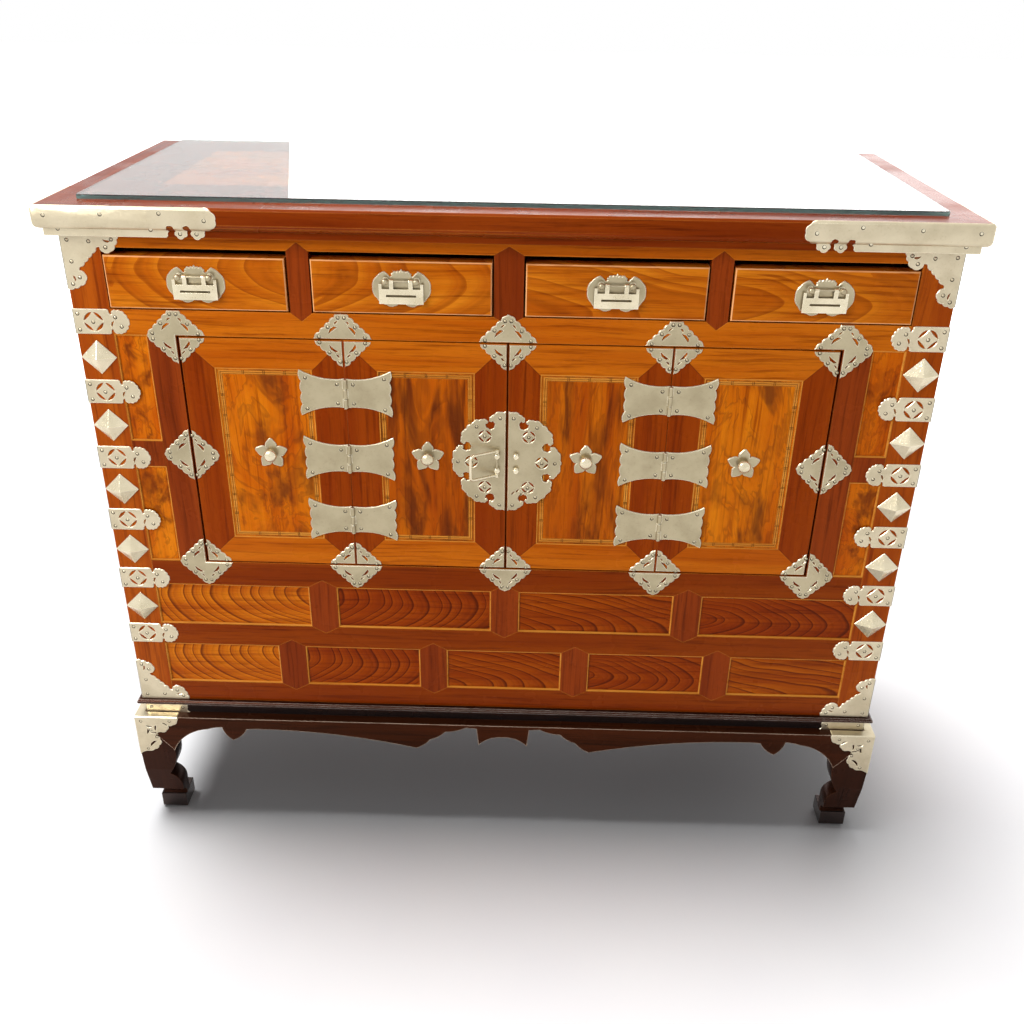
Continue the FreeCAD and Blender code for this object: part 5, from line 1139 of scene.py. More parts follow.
@dataclass(frozen=True)
class WoodFinish(Finish):
    """A polished or plain board."""

    light: Colour
    middle: Colour
    dark: Colour
    way: GrainWay = GrainWay.ALONG
    figure: Figure = Figure.STRAIGHT
    # Edge colour: part rubbed wear, part a painted highlight along the edges.
    edge_wear_and_highlight: Colour = shade(214, 140, 52)
    edge_wear_and_highlight_share: float = 0.55
    edge_wear_and_highlight_reach: float = 0.0016
    square: float = 0.0
    gloss: float = 0.22
    dull: float = 0.38
    coat: float = 0.03
    shine: float = 0.28
    sheen: Colour = shade(255, 128, 44)
    line: Colour = shade(86, 30, 8)
    line_share: float = 0.8
    spacing: float = 0.0062
    slant: float = 0.34
    stretch: tuple[float, float, float] = (7.5, 15.0, 15.0)
    cell_start: tuple[float, float, float] = (-1.0, -1.0, -1.0)
    cell_pitch: tuple[float, float, float] = (3.0, 3.0, 3.0)
    mitre_middle: tuple[float, float, float] | None = None
    mitre_half: tuple[float, float, float] = (1.0, 1.0, 1.0)
    stile_tone: Colour = (1.0, 1.0, 1.0, 1.0)
    uneven: float = 0.0
    deeper: Colour = shade(190, 148, 116)
    low_tone: Colour | None = None
    low_reach: tuple[float, float] = (0.425, 0.432)

    def look(self, weave: Weave, place: Socket) -> dict[str, object]:
        """Lay grain, figure, mitres and wear over each other.

        Args:
            weave: Builder of the material's tree.
            place: Place on the object.

        Returns:
            Shader input to its value or socket.
        """
        lay = weave.turned_to(place, self.way)
        mitred = None
        if self.mitre_middle:
            mitred = weave.effect(
                MitreLay(), Vector=lay, Middle=self.mitre_middle, Half=self.mitre_half
            )
            lay = mitred["Vector"]
        seed = weave.effect(
            CellSeed(), Vector=place, Start=self.cell_start, Pitch=self.cell_pitch
        )["Seed"]
        grain = weave.effect(
            LongGrain(), Vector=weave.vector("ADD", lay, seed), Light=self.light,
            Middle=self.middle, Dark=self.dark,
        )
        colour = self.figured(weave, place, lay, seed, grain["Color"])
        uneven = weave.span(weave.parts(seed)[1], 0.25, 0.75, 0, self.uneven)
        colour = weave.tint(uneven, colour, self.deeper)
        if self.low_tone:
            low = weave.span(weave.parts(place)[2], *self.low_reach, 1, 0)
            colour = weave.tint(low, colour, self.low_tone)
        if mitred:
            colour = weave.tint(mitred["Stile"], colour, self.stile_tone)
            colour = weave.mix(weave.times(mitred["Mitre"], 0.8), colour, self.line)
        marks = weave.effect(
            Handling(), Vector=place, Reach=self.edge_wear_and_highlight_reach, Square=self.square
        )
        # Edges are painted lighter: part rubbed wear, part painted highlight.
        edge = weave.times(marks["Edge"], self.edge_wear_and_highlight_share)
        colour = weave.mix(edge, colour, self.edge_wear_and_highlight)
        rough = weave.span(marks["Dull"], 0, 1, self.gloss, self.dull, soft=False)
        height = weave.sum("ADD", grain["Height"], marks["Height"])
        bump = weave.add("Bump", {"Height": height, "Strength": 0.22, "Distance": 0.0006})
        return {
            "Base Color": colour, "Roughness": rough, "Normal": bump.outputs[0],
            "Specular IOR Level": self.shine, "Specular Tint": self.sheen,
            "Coat Weight": self.coat, "Coat Roughness": 0.10,
        }

    def figured(
        self, weave: Weave, place: Socket, lay: Socket, seed: Socket, colour: Socket
    ) -> Socket:
        """Draw the figure of the cut over the plain grain.

        Args:
            weave: Builder of the material's tree.
            place: Place on the object.
            lay: The same place, laid along the grain.
            seed: Random colour of the board.
            colour: Colour of the plain grain.

        Returns:
            The colour with its figure.
        """
        if self.figure is Figure.RINGED:
            local = weave.vector("SUBTRACT", lay, self.ring_middle(weave, place))
            rings = weave.effect(
                RingFigure(), Vector=local, Seed=seed, Spacing=self.spacing, Slant=self.slant
            )
            colour = weave.mix(weave.times(rings["Line"], self.line_share), colour, self.line)
            colour = weave.tint(weave.times(rings["Glow"], 0.35), colour, self.middle)
        if self.figure is Figure.CLOUDED:
            clouds = weave.effect(CloudFigure(), Vector=lay, Seed=seed, Stretch=self.stretch)
            colour = weave.tint(weave.times(clouds["Glow"], 0.5), colour, self.middle)
            for name, share in (("Line", 0.34), ("Cloud", self.line_share)):
                colour = weave.mix(weave.times(clouds[name], share), colour, self.line)
        return colour

    def ring_middle(self, weave: Weave, place: Socket) -> Socket:
        """Give the middle of the board that a place lies in, laid along the grain.

        Args:
            weave: Builder of the material's tree.
            place: Place on the object.

        Returns:
            The middle of the board.
        """
        moved = weave.vector("SUBTRACT", place, self.cell_start)
        cells = weave.vector("FLOOR", weave.vector("DIVIDE", moved, self.cell_pitch))
        middle = weave.vector("ADD", cells, (0.5, 0.5, 0.5))
        middle = weave.vector("MULTIPLY", middle, self.cell_pitch)
        return weave.turned_to(weave.vector("ADD", middle, self.cell_start), self.way)


@dataclass(frozen=True)
class MetalFinish(Finish):
    """Pale, satin trim metal."""

    bright: Colour = shade(182, 169, 138)
    worn: Colour = shade(149, 136, 107)
    # Near-white rim colour: a painted highlight along the plate edges, in part rubbed wear.
    rim: Colour = shade(255, 248, 222)
    gloss: float = 0.28
    dull: float = 0.44

    def look(self, weave: Weave, place: Socket) -> dict[str, object]:
        """Lay tarnish over the metal and paint its rims light, part rubbed wear and part painted
        highlight.

        Args:
            weave: Builder of the material's tree.
            place: Place on the object.

        Returns:
            Shader input to its value or socket.
        """
        age = weave.effect(MetalAge(), Vector=place)
        marks = weave.effect(Handling(), Vector=place, Reach=0.0011, Square=0.0)
        colour = weave.mix(age["Tarnish"], self.bright, self.worn)
        # Rims are painted near white: a painted highlight, in part rubbed wear.
        colour = weave.mix(weave.times(marks["Edge"], 0.9), colour, self.rim)
        rough = weave.span(age["Dull"], 0, 1, self.gloss, self.dull, soft=False)
        bump = weave.add(
            "Bump", {"Height": age["Height"], "Strength": 0.35, "Distance": 0.0005}
        )
        return {"Base Color": colour, "Roughness": rough, "Normal": bump.outputs[0],
                "Metallic": 0.82}


@dataclass(frozen=True)
class GlassFinish(Finish):
    """Clear sheet glass with a green-blue edge."""

    face: Colour = shade(246, 252, 250)
    edge: Colour = shade(146, 200, 192)

    def look(self, weave: Weave, place: Socket) -> dict[str, object]:
        """Tell the polished faces from the ground edge and smear them a little.

        Args:
            weave: Builder of the material's tree.
            place: Place on the object.

        Returns:
            Shader input to its value or socket.
        """
        normal = weave.parts(weave.add("NewGeometry").outputs["Normal"])
        level = weave.sum("ABSOLUTE", normal[2])
        colour = weave.mix(weave.span(level, 0.2, 0.9), self.edge, self.face)
        polish = weave.span(weave.noise(place, 6, 4, 0.6)[0], 0.45, 0.8, 0.0, 0.035)
        ground = weave.span(level, 0.2, 0.9, 0.45, 0.0)
        rough = weave.sum("ADD", polish, ground)
        return {"Base Color": colour, "Roughness": rough, "Transmission Weight": 1.0, "IOR": 1.5}


@dataclass(frozen=True)
class FloorFinish(Finish):
    """A pale floor that keeps the shadow and fades into white far away."""

    tone: Colour = shade(250, 250, 251)
    near: float = 1.2
    far: float = 2.4

    def look(self, weave: Weave, place: Socket) -> dict[str, object]:
        """Speck the floor and let its far part shine white for the camera alone.

        Args:
            weave: Builder of the material's tree.
            place: Place on the floor.

        Returns:
            Shader input to its value or socket.
        """
        speck = weave.noise(place, 4, 2)[0]
        colour = weave.mix(weave.span(speck, 0.3, 0.7), self.tone, shade(247, 247, 249))
        distance = weave.vector("LENGTH", place)
        eye = weave.add("LightPath").outputs["Is Camera Ray"]
        glow = weave.times(eye, weave.span(distance, self.near, self.far))
        return {"Base Color": colour, "Roughness": 0.75, "Specular IOR Level": 0.1,
                "Emission Color": shade(255, 255, 255), "Emission Strength": glow}


# Sub-assemblies


class Wardrobe:
    """Makes each finish once and hands it out by name."""

    def __init__(self, finishes: Iterable[Finish]) -> None:
        """Keep the finishes by their names."""
        self.finishes = {finish.name: finish for finish in finishes}
        self.made: dict[str, bpy.types.Material] = {}

    def __getitem__(self, name: str) -> bpy.types.Material:
        """Give the material of a finish.

        Args:
            name: Name of the finish.

        Returns:
            Its material.
        """
        if name not in self.made:
            self.made[name] = self.finishes[name].make()
        return self.made[name]

    def metal(self, name: str = "pale_metal") -> list[bpy.types.Material]:
        """Give a metal's material and the dark one that paints the shadow round its nails."""
        return [self[name], self["grime"]]


@dataclass
class Assembly:
    """A sub-assembly of the chest, which dresses its nodes and adds its pieces."""

    nodes: dict[str, bpy.types.Object]
    wardrobe: Wardrobe

    def dress(self, node: str, finish: str, ease: float = 0.6) -> None:
        """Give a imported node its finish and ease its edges.

        Args:
            node: Name of the node.
            finish: Name of the finish.
            ease: Width of the eased edges in millimetres; zero leaves them sharp.
        """
        piece = self.nodes[node]
        material = self.wardrobe[finish]
        if piece.material_slots:
            for slot in piece.material_slots:
                slot.link = "OBJECT"
                slot.material = material
        else:
            piece.data.materials.append(material)
        if ease:
            weld = piece.modifiers.new("weld", "WELD")
            weld.merge_threshold = WELD
            bevel = piece.modifiers.new("eased edges", "BEVEL")
            bevel.width = ease * MM
            bevel.segments = 2
            bevel.limit_method = "ANGLE"
            bevel.angle_limit = EASED_ANGLE
        LOG.info("dressed %s", node)

    def fix_trim(self, piece: Workpiece, side: Side, node: str) -> None:
        """Hand over the trim of one side of the case; the left side's stands for the node.

        Args:
            piece: The trim.
            side: Side of the chest.
            node: Node that both sides' trim stands for.
        """
        replaced = [node] if side is Side.LEFT else []
        # The trim gets the lighter copy of the metal, painted as if lit more.
        piece.hand_over("case", self.wardrobe.metal("strap_metal"), replaced)


@dataclass
class CaseWork(Assembly):
    """The case: frames, fixed panels with their beads, and inner boards."""

    bead_width: float = 1.7
    bead_height: float = 2.1
    recess: float = 2.5
    flank_near: float = 419.0
    cross_half: float = 17.0

    def build(self) -> None:
        """Dress the frames and panels and add the beads round the panels."""
        for node, finish in (
            ("corner_posts", "post_wood"),
            ("front_rails", "rail_wood_front"),
            ("side_frames", "frame_wood_deep"),
            ("back_frame", "frame_wood_along"),
            ("flank_frame", "divider_wood"),
            ("row_dividers", "divider_wood"),
            ("drawer_dividers", "divider_wood"),
            ("side_panels", "side_panel_wood"),
            ("back_panels", "back_panel_wood"),
            ("flank_panels", "flank_panel_wood"),
            ("upper_row_panels", "upper_panel_wood"),
            ("lower_row_panels", "lower_panel_wood"),
            ("dust_board", "plain_wood"),
            ("bottom_board", "plain_wood"),
            ("drawer_guides", "plain_wood_deep"),
        ):
            self.dress(node, finish)
        self.front_beads()
        self.side_beads()

    def section(self) -> list[Point]:
        """Give the section of a bead.

        Returns:
            Inset and height above the panel's face of each point.
        """
        width, height = self.bead_width, self.bead_height
        return [
            (0.0, 0.0), (0.0, height), (width * 0.45, height), (width * 0.85, height * 0.7),
            (width, height * 0.2), (width, 0.0),
        ]

    def front_beads(self) -> None:
        """Add the golden beads round the fixed panels of the front."""
        piece = Workpiece("front_panel_beads")
        lay = before_case(PLACES.case_front + self.recess)
        width = PLACES.inner_half * 2
        for count, (low, high) in ((4, PLACES.upper_row), (5, PLACES.lower_row)):
            panel = (width - PLACES.divider_width * (count - 1)) / count
            for index in range(count):
                start = -PLACES.inner_half + index * (panel + PLACES.divider_width)
                piece.framing((start, low), (start + panel, high), self.section(), lay)
        for side in Side:
            near, far = sorted((side.value * self.flank_near, side.value * PLACES.inner_half))
            for low, high in (
                (PLACES.door_base, PLACES.door_middle - self.cross_half),
                (PLACES.door_middle + self.cross_half, PLACES.door_top),
            ):
                piece.framing((near, low), (far, high), self.section(), lay)
        piece.hand_over("case", [self.wardrobe["bead_wood"]])

    def side_beads(self) -> None:
        """Add the beads round the panels at both ends and at the back."""
        near = PLACES.case_front + PLACES.post_width
        far = PLACES.case_back - PLACES.post_width
        piece = Workpiece("end_panel_beads")
        for side in Side:
            lay = on_side(beside_case(self.recess - PLACES.case_half), side)
            for low, high in (
                (PLACES.lower_row[0], PLACES.upper_row[1]),
                (PLACES.door_base, PLACES.door_top),
                (PLACES.drawer_base, PLACES.drawer_top),
            ):
                piece.framing((near, low), (far, high), self.section(), lay)
        piece.hand_over("case", [self.wardrobe["bead_wood"]])
        back = Workpiece("back_panel_beads")
        lay = behind_case(PLACES.case_back - self.recess)
        for low, high in (
            (PLACES.lower_row[0], PLACES.door_top), (PLACES.drawer_base, PLACES.drawer_top)
        ):
            back.framing(
                (-PLACES.inner_half, low), (PLACES.inner_half, high), self.section(), lay
            )
        back.hand_over("case", [self.wardrobe["frame_wood_along"]])


@dataclass
class TopWork(Assembly):
    """The moulded top, its loose glass and the straps round its front corners."""

    glass_lift: float = 0.25
    glass_inset: float = 36.0
    glass_back_inset: float = 24.0
    glass_ease: float = 1.0
    strap_length: float = 200.0
    side_length: float = 120.0
    nose_radius: float = 8.0
    skin: float = 0.8
    fascia: float = 8.0
    slope: float = 2.5

    def build(self) -> None:
        """Dress the top and add the glass and the straps."""
        self.dress("top_frame", "top_wood", 0.8)
        self.dress("top_panel", "top_panel_wood")
        self.glass()
        for side in Side:
            self.strap(side)

    def glass(self) -> None:
        """Add the sheet of glass with ground edges and rounded corners."""
        piece = Workpiece("glass_sheet")
        half = PLACES.top_half - self.glass_inset
        front = PLACES.top_front + self.glass_inset
        back = PLACES.top_back - self.glass_back_inset
        corner = 6.0
        outline: list[Point] = []
        for u, v, angle in (
            (half - corner, back - corner, 0.0), (corner - half, back - corner, 0.25),
            (corner - half, front + corner, 0.5), (half - corner, front + corner, 0.75),
        ):
            for step in range(7):
                turn = FULL_TURN * (angle + step / 24)
                outline.append((u + corner * math.cos(turn), v + corner * math.sin(turn)))
        base = PLACES.wood_top + self.glass_lift
        thickness = PLACES.glass_top - base
        piece.take(flat_shape([outline], thickness, self.glass_ease), on_level(base))
        piece.hand_over("case", [self.wardrobe["sheet_glass"]], ["glass_top"])

    def profile(self, height: float) -> float:
        """Give how far the moulding lies behind its front face at a height.

        Args:
            height: Height above the underside of the top.

        Returns:
            The setback in millimetres.
        """
        radius = self.nose_radius
        full = PLACES.wood_top - PLACES.case_top
        if height <= self.fascia:
            return radius
        if height < self.fascia + radius:
            rise = self.fascia + radius - height
            return radius - math.sqrt(max(radius ** 2 - rise ** 2, 0.0))
        if height > full - self.slope:
            return height - (full - self.slope)
        return 0.0

    def strap(self, side: Side) -> None:
        """Add the strap round a front corner of the moulding.

        Args:
            side: Side of the chest.
        """
        height = PLACES.wood_top - PLACES.case_top
        end = self.strap_length
        curls = (
            (-1.72, 0.00, 0.00), (-1.64, 0.07, -0.15), (-1.58, 0.20, 0.20), (-1.60, 0.34, 0.25),
            (-1.50, 0.42, 0.30), (-1.38, 0.34, 0.30), (-1.40, 0.20, 0.15), (-1.36, 0.05, -0.30),
            (-1.12, 0.02, -0.35), (-1.02, 0.16, -0.30), (-1.06, 0.30, -0.20), (-1.00, 0.42, 0.30),
            (-0.86, 0.36, 0.30), (-0.88, 0.20, 0.15), (-0.84, 0.05, -0.30), (-0.58, 0.02, -0.35),
            (-0.46, 0.16, -0.30), (-0.44, 0.30, -0.10), (-0.16, 0.34, -0.22), (0.00, 0.62, -0.25),
            (-0.10, 0.88, -0.22), (-0.38, 1.00, -0.15),
        )
        front = trace((0.0, 0.0), scaled(curls, (end, 0.0), (height, height)))
        front.append((0.0, height))
        short = self.side_length
        tail = ((-0.30, 0.00, 0.00), (-0.16, 0.22, -0.25), (0.00, 0.50, -0.2),
                (-0.16, 0.78, -0.2), (-0.30, 1.00, -0.25))
        beside = trace((0.0, 0.0), scaled(tail, (short, 0.0), (height, height)))
        beside.append((0.0, height))
        piece = Workpiece(f"top_strap_{side.name.lower()}")
        nails_front = ((14, 24), (24, 8), (76, 26), (128, 10), (140, 28), (158, 4.8), (176, 4.8),
                       (188, 21))
        nails_side = ((16, 24), (60, 24), (100, 17), (34, 9))
        for outline, along_front, nails in (
            (front, True, nails_front), (beside, False, nails_side)
        ):
            lay = self.bent(side, along_front)
            piece.take(self.bent_sheet(outline), lay)
            for u, v in nails:
                seat = lay(u, v, self.skin)
                away = (lay(u, v, self.skin + 1) - seat).normalized()
                across = Vector((0, 0, 1)).cross(away)
                piece.nail(on_axes(seat, across, away.cross(across), away), 0.3)
        self.fix_trim(piece, side, "top_straps")

    def bent(self, side: Side, along_front: bool) -> Lay:
        """Lay a flat sheet over the moulding and round its corner.

        Args:
            side: Side of the chest.
            along_front: Whether the sheet lies on the front moulding or on the end's.

        Returns:
            The lay, with u from the corner, v up and w out of the wood.
        """
        crest = PLACES.wood_top - PLACES.case_top - self.slope

        def lay(u: float, v: float, w: float) -> Vector:
            """Place one point of the sheet.

            Args:
                u: Distance from the corner.
                v: Height above the underside of the top.
                w: Height above the wood.

            Returns:
                The place in metres.
            """
            back = self.profile(v) - w
            x, y = -PLACES.top_half + back, PLACES.top_front + back
            if along_front:
                x = max(u - PLACES.top_half, x)
            else:
                y = max(u + PLACES.top_front, y)
            z = PLACES.case_top + v + (w * 0.6 if v > crest else 0.0)
            return Vector((x if side is Side.LEFT else -x, y, z)) * MM

        return lay

    def bent_sheet(self, outline: list[Point]) -> Shape:
        """Give a flat sheet with cuts across it where the moulding bends.

        Args:
            outline: Outline of the sheet, u along it and v up.

        Returns:
            The sheet, ready to be laid over the moulding.
        """
        shape = flat_shape([outline], self.skin, 0.4)
        nose = self.nose_radius
        bends = [self.fascia + nose * (1 - math.cos(math.radians(15 * step))) for step in range(7)]
        cuts = [((0, level, 0), (0, 1, 0)) for level in (
            *bends, PLACES.wood_top - PLACES.case_top - self.slope
        )]
        cuts += [((place, 0, 0), (1, 0, 0)) for place in (nose * 0.25, nose * 0.5, nose)]
        for place, normal in cuts:
            bmesh.ops.bisect_plane(
                shape, geom=shape.verts[:] + shape.edges[:] + shape.faces[:],
                plane_co=place, plane_no=normal,
            )
        return shape


@dataclass
class StandWork(Assembly):
    """The stand: ledge, black waist, aprons, legs, feet and their trim."""

    strap_length: float = 60.0
    plate_width: float = 59.0
    plate_drop: float = 66.0
    ledge: float = 11.0
    waist_top: float = 192.8
    skin: float = 0.8
    leg_plate_steps: tuple[Step, ...] = (
        (1.00, 0.00, 0.00), (0.99, 0.10, -0.20), (0.88, 0.20, -0.22), (0.76, 0.22, -0.20),
        (0.72, 0.34, -0.22), (0.60, 0.40, -0.20), (0.46, 0.44, 0.15), (0.44, 0.50, 0.10),
        (0.52, 0.60, -0.25), (0.47, 0.76, -0.25), (0.36, 0.86, -0.22), (0.20, 0.91, -0.15),
        (0.00, 1.00, 0.10),
    )

    def build(self) -> None:
        """Dress the stand and add its trim."""
        self.dress("stand_cap", "cap_wood", 0.5)
        self.dress("stand_waist", "black_lacquer")
        self.dress("stand_aprons", "apron_wood", 1.2)
        self.dress("stand_legs", "leg_wood", 1.4)
        self.dress("foot_blocks", "black_lacquer", 0.5)
        for side in Side:
            self.waist_strap(side)
            self.leg_plate(side)

    def waist_strap(self, side: Side) -> None:
        """Add the strap round a corner of the black band.

        Args:
            side: Side of the chest.
        """
        corner = PLACES.case_half - 2
        front = PLACES.case_front + 2
        low, high = PLACES.apron_top + 0.1, self.waist_top
        middle = (low + high) / 2
        length = self.strap_length
        piece = Workpiece(f"waist_strap_{side.name.lower()}")
        for lay, start in (
            (before_case(front), -corner), (beside_case(-corner), front),
        ):
            end = start + length
            outline = trace(
                (start - PLACES.plate, low),
                ((end, low, 0), (end - 3.6, low + 5, 0.2), (end - 2.6, middle, -0.2),
                 (end - 3.6, high - 5, -0.2), (end, high, 0.2), (start - PLACES.plate, high, 0)),
            )
            nails = [(start + 7, middle), (end - 9, middle)]
            piece.plate(Pattern(outline, nails=nails), on_side(lay, side))
        self.fix_trim(piece, side, "waist_straps")

    def leg_plate(self, side: Side) -> None:
        """Add the plate on the corner of apron and leg, folded over the ledge.

        Args:
            side: Side of the chest.
        """
        piece = Workpiece(f"leg_plate_{side.name.lower()}")
        corner, front = PLACES.stand_half, PLACES.stand_front
        top = PLACES.apron_top
        skin = self.skin
        for lay, start in ((before_case(front), -corner), (beside_case(-corner), front)):
            steps = scaled(
                self.leg_plate_steps, (start, top), (self.plate_width, -self.plate_drop)
            )
            outline = trace((start - skin, top), [*steps, (start - skin, top - self.plate_drop, 0)])
            openings = []
            for quarter in range(4):
                turn = FULL_TURN * quarter / 4 + 0.4
                place = (start + 21 + 6.5 * math.cos(turn), top - 22 + 6.5 * math.sin(turn))
                openings.append(comma_slot(place, 10, turn + 1.1, 1))
            openings.append(comma_slot((start + 20, top - 47), 15, 0.9, 1))
            openings.append(comma_slot((start + 40, top - 12), 9, -0.5, 1))
            nails = [(start + 20, top - 22), (start + 48, top - 6), (start + 8, top - 7),
                     (start + 12, top - 55), (start + 27, top - 34)]
            piece.plate(Pattern(outline, openings, nails), on_side(lay, side), skin, rise=0.3)
        outline = [
            (-corner - skin, front - skin), (-corner + self.plate_width, front - skin),
            (-corner + self.plate_width, front + self.ledge),
            (-corner + self.ledge, front + self.ledge),
            (-corner + self.ledge, front + self.plate_width),
            (-corner - skin, front + self.plate_width),
        ]
        piece.plate(Pattern(outline), on_side(on_level(top), side), skin)
        self.fix_trim(piece, side, "leg_plates")


@dataclass
class CornerWork(Assembly):
    """Plates, straps and studs on the front corners of the case."""

    plate_size: float = 64.0
    strap_length: float = 42.0
    strap_height: float = 30.0
    side_length: float = 30.0
    strap_pitch: float = 86.0
    strap_count: int = 6
    corner_half: tuple[Step, ...] = (
        (1.00, 0.00, 0.00), (0.985, 0.115, -0.22), (0.94, 0.215, -0.22), (0.86, 0.325, -0.22),
        (0.72, 0.335, -0.22), (0.665, 0.250, -0.18), (0.60, 0.290, 0.25), (0.52, 0.36, -0.20),
        (0.44, 0.44, -0.20),
    )
    strap_end: tuple[Step, ...] = (
        (-0.14, -0.50, 0.00), (-0.04, -0.45, -0.15), (0.00, -0.31, 0.10), (0.06, -0.31, 0.20),
        (0.10, -0.44, -0.20), (0.26, -0.46, -0.20), (0.42, -0.43, -0.24), (0.55, -0.32, -0.26),
        (0.64, -0.16, -0.26), (0.70, 0.00, -0.22),
    )

    def build(self) -> None:
        """Add the corner plates and straps and dress the studs."""
        # The studs get the lighter metal, painted as if lit from above.
        self.dress("pyramid_studs", "bright_metal", 0.35)
        for side in Side:
            self.plates(side)
            self.straps(side)

    def arms(self, start_u: float, start_v: float, way: int) -> Pattern:
        """Give the pattern of a corner plate.

        Args:
            start_u: Where the corner is along u.
            start_v: Where it is along v.
            way: 1 where the plate runs up from the corner, -1 where it runs down.

        Returns:
            The plate's pattern.
        """
        size = self.plate_size
        half = list(self.corner_half)
        back = [
            (v, u, bulge) for (u, v, _), (_, _, bulge) in zip(half[-2::-1], half[:0:-1])
        ]
        outline = trace(
            (start_u - PLACES.plate, start_v),
            scaled(half + back, (start_u, start_v), (size, size * way)),
        )
        outline.append((start_u - PLACES.plate, start_v + size * way))
        spots = ((0.90, 0.10), (0.78, 0.24), (0.10, 0.90), (0.24, 0.78), (0.12, 0.12), (0.5, 0.14),
                 (0.14, 0.5))
        nails = [(start_u + u * size, start_v + v * size * way) for u, v in spots]
        openings = [
            comma_slot((start_u + 0.80 * size, start_v + 0.13 * size * way), 8, 0.3 * way, way),
            comma_slot((start_u + 0.13 * size, start_v + 0.80 * size * way), 8, 1.3 * way, -way),
        ]
        return Pattern(outline, openings, nails)

    def plates(self, side: Side) -> None:
        """Add the upper and lower corner plate of one side.

        Args:
            side: Side of the chest.
        """
        piece = Workpiece(f"corner_plates_{side.name.lower()}")
        corner, front = -PLACES.case_half, PLACES.case_front
        for start_v, way in ((PLACES.case_top, -1), (PLACES.case_base, 1)):
            piece.plate(self.arms(corner, start_v, way), on_side(before_case(front), side))
            piece.plate(self.arms(front, start_v, way), on_side(beside_case(corner), side))
        self.fix_trim(piece, side, "corner_plates")

    def strap(self, start: float, length: float, z: float) -> Pattern:
        """Give the pattern of one face of a corner strap.

        Args:
            start: Where the strap's corner is.
            length: Length of its straight part.
            z: Height of its middle.

        Returns:
            The strap's pattern.
        """
        height = self.strap_height
        steps = scaled(self.strap_end, (start + length, 0.0), (height, height))
        steps = mirrored(steps, (start, -height / 2))
        outline = trace((start - PLACES.plate, -height / 2), steps[:-1])
        outline.append((start - PLACES.plate, height / 2))
        outline = [(u, v + z) for u, v in outline]
        coin = start + length * 0.52
        openings = coin_slots((coin, z), 11.2)
        nails = [(coin, z), (start + 5, z - 9.5), (start + 5, z + 9.5),
                 (start + length + 6, z + 6), (start + length + 12, z - 5)]
        openings.append(comma_slot((start + length + 1.5, z - 3), 8, 1.3, 1))
        return Pattern(outline, openings, nails)

    def straps(self, side: Side) -> None:
        """Add the six corner straps of one side.

        Args:
            side: Side of the chest.
        """
        piece = Workpiece(f"corner_straps_{side.name.lower()}")
        corner, front = -PLACES.case_half, PLACES.case_front
        first = (PLACES.door_top + PLACES.drawer_base) / 2
        for index in range(self.strap_count):
            z = first - self.strap_pitch * index
            piece.plate(
                self.strap(corner, self.strap_length, z), on_side(before_case(front), side)
            )
            piece.plate(
                self.strap(front, self.side_length, z), on_side(beside_case(corner), side)
            )
        self.fix_trim(piece, side, "corner_straps")


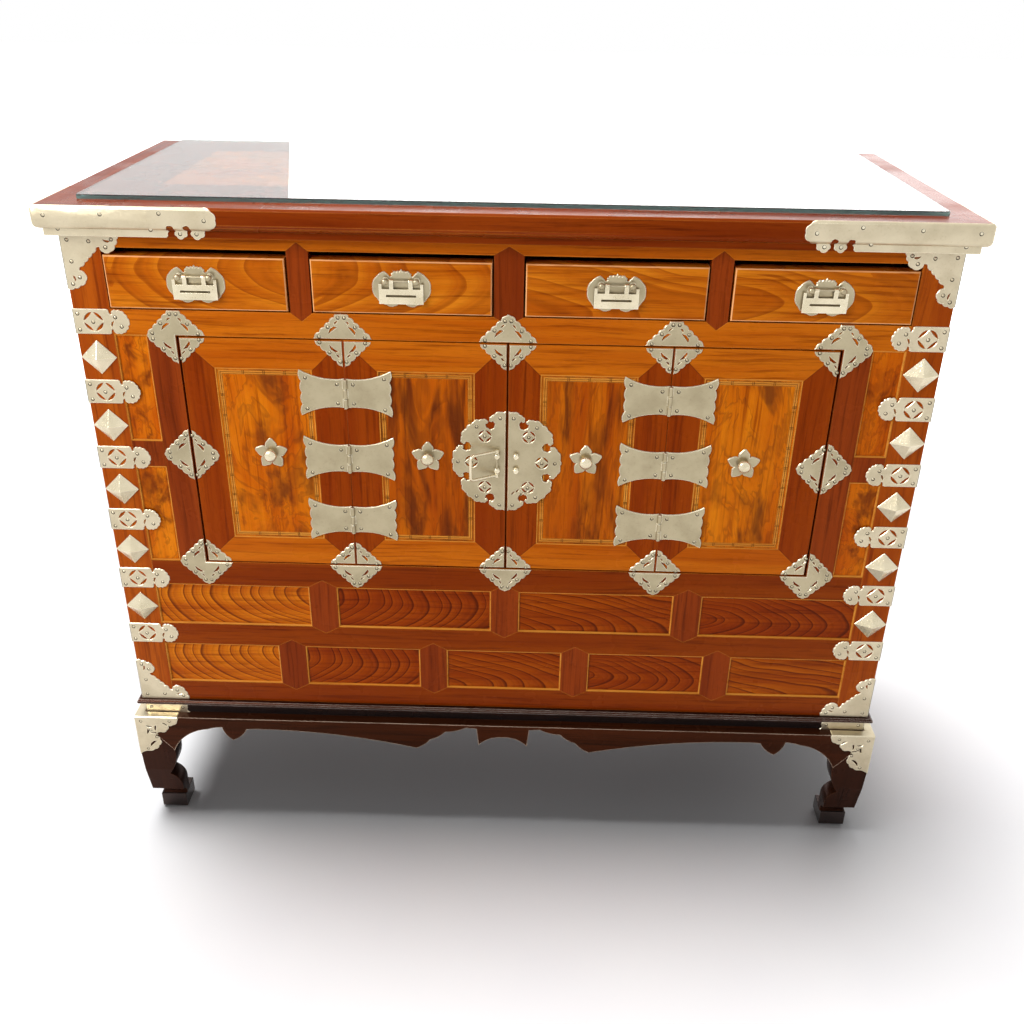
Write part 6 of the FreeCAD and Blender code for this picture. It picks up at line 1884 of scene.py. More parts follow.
@dataclass
class DiamondWork(Assembly):
    """Diamond plates that are split where leaves, stiles and rails meet."""

    reach: float = 35.0
    tip: float = 2.6
    scallops: int = 5

    def whole(self) -> list[Point]:
        """Give a whole diamond.

        Returns:
            Its outline round zero.
        """
        reach, tip = self.reach, self.tip
        shoulder = reach - tip
        corners = (
            ((shoulder, tip), (tip, shoulder)), ((-tip, shoulder), (-shoulder, tip)),
            ((-shoulder, -tip), (-tip, -shoulder)), ((tip, -shoulder), (shoulder, -tip)),
        )
        points: list[Point] = []
        for start, end in corners:
            if points:
                points.extend(bend(points[-1], start, -0.25, 4))
            else:
                points.append(start)
            for index in range(self.scallops):
                first, last = (
                    tuple(a + (b - a) * share for a, b in zip(start, end))
                    for share in (index / self.scallops, (index + 1) / self.scallops)
                )
                points.extend(bend(first, last, -0.2, 4))
        return points + bend(points[-1], corners[0][0], -0.25, 4)[:-1]

    def quarter_marks(self, sign_u: int, sign_v: int) -> tuple[list[list[Point]], list[Point]]:
        """Give the piercings and nails of a quarter.

        Args:
            sign_u: Side of the middle that the quarter is on along u.
            sign_v: Side that it is on along v.

        Returns:
            The slots and the places of the nails.
        """
        turn = math.atan2(-sign_v, sign_u) if sign_u > 0 else math.atan2(sign_v, -sign_u)
        lean = math.pi / 4 * (-1 if sign_u * sign_v > 0 else 1)
        slots = [
            comma_slot((sign_u * 11.2, sign_v * 11.2), 13, lean, sign_v),
            comma_slot((sign_u * 6.5, sign_v * 20.0), 5.5, turn, 1),
        ]
        nails = [(sign_u * 26.5, sign_v * 3.4), (sign_u * 3.6, sign_v * 26.5),
                 (sign_u * 15.6, sign_v * 15.2)]
        return slots, nails

    def part(
        self, x: float, z: float, quarters: Sequence[Point], edges: dict[str, float],
        corner: tuple[Point, Point] | None = None,
    ) -> Pattern:
        """Give the part of a diamond that lies on one piece of the chest.

        Args:
            x: Middle of the diamond.
            z: Middle of the diamond.
            quarters: Signs of the quarters that the part holds.
            edges: Lines that bound it, by "left", "right", "foot" and "head".
            corner: Inner corner and the signs in which the missing quarter opens.

        Returns:
            The part's pattern.
        """
        outline = [(u + x, v + z) for u, v in self.whole()]
        for name, axis, sign in (
            ("left", 0, 1), ("right", 0, -1), ("foot", 1, 1), ("head", 1, -1)
        ):
            if name in edges:
                outline = beyond(outline, axis, edges[name], sign)
        if corner:
            outline = less_corner(outline, *corner)
        pattern = Pattern(outline)
        for sign_u, sign_v in quarters:
            slots, nails = self.quarter_marks(sign_u, sign_v)
            for slot in slots:
                pattern.openings.append([(u + x, v + z) for u, v in slot])
            pattern.nails.extend((u + x, v + z) for u, v in nails)
        return pattern

    def build(self) -> None:
        """Add the parts that are fixed to the case."""
        piece = Workpiece("frame_diamonds")
        lay = before_case(PLACES.case_front)
        stops = {"foot": PLACES.upper_row[1] + 0.3, "head": PLACES.drawer_base - 0.3}
        for z, way in ((PLACES.door_base, -1), (PLACES.door_top, 1)):
            near, far = ("head", "foot") if way < 0 else ("foot", "head")
            line = z + way * PLACES.setback
            for x in (-PLACES.hinge_x, 0.0, PLACES.hinge_x):
                limits = {near: line}
                if way < 0 or x:
                    limits[far] = stops[far]
                piece.plate(self.part(x, z, [(-1, way), (1, way)], limits), lay)
            for side in Side:
                sign = side.value
                quarters = [
                    (u, v) for u in (-1, 1) for v in (-1, 1) if (u, v) != (-sign, -way)
                ]
                corner = ((sign * (PLACES.door_half + PLACES.setback), line), (-sign, -way))
                part = self.part(
                    sign * PLACES.door_half, z, quarters, {far: stops[far]}, corner
                )
                piece.plate(part, lay)
        for side in Side:
            sign = side.value
            near = "left" if side is Side.RIGHT else "right"
            limits = {near: sign * (PLACES.door_half + PLACES.setback)}
            quarters = [(sign, -1), (sign, 1)]
            part = self.part(sign * PLACES.door_half, PLACES.door_middle, quarters, limits)
            piece.plate(part, lay)
        piece.hand_over("case", self.wardrobe.metal(), ["diamond_plates"])

    def on_leaf(self, piece: Workpiece, side: Side, inner: bool) -> None:
        """Add the parts that are fixed to a leaf.

        Args:
            piece: Workpiece that takes the parts.
            side: Side of the chest.
            inner: Whether it is an inner leaf.
        """
        low, high = PLACES.leaf_span(side, inner)
        margin = PLACES.setback
        lay = before_case(PLACES.case_front)
        edges = {
            "left": low + margin, "right": high - margin,
            "foot": PLACES.door_base + PLACES.leaf_end_gap + margin,
            "head": PLACES.door_top - PLACES.leaf_end_gap - margin,
        }
        sign = side.value
        outer_x = sign * (PLACES.hinge_x if inner else PLACES.door_half)
        inner_x = 0.0 if inner else sign * PLACES.hinge_x
        for z, way in ((PLACES.door_base, 1), (PLACES.door_top, -1)):
            piece.plate(self.part(outer_x, z, [(-sign, way)], edges), lay)
            piece.plate(self.part(inner_x, z, [(sign, way)], edges), lay)
        if not inner:
            piece.plate(
                self.part(outer_x, PLACES.door_middle, [(-sign, -1), (-sign, 1)], edges), lay
            )


@dataclass
class LeafWork(Assembly):
    """One folding leaf: frame, bordered panel, hinges, knob and its half of the lock."""

    diamonds: DiamondWork
    side: Side
    inner: bool
    frame_width: float = 38.0
    frame_height: float = 36.0
    panel_recess: float = 0.8
    border_inset: float = 3.0
    border_width: float = 5.0
    border_depth: float = 0.6
    tick_pitch: float = 27.0
    hinge_pitch: float = 84.5
    hinge_reach: float = 54.0
    hinge_waist: float = 37.0
    hinge_end: float = 58.0
    barrel: float = 2.5
    knob_radius: float = 8.0
    knob_reach: float = 13.0
    petal_reach: float = 20.5
    knob_plate: float = 1.6
    pivot_x: float = 374.5
    pivot_half: float = 7.6
    lock_radius: float = 67.0

    @property
    def name(self) -> str:
        """Give the leaf's name."""
        return f"leaf_{'inner' if self.inner else 'outer'}_{self.side.name.lower()}"

    def build(self) -> None:
        """Dress the leaf and add its border and its metal."""
        low, high = PLACES.leaf_span(self.side, self.inner)
        self.dress(f"{self.name}_frame", f"{self.name}_wood", 0.7)
        figure = "inner_panel_wood" if self.inner else "outer_panel_wood"
        self.dress(f"{self.name}_panel", figure, 0.0)
        self.border(low, high)
        metal = Workpiece(f"{self.name}_metal")
        self.diamonds.on_leaf(metal, self.side, self.inner)
        for step in (-1, 0, 1):
            self.hinge(metal, PLACES.door_middle + self.hinge_pitch * step)
        bright = Workpiece(f"{self.name}_turned_metal")
        self.knob(metal, bright, (low + high) / 2, PLACES.door_middle + 4)
        if self.inner:
            self.lock(metal, bright)
        else:
            self.pivots(metal)
        metal.hand_over(
            self.name, self.wardrobe.metal(), [f"{self.name}_fittings"]
        )
        bright.hand_over(self.name, self.wardrobe.metal("bright_metal"))

    def border(self, low: float, high: float) -> None:
        """Add the two reeds of the border and their joints.

        Args:
            low: Left edge of the leaf.
            high: Right edge of the leaf.
        """
        face = PLACES.case_front + self.panel_recess + self.border_depth
        lay = before_case(face)
        left, right = low + self.frame_width, high - self.frame_width
        foot = PLACES.door_base + PLACES.leaf_end_gap + self.frame_height
        head = PLACES.door_top - PLACES.leaf_end_gap - self.frame_height
        reeds = Workpiece(f"{self.name}_border")
        width = self.border_width / 2 - 0.35
        section = [(0.0, 0.0), (width * 0.15, 0.62), (width * 0.5, 0.92), (width * 0.85, 0.62),
                   (width, 0.0)]
        for inset in (self.border_inset + 0.2, self.border_inset + width + 0.5):
            reeds.framing(
                (left + inset, foot + inset), (right - inset, head - inset), section, lay
            )
        edge = [(0.0, 0.0), (0.0, 1.3), (0.9, 1.5), (1.4, 1.2), (1.4, 0.0)]
        reeds.framing((left, foot), (right, head), edge, lay)
        reeds.hand_over(self.name, [self.wardrobe["bead_wood"]])
        ticks = Workpiece(f"{self.name}_border_joints")
        ground = [(2.2, 0.0), (2.2, 0.12), (8.8, 0.12), (8.8, 0.0)]
        ticks.framing((left, foot), (right, head), ground, lay)
        near, far = self.border_inset + 0.1, self.border_inset + self.border_width - 0.2
        for start, end, along_u in ((left, right, True), (foot, head, False)):
            count = int((end - start - 2 * far) / self.tick_pitch)
            pitch = (end - start - 2 * far) / (count + 1)
            for index in range(1, count + 1):
                place = start + far + pitch * index
                for spot in (place - 0.9, place + 0.9):
                    for edge in (
                        (foot if along_u else left) + near, (head if along_u else right) - far
                    ):
                        corners = ((spot - 0.3, edge), (spot + 0.3, edge + far - near))
                        if not along_u:
                            corners = [corner[::-1] for corner in corners]
                        ticks.block((*corners[0], 0.0), (*corners[1], 1.08), lay, 0.15)
        ticks.hand_over(self.name, [self.wardrobe["dark_inlay"]])

    def hinge(self, metal: Workpiece, z: float) -> None:
        """Add this leaf's half of a hinge.

        Args:
            metal: Workpiece that takes it.
            z: Middle of the hinge.
        """
        sign = self.side.value
        way = sign if not self.inner else -sign
        axis = sign * PLACES.hinge_x
        near = axis + way * 0.8
        far = axis + way * self.hinge_reach
        waist, end = self.hinge_waist / 2, self.hinge_end / 2
        curve = 0.085 * way
        scallops = 4
        steps: list[Step] = [(far, z - end, curve)]
        for index in range(1, scallops + 1):
            cut = way * 1.6 if index < scallops else 0.0
            steps.append((far - cut, z - end + 2 * end * index / scallops, -0.14 * way))
        steps.append((near, z + waist, curve))
        nails = [(axis + way * 9.5, z - 12), (axis + way * 9.5, z + 12),
                 (axis + way * 46.5, z - 19.5), (axis + way * 46.5, z + 19.5)]
        outline = trace((near, z - waist), steps)
        metal.plate(Pattern(outline, nails=nails), before_case(PLACES.case_front))
        third = (waist - 0.3) * 2 / 3
        for index in range(3):
            if (index == 1) == self.inner:
                low = z - third * 1.5 + third * index + (0.3 if index else 0)
                high = z - third * 1.5 + third * (index + 1) - (0.3 if index < 2 else 0)
                self.knuckle(metal, axis, low, high - low, way)

    def knuckle(self, metal: Workpiece, axis: float, low: float, length: float, way: int) -> None:
        """Add one knuckle of a hinge and the web that joins it to its plate.

        Args:
            metal: Workpiece that takes it.
            axis: Middle of the hinge along X.
            low: Foot of the knuckle.
            length: Its length.
            way: 1 where its plate lies right of it, -1 where it lies left.
        """
        radius, front = self.barrel, PLACES.case_front
        axis_y = front - radius - 0.2
        profile = ((radius - 0.35, 0.0), (radius, 0.35), (radius, length - 0.35),
                   (radius - 0.35, length))
        metal.turned(profile, shifted(on_level(low), axis, axis_y))
        web = [(axis, front - 0.2), (axis + way * 3.2, front - 0.2),
               (axis + way * 3.2, front - 1.1), (axis, axis_y - 0.4)]
        metal.take(flat_shape([web], length - 0.4, 0.05), on_level(low + 0.2))

    def knob(self, metal: Workpiece, bright: Workpiece, x: float, z: float) -> None:
        """Add the knob on its five-petalled plate.

        Args:
            metal: Workpiece that takes the plate.
            bright: Workpiece that takes the turned knob.
            x: Middle of the knob.
            z: Middle of the knob.
        """
        lay = before_case(PLACES.case_front + self.panel_recess)
        outline = []
        count = 120
        for index in range(count):
            turn = FULL_TURN * index / count
            share = abs(math.cos(2.5 * (turn - FULL_TURN / 4)))
            reach = self.petal_reach * (0.56 + 0.30 * share ** 0.6 + 0.14 * share ** 9)
            outline.append((x + reach * math.cos(turn), z + reach * math.sin(turn)))
        metal.plate(Pattern(outline), lay, self.knob_plate)
        radius, reach = self.knob_radius, self.knob_reach
        profile: list[Point] = [(5.2, 1.4), (5.2, 2.1), (3.6, 2.8), (3.4, 5.0), (5.4, 6.4),
                                (radius - 0.35, 7.6)]
        for step in range(7):
            turn = math.radians(12 + 13 * step)
            profile.append((radius * math.cos(turn), 7.9 + (reach - 7.9) * math.sin(turn)))
        profile.append((0.0, reach))
        bright.turned(profile, shifted(lay, x, z), 28)

    def lock_outline(self) -> list[Point]:
        """Give the whole flower plate of the lock.

        Returns:
            Its outline in the chest's X and Z.
        """
        petal: tuple[Step, ...] = (
            (0.00, 0.705, 0.20), (0.10, 0.745, 0.25), (0.125, 0.805, 0.20), (0.10, 0.840, 0.10),
            (0.050, 0.835, -0.30), (0.035, 0.885, -0.35), (0.11, 0.935, -0.25),
            (0.20, 0.955, -0.15), (0.34, 0.985, -0.22), (0.42, 0.975, -0.10),
            (0.58, 0.975, -0.22), (0.66, 0.985, -0.10), (0.80, 0.955, -0.22),
            (0.89, 0.935, -0.15), (0.965, 0.885, -0.25), (0.950, 0.835, -0.35),
            (0.90, 0.840, -0.30), (0.875, 0.805, 0.10), (0.90, 0.745, 0.20),
        )
        petals = 8
        turn = FULL_TURN / petals
        steps: list[Step] = []
        for index in range(petals):
            for share, reach, bulge in petal:
                angle = turn * (index - 0.5 + share)
                distance = self.lock_radius * reach
                steps.append((
                    distance * math.cos(angle), PLACES.door_middle + distance * math.sin(angle),
                    bulge,
                ))
        return trace(steps[0][:2], steps[1:])

    def lock(self, metal: Workpiece, bright: Workpiece) -> None:
        """Add this leaf's half of the lock's plate and its two posts.

        Args:
            metal: Workpiece that takes the plate.
            bright: Workpiece that takes the posts.
        """
        sign = self.side.value
        line = sign * (PLACES.meeting_gap / 2 + PLACES.setback)
        outline = beyond(self.lock_outline(), 0, line, sign)
        middle = PLACES.door_middle
        openings: list[list[Point]] = []
        nails: list[Point] = []
        for angle in (-52, 0, 52):
            turn = math.radians(angle)
            place = (sign * 43 * math.cos(turn), middle + 43 * math.sin(turn))
            openings.extend(coin_slots(place, 7.6))
            nails.append(place)
            nails.append((sign * 59 * math.cos(turn), middle + 59 * math.sin(turn)))
        for up in (-1, 1):
            nails.append((sign * 8, middle + up * 58))
        if self.side is Side.RIGHT:
            for step, drop in enumerate((-42, -39, -43, -40)):
                openings.append(comma_slot((8.5 + 5.2 * step, middle + drop), 6.5, 0.9, 1))
        lay = before_case(PLACES.case_front)
        metal.plate(Pattern(outline, openings, nails), lay)
        for up in (-1, 1):
            z = middle + up * 9.5
            profile = ((2.6, 1.0), (2.6, 1.9), (1.8, 2.2), (1.8, 5.9), (3.4, 6.3), (3.4, 7.4),
                       (2.6, 8.2), (0.0, 8.5))
            bright.turned(profile, shifted(lay, sign * PLACES.hasp_x, z))
        if self.side is Side.LEFT:
            route = [
                (-PLACES.hasp_x, PLACES.hasp_y, middle - 18.2),
                (-PLACES.hasp_x, PLACES.hasp_y, middle + 18.2),
            ]
            metal.tube(route, 1.2, on_level(0.0))

    def pivots(self, metal: Workpiece) -> None:
        """Add the pins at the foot and head of an outer leaf.

        Args:
            metal: Workpiece that takes them.
        """
        ends = (PLACES.door_base + PLACES.leaf_end_gap, PLACES.door_top - PLACES.leaf_end_gap)
        for level in ends:
            spot = shifted(on_level(level), self.side.value * self.pivot_x, PLACES.case_front + 6)
            metal.turned(((2.5, -self.pivot_half), (2.5, self.pivot_half)), spot)


@dataclass
class HaspWork(Assembly):
    """The bent rod of the lock."""

    arm: float = 36.0
    spread: float = 32.0
    rod: float = 1.9
    bend_radius: float = 5.0
    rest_angle: float = 30.0

    def build(self) -> None:
        """Add the hasp as one smooth rod with flattened eyes."""
        piece = Workpiece("hasp_rod")
        half = self.spread / 2
        route: list[tuple[float, float, float]] = [(-2.6, 0.0, half)]
        corner = self.bend_radius
        for sign in (1, -1):
            for step in range(7):
                turn = math.radians(15 * step if sign > 0 else 90 - 15 * step)
                route.append((
                    corner - self.arm - corner * math.sin(turn), 0.0,
                    sign * (half - corner + corner * math.cos(turn)),
                ))
        route.append((-2.6, 0.0, -half))
        origin = Vector((-PLACES.hasp_x, PLACES.hasp_y, PLACES.door_middle)) * MM
        turn = Matrix.Rotation(math.radians(self.rest_angle), 3, "Z")
        lay = on_axes(origin, *turn.transposed())
        piece.tube(route, self.rod, lay)
        for height in (half, -half):
            profile = ((1.5, -2.4), (2.5, -2.2), (2.5, 2.2), (1.5, 2.4))
            piece.turned(profile, shifted(lay, 0.0, 0.0, height))
        piece.hand_over("hasp", self.wardrobe.metal("bright_metal"), ["hasp"])


@dataclass
class DrawerWork(Assembly):
    """One drawer: front, box, shaped plate and hanging pull."""

    number: int
    width: float = 66.0
    height: float = 43.0
    stud_reach: float = 17.5
    stud_lift: float = 9.0
    plate_half: tuple[Step, ...] = (
        (0.05, 0.88, 0.10), (0.16, 0.86, 0.30), (0.29, 0.80, 0.35), (0.33, 0.66, 0.35),
        (0.40, 0.62, -0.20), (0.58, 0.88, 0.05), (0.86, 0.58, 0.08), (1.00, 0.02, 0.13),
        (0.86, -0.55, 0.13), (0.52, -0.92, 0.13), (0.24, -0.97, 0.16), (0.12, -0.82, 0.16),
        (0.00, -0.80, 0.00),
    )

    def build(self) -> None:
        """Dress the drawer and add its pull."""
        name = f"drawer_{self.number}"
        self.dress(f"{name}_front", "drawer_wood", 0.0)
        self.dress(f"{name}_box", "plain_wood_deep")
        self.dress(f"{name}_bail", "bright_metal", 0.25)
        low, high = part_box(f"{name}_front")
        x, z = (low.x + high.x) / 2 / MM, (low.z + high.z) / 2 / MM
        face = low.y / MM
        half = (self.width / 2, self.height / 2)
        right = trace((0.0, half[1]), scaled(self.plate_half, (0.0, 0.0), half))
        left = [(-u, v) for u, v in right[-2:0:-1]]
        lay = before_case(face)
        piece = Workpiece(f"{name}_pull")
        piece.plate(Pattern([(x + u, z + v) for u, v in right + left]), lay)
        profile = ((3.4, 1.0), (3.4, 1.7), (1.6, 2.1), (1.6, 8.0), (3.8, 8.3), (3.8, 9.4),
                   (3.0, 10.5), (1.6, 11.2), (0.0, 11.3))
        studs = [x + side.value * self.stud_reach for side in Side]
        for stud in studs:
            piece.turned(profile, shifted(lay, stud, z + self.stud_lift), 8)
        axis_y = face - PLACES.plate - 4
        route = [(stud, axis_y, z + self.stud_lift) for stud in studs]
        piece.tube(route, 1.0, on_level(0.0))
        piece.hand_over(name, self.wardrobe.metal(), [f"{name}_pull_plate"])


# Studio


@dataclass
class Studio:
    """Floor, lamps, surroundings and the camera."""

    focal_pixels: float = 1061.4
    image_pixels: float = 1024.0
    sensor: float = 36.0
    eye: tuple[float, float, float] = (0.0271, -1.3787, 1.1185)
    pitch: float = 27.6
    yaw: float = -0.95
    roll: float = 0.95
    room_light: float = 0.15

    def build(self, wardrobe: Wardrobe) -> None:
        """Set up the camera, the room, the floor and the lamps.

        Args:
            wardrobe: Source of the floor's finish.
        """
        self.camera()
        self.room()
        self.lamps(self.floor(wardrobe))
        bpy.context.scene.view_settings.view_transform = "Standard"

    def camera(self) -> None:
        """Add the camera where the picture was taken from."""
        pitch, yaw, roll = (math.radians(angle) for angle in (self.pitch, self.yaw, self.roll))
        ahead = Vector((
            math.sin(yaw) * math.cos(pitch), math.cos(yaw) * math.cos(pitch), -math.sin(pitch)
        ))
        right = Vector((math.cos(yaw), -math.sin(yaw), 0.0))
        up = right.cross(ahead)
        aside = right * math.cos(roll) + up * math.sin(roll)
        above = up * math.cos(roll) - right * math.sin(roll)
        data = bpy.data.cameras.new("eye")
        data.sensor_width = self.sensor
        data.sensor_fit = "HORIZONTAL"
        data.lens = self.sensor * self.focal_pixels / self.image_pixels
        camera = bpy.data.objects.new("eye", data)
        turn = Matrix((aside, above, -ahead)).transposed()
        camera.matrix_world = Matrix.Translation(self.eye) @ turn.to_4x4()
        bpy.context.scene.collection.objects.link(camera)
        bpy.context.scene.camera = camera

    def room(self) -> None:
        """Surround the chest with plain light that looks white."""
        world = bpy.data.worlds.new("room")
        world.use_nodes = True
        world.node_tree.nodes.clear()
        weave = Weave(world.node_tree)
        rays = weave.add("LightPath").outputs
        seen = weave.sum("MAXIMUM", rays["Is Glossy Ray"], rays["Is Transmission Ray"])
        seen = weave.sum("MAXIMUM", rays["Is Camera Ray"], seen)
        strength = weave.span(seen, 0, 1, self.room_light, 1.0, soft=False)
        light = weave.add("Background", {0: shade(255, 255, 255), 1: strength})
        leave = weave.add("OutputWorld")
        world.node_tree.links.new(light.outputs[0], leave.inputs[0])
        bpy.context.scene.world = world

    def hang(self, data: bpy.types.Light, way: Vector) -> bpy.types.Object:
        """Add a lamp to the scene and turn it.

        Args:
            data: The lamp's light.
            way: Where it shines.

        Returns:
            The lamp.
        """
        lamp = bpy.data.objects.new(data.name, data)
        lamp.rotation_euler = way.to_track_quat("-Z", "Y").to_euler()
        bpy.context.scene.collection.objects.link(lamp)
        return lamp

    def lamps(self, floor: bpy.types.Object) -> None:
        """Add a soft light from high behind, a tall screen for the top and a lamp in front.

        Args:
            floor: The floor, which the front lamp leaves out so that the shadow stays deep.
        """
        spared = bpy.data.collections.new("spared_by_front_lamp")
        spared.objects.link(floor)
        spared.collection_objects[0].light_linking.link_state = "EXCLUDE"
        for name, power, width, height, place in (
            ("back_screen", 40.0, 4.4, 1.7, (1.1, 3.2, 1.55)),
            ("front_lamp", 74.0, 1.6, 1.2, (-1.9, -1.7, 2.1)),
        ):
            data = bpy.data.lights.new(name, "AREA")
            data.shape = "RECTANGLE"
            data.energy = power
            data.size = width
            data.size_y = height
            lamp = self.hang(data, Vector((place[0] * 0.6, 0.0, 0.5)) - Vector(place))
            lamp.visible_camera = False
            lamp.location = place
            if name == "front_lamp":
                lamp.light_linking.receiver_collection = spared
        sky = bpy.data.lights.new("high_light", "SUN")
        sky.energy = 3.35
        sky.angle = math.radians(30)
        self.hang(sky, Vector((0.20, -0.17, -1.0)))

    def floor(self, wardrobe: Wardrobe) -> bpy.types.Object:
        """Lay the pale floor.

        Args:
            wardrobe: Source of its finish.

        Returns:
            The floor.
        """
        mesh = bpy.data.meshes.new("floor")
        corners = rectangle((-14.0, -14.0), (14.0, 14.0), 0.0)
        mesh.from_pydata([(*corner, 0.0) for corner in corners], [], [(0, 1, 2, 3)])
        mesh.materials.append(wardrobe["floor_paint"])
        floor = bpy.data.objects.new("floor", mesh)
        bpy.context.scene.collection.objects.link(floor)
        return floor


def tones(*levels: tuple[int, int, int]) -> dict[str, Colour]:
    """Name the light, the middle and the dark tone of a wood, given as seen on a screen."""
    return dict(zip(("light", "middle", "dark"), (shade(*level) for level in levels)))


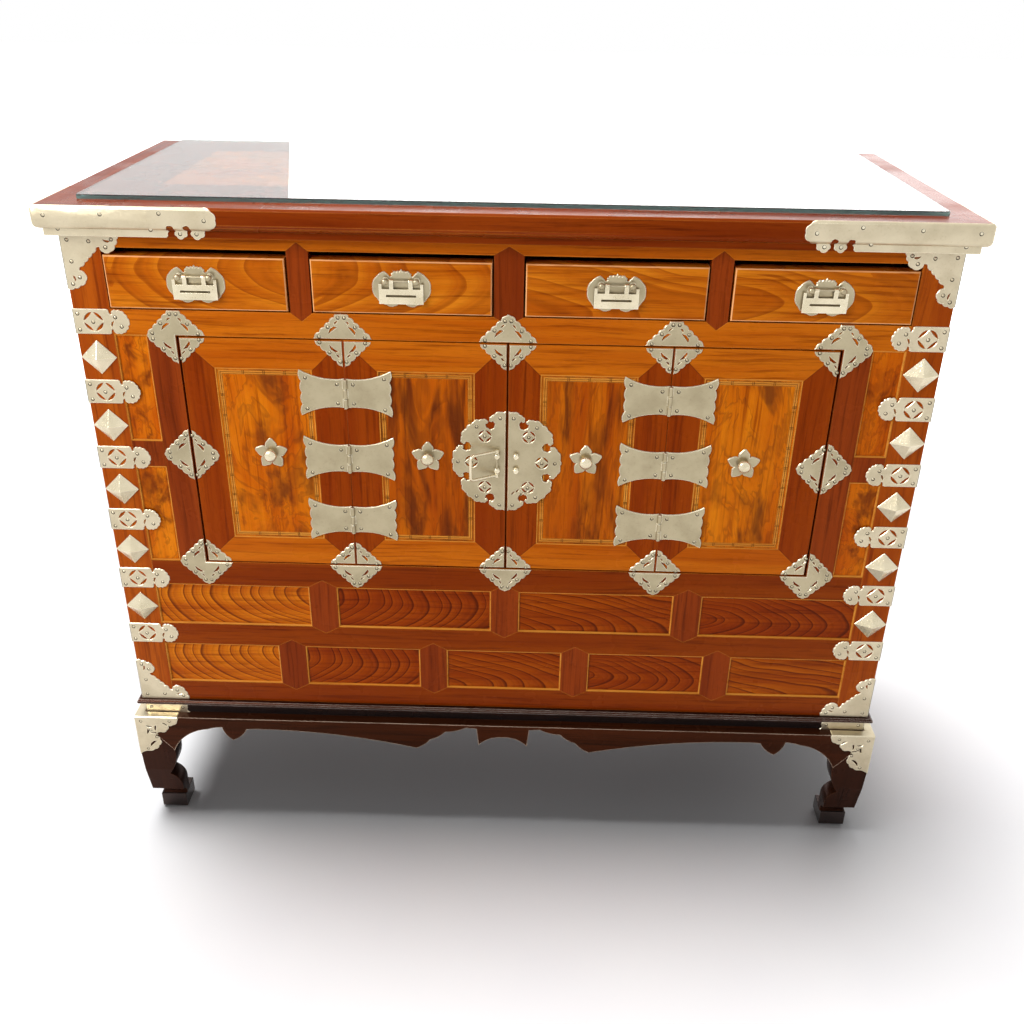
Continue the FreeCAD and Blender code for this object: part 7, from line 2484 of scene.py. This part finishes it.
def finishes() -> list[Finish]:
    """List the finishes of the chest.

    Returns:
        Every finish by its own name.
    """
    red = tones((146, 60, 10), (122, 43, 5), (82, 23, 2))
    orange = tones((192, 102, 14), (172, 80, 6), (112, 42, 2))
    amber = tones((202, 113, 16), (182, 89, 8), (124, 48, 4))
    gold = tones((216, 124, 14), (196, 98, 6), (136, 56, 3))
    plain = tones((206, 172, 122), (190, 152, 100), (150, 112, 66))
    plain_look = dict(coat=0.0, gloss=0.55, dull=0.75, edge_wear_and_highlight_share=0.2, edge_wear_and_highlight=shade(222, 196, 150))
    deep, upright, flat = GrainWay.DEEP, GrainWay.UPRIGHT, GrainWay.FLAT
    ringed, clouded = Figure.RINGED, Figure.CLOUDED
    leaves = dict(cell_start=(-0.38325, -1.0, -1.0), cell_pitch=(0.191625, 3.0, 3.0))
    items: list[Finish] = [
        WoodFinish("post_wood", **tones((166, 78, 12), (146, 59, 7), (98, 31, 3)), way=upright),
        WoodFinish("frame_wood_deep", **red, way=deep),
        WoodFinish("frame_wood_along", **red),
        WoodFinish(
            "divider_wood", **tones((136, 54, 13), (114, 40, 8), (74, 22, 4)), way=upright,
            edge_wear_and_highlight_share=0.15,
        ),
        WoodFinish(
            "rail_wood_front", **orange, low_tone=shade(176, 144, 136),
            cell_start=(-1.0, -1.0, 0.1925), cell_pitch=(3.0, 3.0, 0.118),
        ),
        # The wide light edge of the drawer fronts is part wear and part painted highlight.
        WoodFinish(
            "drawer_wood", **tones((206, 120, 22), (186, 96, 11), (124, 52, 4)), figure=ringed,
            spacing=0.013, slant=0.24, line_share=0.3, edge_wear_and_highlight_share=1.0, square=1.0,
            edge_wear_and_highlight=shade(232, 170, 112), gloss=0.14,
            cell_start=(-0.457, -1.0, 0.75), cell_pitch=(0.2285, 3.0, 0.075),
        ),
        WoodFinish(
            "top_wood", **tones((134, 54, 8), (112, 38, 4), (74, 20, 2)), way=flat,
            mitre_middle=(0.0, 0.0006, 0.0), mitre_half=(0.517, 0.229, 1.0),
            edge_wear_and_highlight_share=0.3, shine=0.12,
        ),
        WoodFinish("top_panel_wood", **gold, way=flat, figure=clouded, line_share=0.55),
        WoodFinish(
            "outer_panel_wood", **gold, **leaves, way=upright, figure=clouded,
            line=shade(78, 32, 14), line_share=0.78,
        ),
        WoodFinish(
            "inner_panel_wood", **tones((198, 104, 10), (176, 80, 5), (112, 42, 2)), **leaves,
            way=upright, figure=clouded, stretch=(4.0, 22.0, 22.0), line=shade(74, 28, 10),
            line_share=0.85,
        ),
        WoodFinish(
            "side_panel_wood", **orange, way=deep, figure=ringed, spacing=0.011, slant=0.2,
            line_share=0.45, cell_start=(-1.0, -0.4, 0.20), cell_pitch=(1.0, 0.8, 0.27),
        ),
        WoodFinish("back_panel_wood", **orange, coat=0.1, gloss=0.45, dull=0.6),
        WoodFinish(
            "flank_panel_wood", **gold, way=upright, figure=clouded, stretch=(16.0, 26.0, 26.0),
            line_share=0.75, cell_start=(-0.457, -1.0, 0.422), cell_pitch=(0.457, 3.0, 0.151),
        ),
        WoodFinish(
            "upper_panel_wood", **amber, figure=ringed, uneven=1.0,
            cell_start=(-0.475, -1.0, 0.31), cell_pitch=(0.2375, 3.0, 0.0925),
        ),
        WoodFinish(
            "lower_panel_wood", **amber, figure=ringed, uneven=1.0,
            cell_start=(-0.475, -1.0, 0.215), cell_pitch=(0.19, 3.0, 0.094),
        ),
        WoodFinish("plain_wood", **plain, **plain_look),
        WoodFinish("plain_wood_deep", **plain, **plain_look, way=deep),
        # The near-white edge line of the cap is a painted highlight.
        WoodFinish(
            "cap_wood", **tones((46, 22, 12), (34, 15, 8), (20, 9, 5)), edge_wear_and_highlight_share=1.0,
            edge_wear_and_highlight=shade(232, 222, 212), edge_wear_and_highlight_reach=0.0018, shine=0.2,
        ),
        # The light line along the apron's top edge is a painted highlight.
        WoodFinish(
            "apron_wood", **tones((60, 26, 9), (40, 17, 6), (20, 9, 4)), way=flat, shine=0.14,
            mitre_middle=(0.0, 0.0066, 0.0), mitre_half=(0.512, 0.223, 1.0), edge_wear_and_highlight_share=1.0,
            edge_wear_and_highlight=shade(214, 190, 168),
        ),
        WoodFinish(
            "leg_wood", **tones((42, 20, 11), (30, 13, 7), (16, 7, 4)), way=upright, shine=0.16,
            edge_wear_and_highlight_share=0.3, edge_wear_and_highlight=shade(120, 84, 62),
        ),
        WoodFinish(
            "black_lacquer", **tones((26, 24, 24), (20, 18, 18), (12, 11, 11)), gloss=0.16,
            dull=0.3, coat=0.6, edge_wear_and_highlight_share=0.4, edge_wear_and_highlight=shade(84, 76, 72),
        ),
        WoodFinish(
            "bead_wood", **tones((210, 142, 56), (192, 118, 38), (146, 78, 20)), edge_wear_and_highlight_share=0.3
        ),
        WoodFinish(
            "dark_inlay", **tones((70, 34, 12), (56, 26, 9), (38, 16, 6)), edge_wear_and_highlight_share=0.2
        ),
        MetalFinish("pale_metal"),
        # Lighter, glossier copy of the pale metal: the gloss is polish, the lighter colour is painted
        # light.
        MetalFinish(
            "bright_metal", bright=shade(232, 220, 190), worn=shade(186, 172, 138), gloss=0.16,
            dull=0.28,
        ),
        # Lighter copy of the pale metal, painted as if the straps and corner trim catch more light.
        MetalFinish("strap_metal", bright=shade(210, 197, 168), worn=shade(176, 162, 133)),
        # Dark metal that paints the shadow round each nail head.
        MetalFinish(
            "grime", bright=shade(64, 52, 36), worn=shade(40, 31, 21), rim=shade(80, 66, 46),
            gloss=0.4, dull=0.6,
        ),
        GlassFinish("sheet_glass"),
        FloorFinish("floor_paint"),
    ]
    middle, foot = PLACES.door_middle, PLACES.door_base + PLACES.leaf_end_gap
    for side in Side:
        for inner in (False, True):
            low, high = PLACES.leaf_span(side, inner)
            name = f"leaf_{'inner' if inner else 'outer'}_{side.name.lower()}_wood"
            items.append(WoodFinish(
                name, **orange, mitre_middle=((low + high) / 2 * MM, middle * MM, 0.0),
                mitre_half=((high - low) / 2 * MM, (middle - foot) * MM, 1.0),
                stile_tone=shade(188, 148, 126), edge_wear_and_highlight_share=0.3, edge_wear_and_highlight=shade(196, 108, 34),
            ))
    return items


def main() -> None:
    """Load the frame and build every sub-assembly in order."""
    logging.basicConfig(level=logging.INFO, format="%(name)s: %(message)s")
    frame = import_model()
    nodes = frame["nodes"]
    wardrobe = Wardrobe(finishes())
    Studio().build(wardrobe)
    CaseWork(nodes, wardrobe).build()
    TopWork(nodes, wardrobe).build()
    StandWork(nodes, wardrobe).build()
    CornerWork(nodes, wardrobe).build()
    diamonds = DiamondWork(nodes, wardrobe)
    diamonds.build()
    for number in range(1, 5):
        DrawerWork(nodes, wardrobe, number).build()
    for side in Side:
        for inner in (False, True):
            LeafWork(nodes, wardrobe, diamonds, side, inner).build()
    HaspWork(nodes, wardrobe).build()
    bpy.context.view_layer.update()


if __name__ == "__main__":
    main()
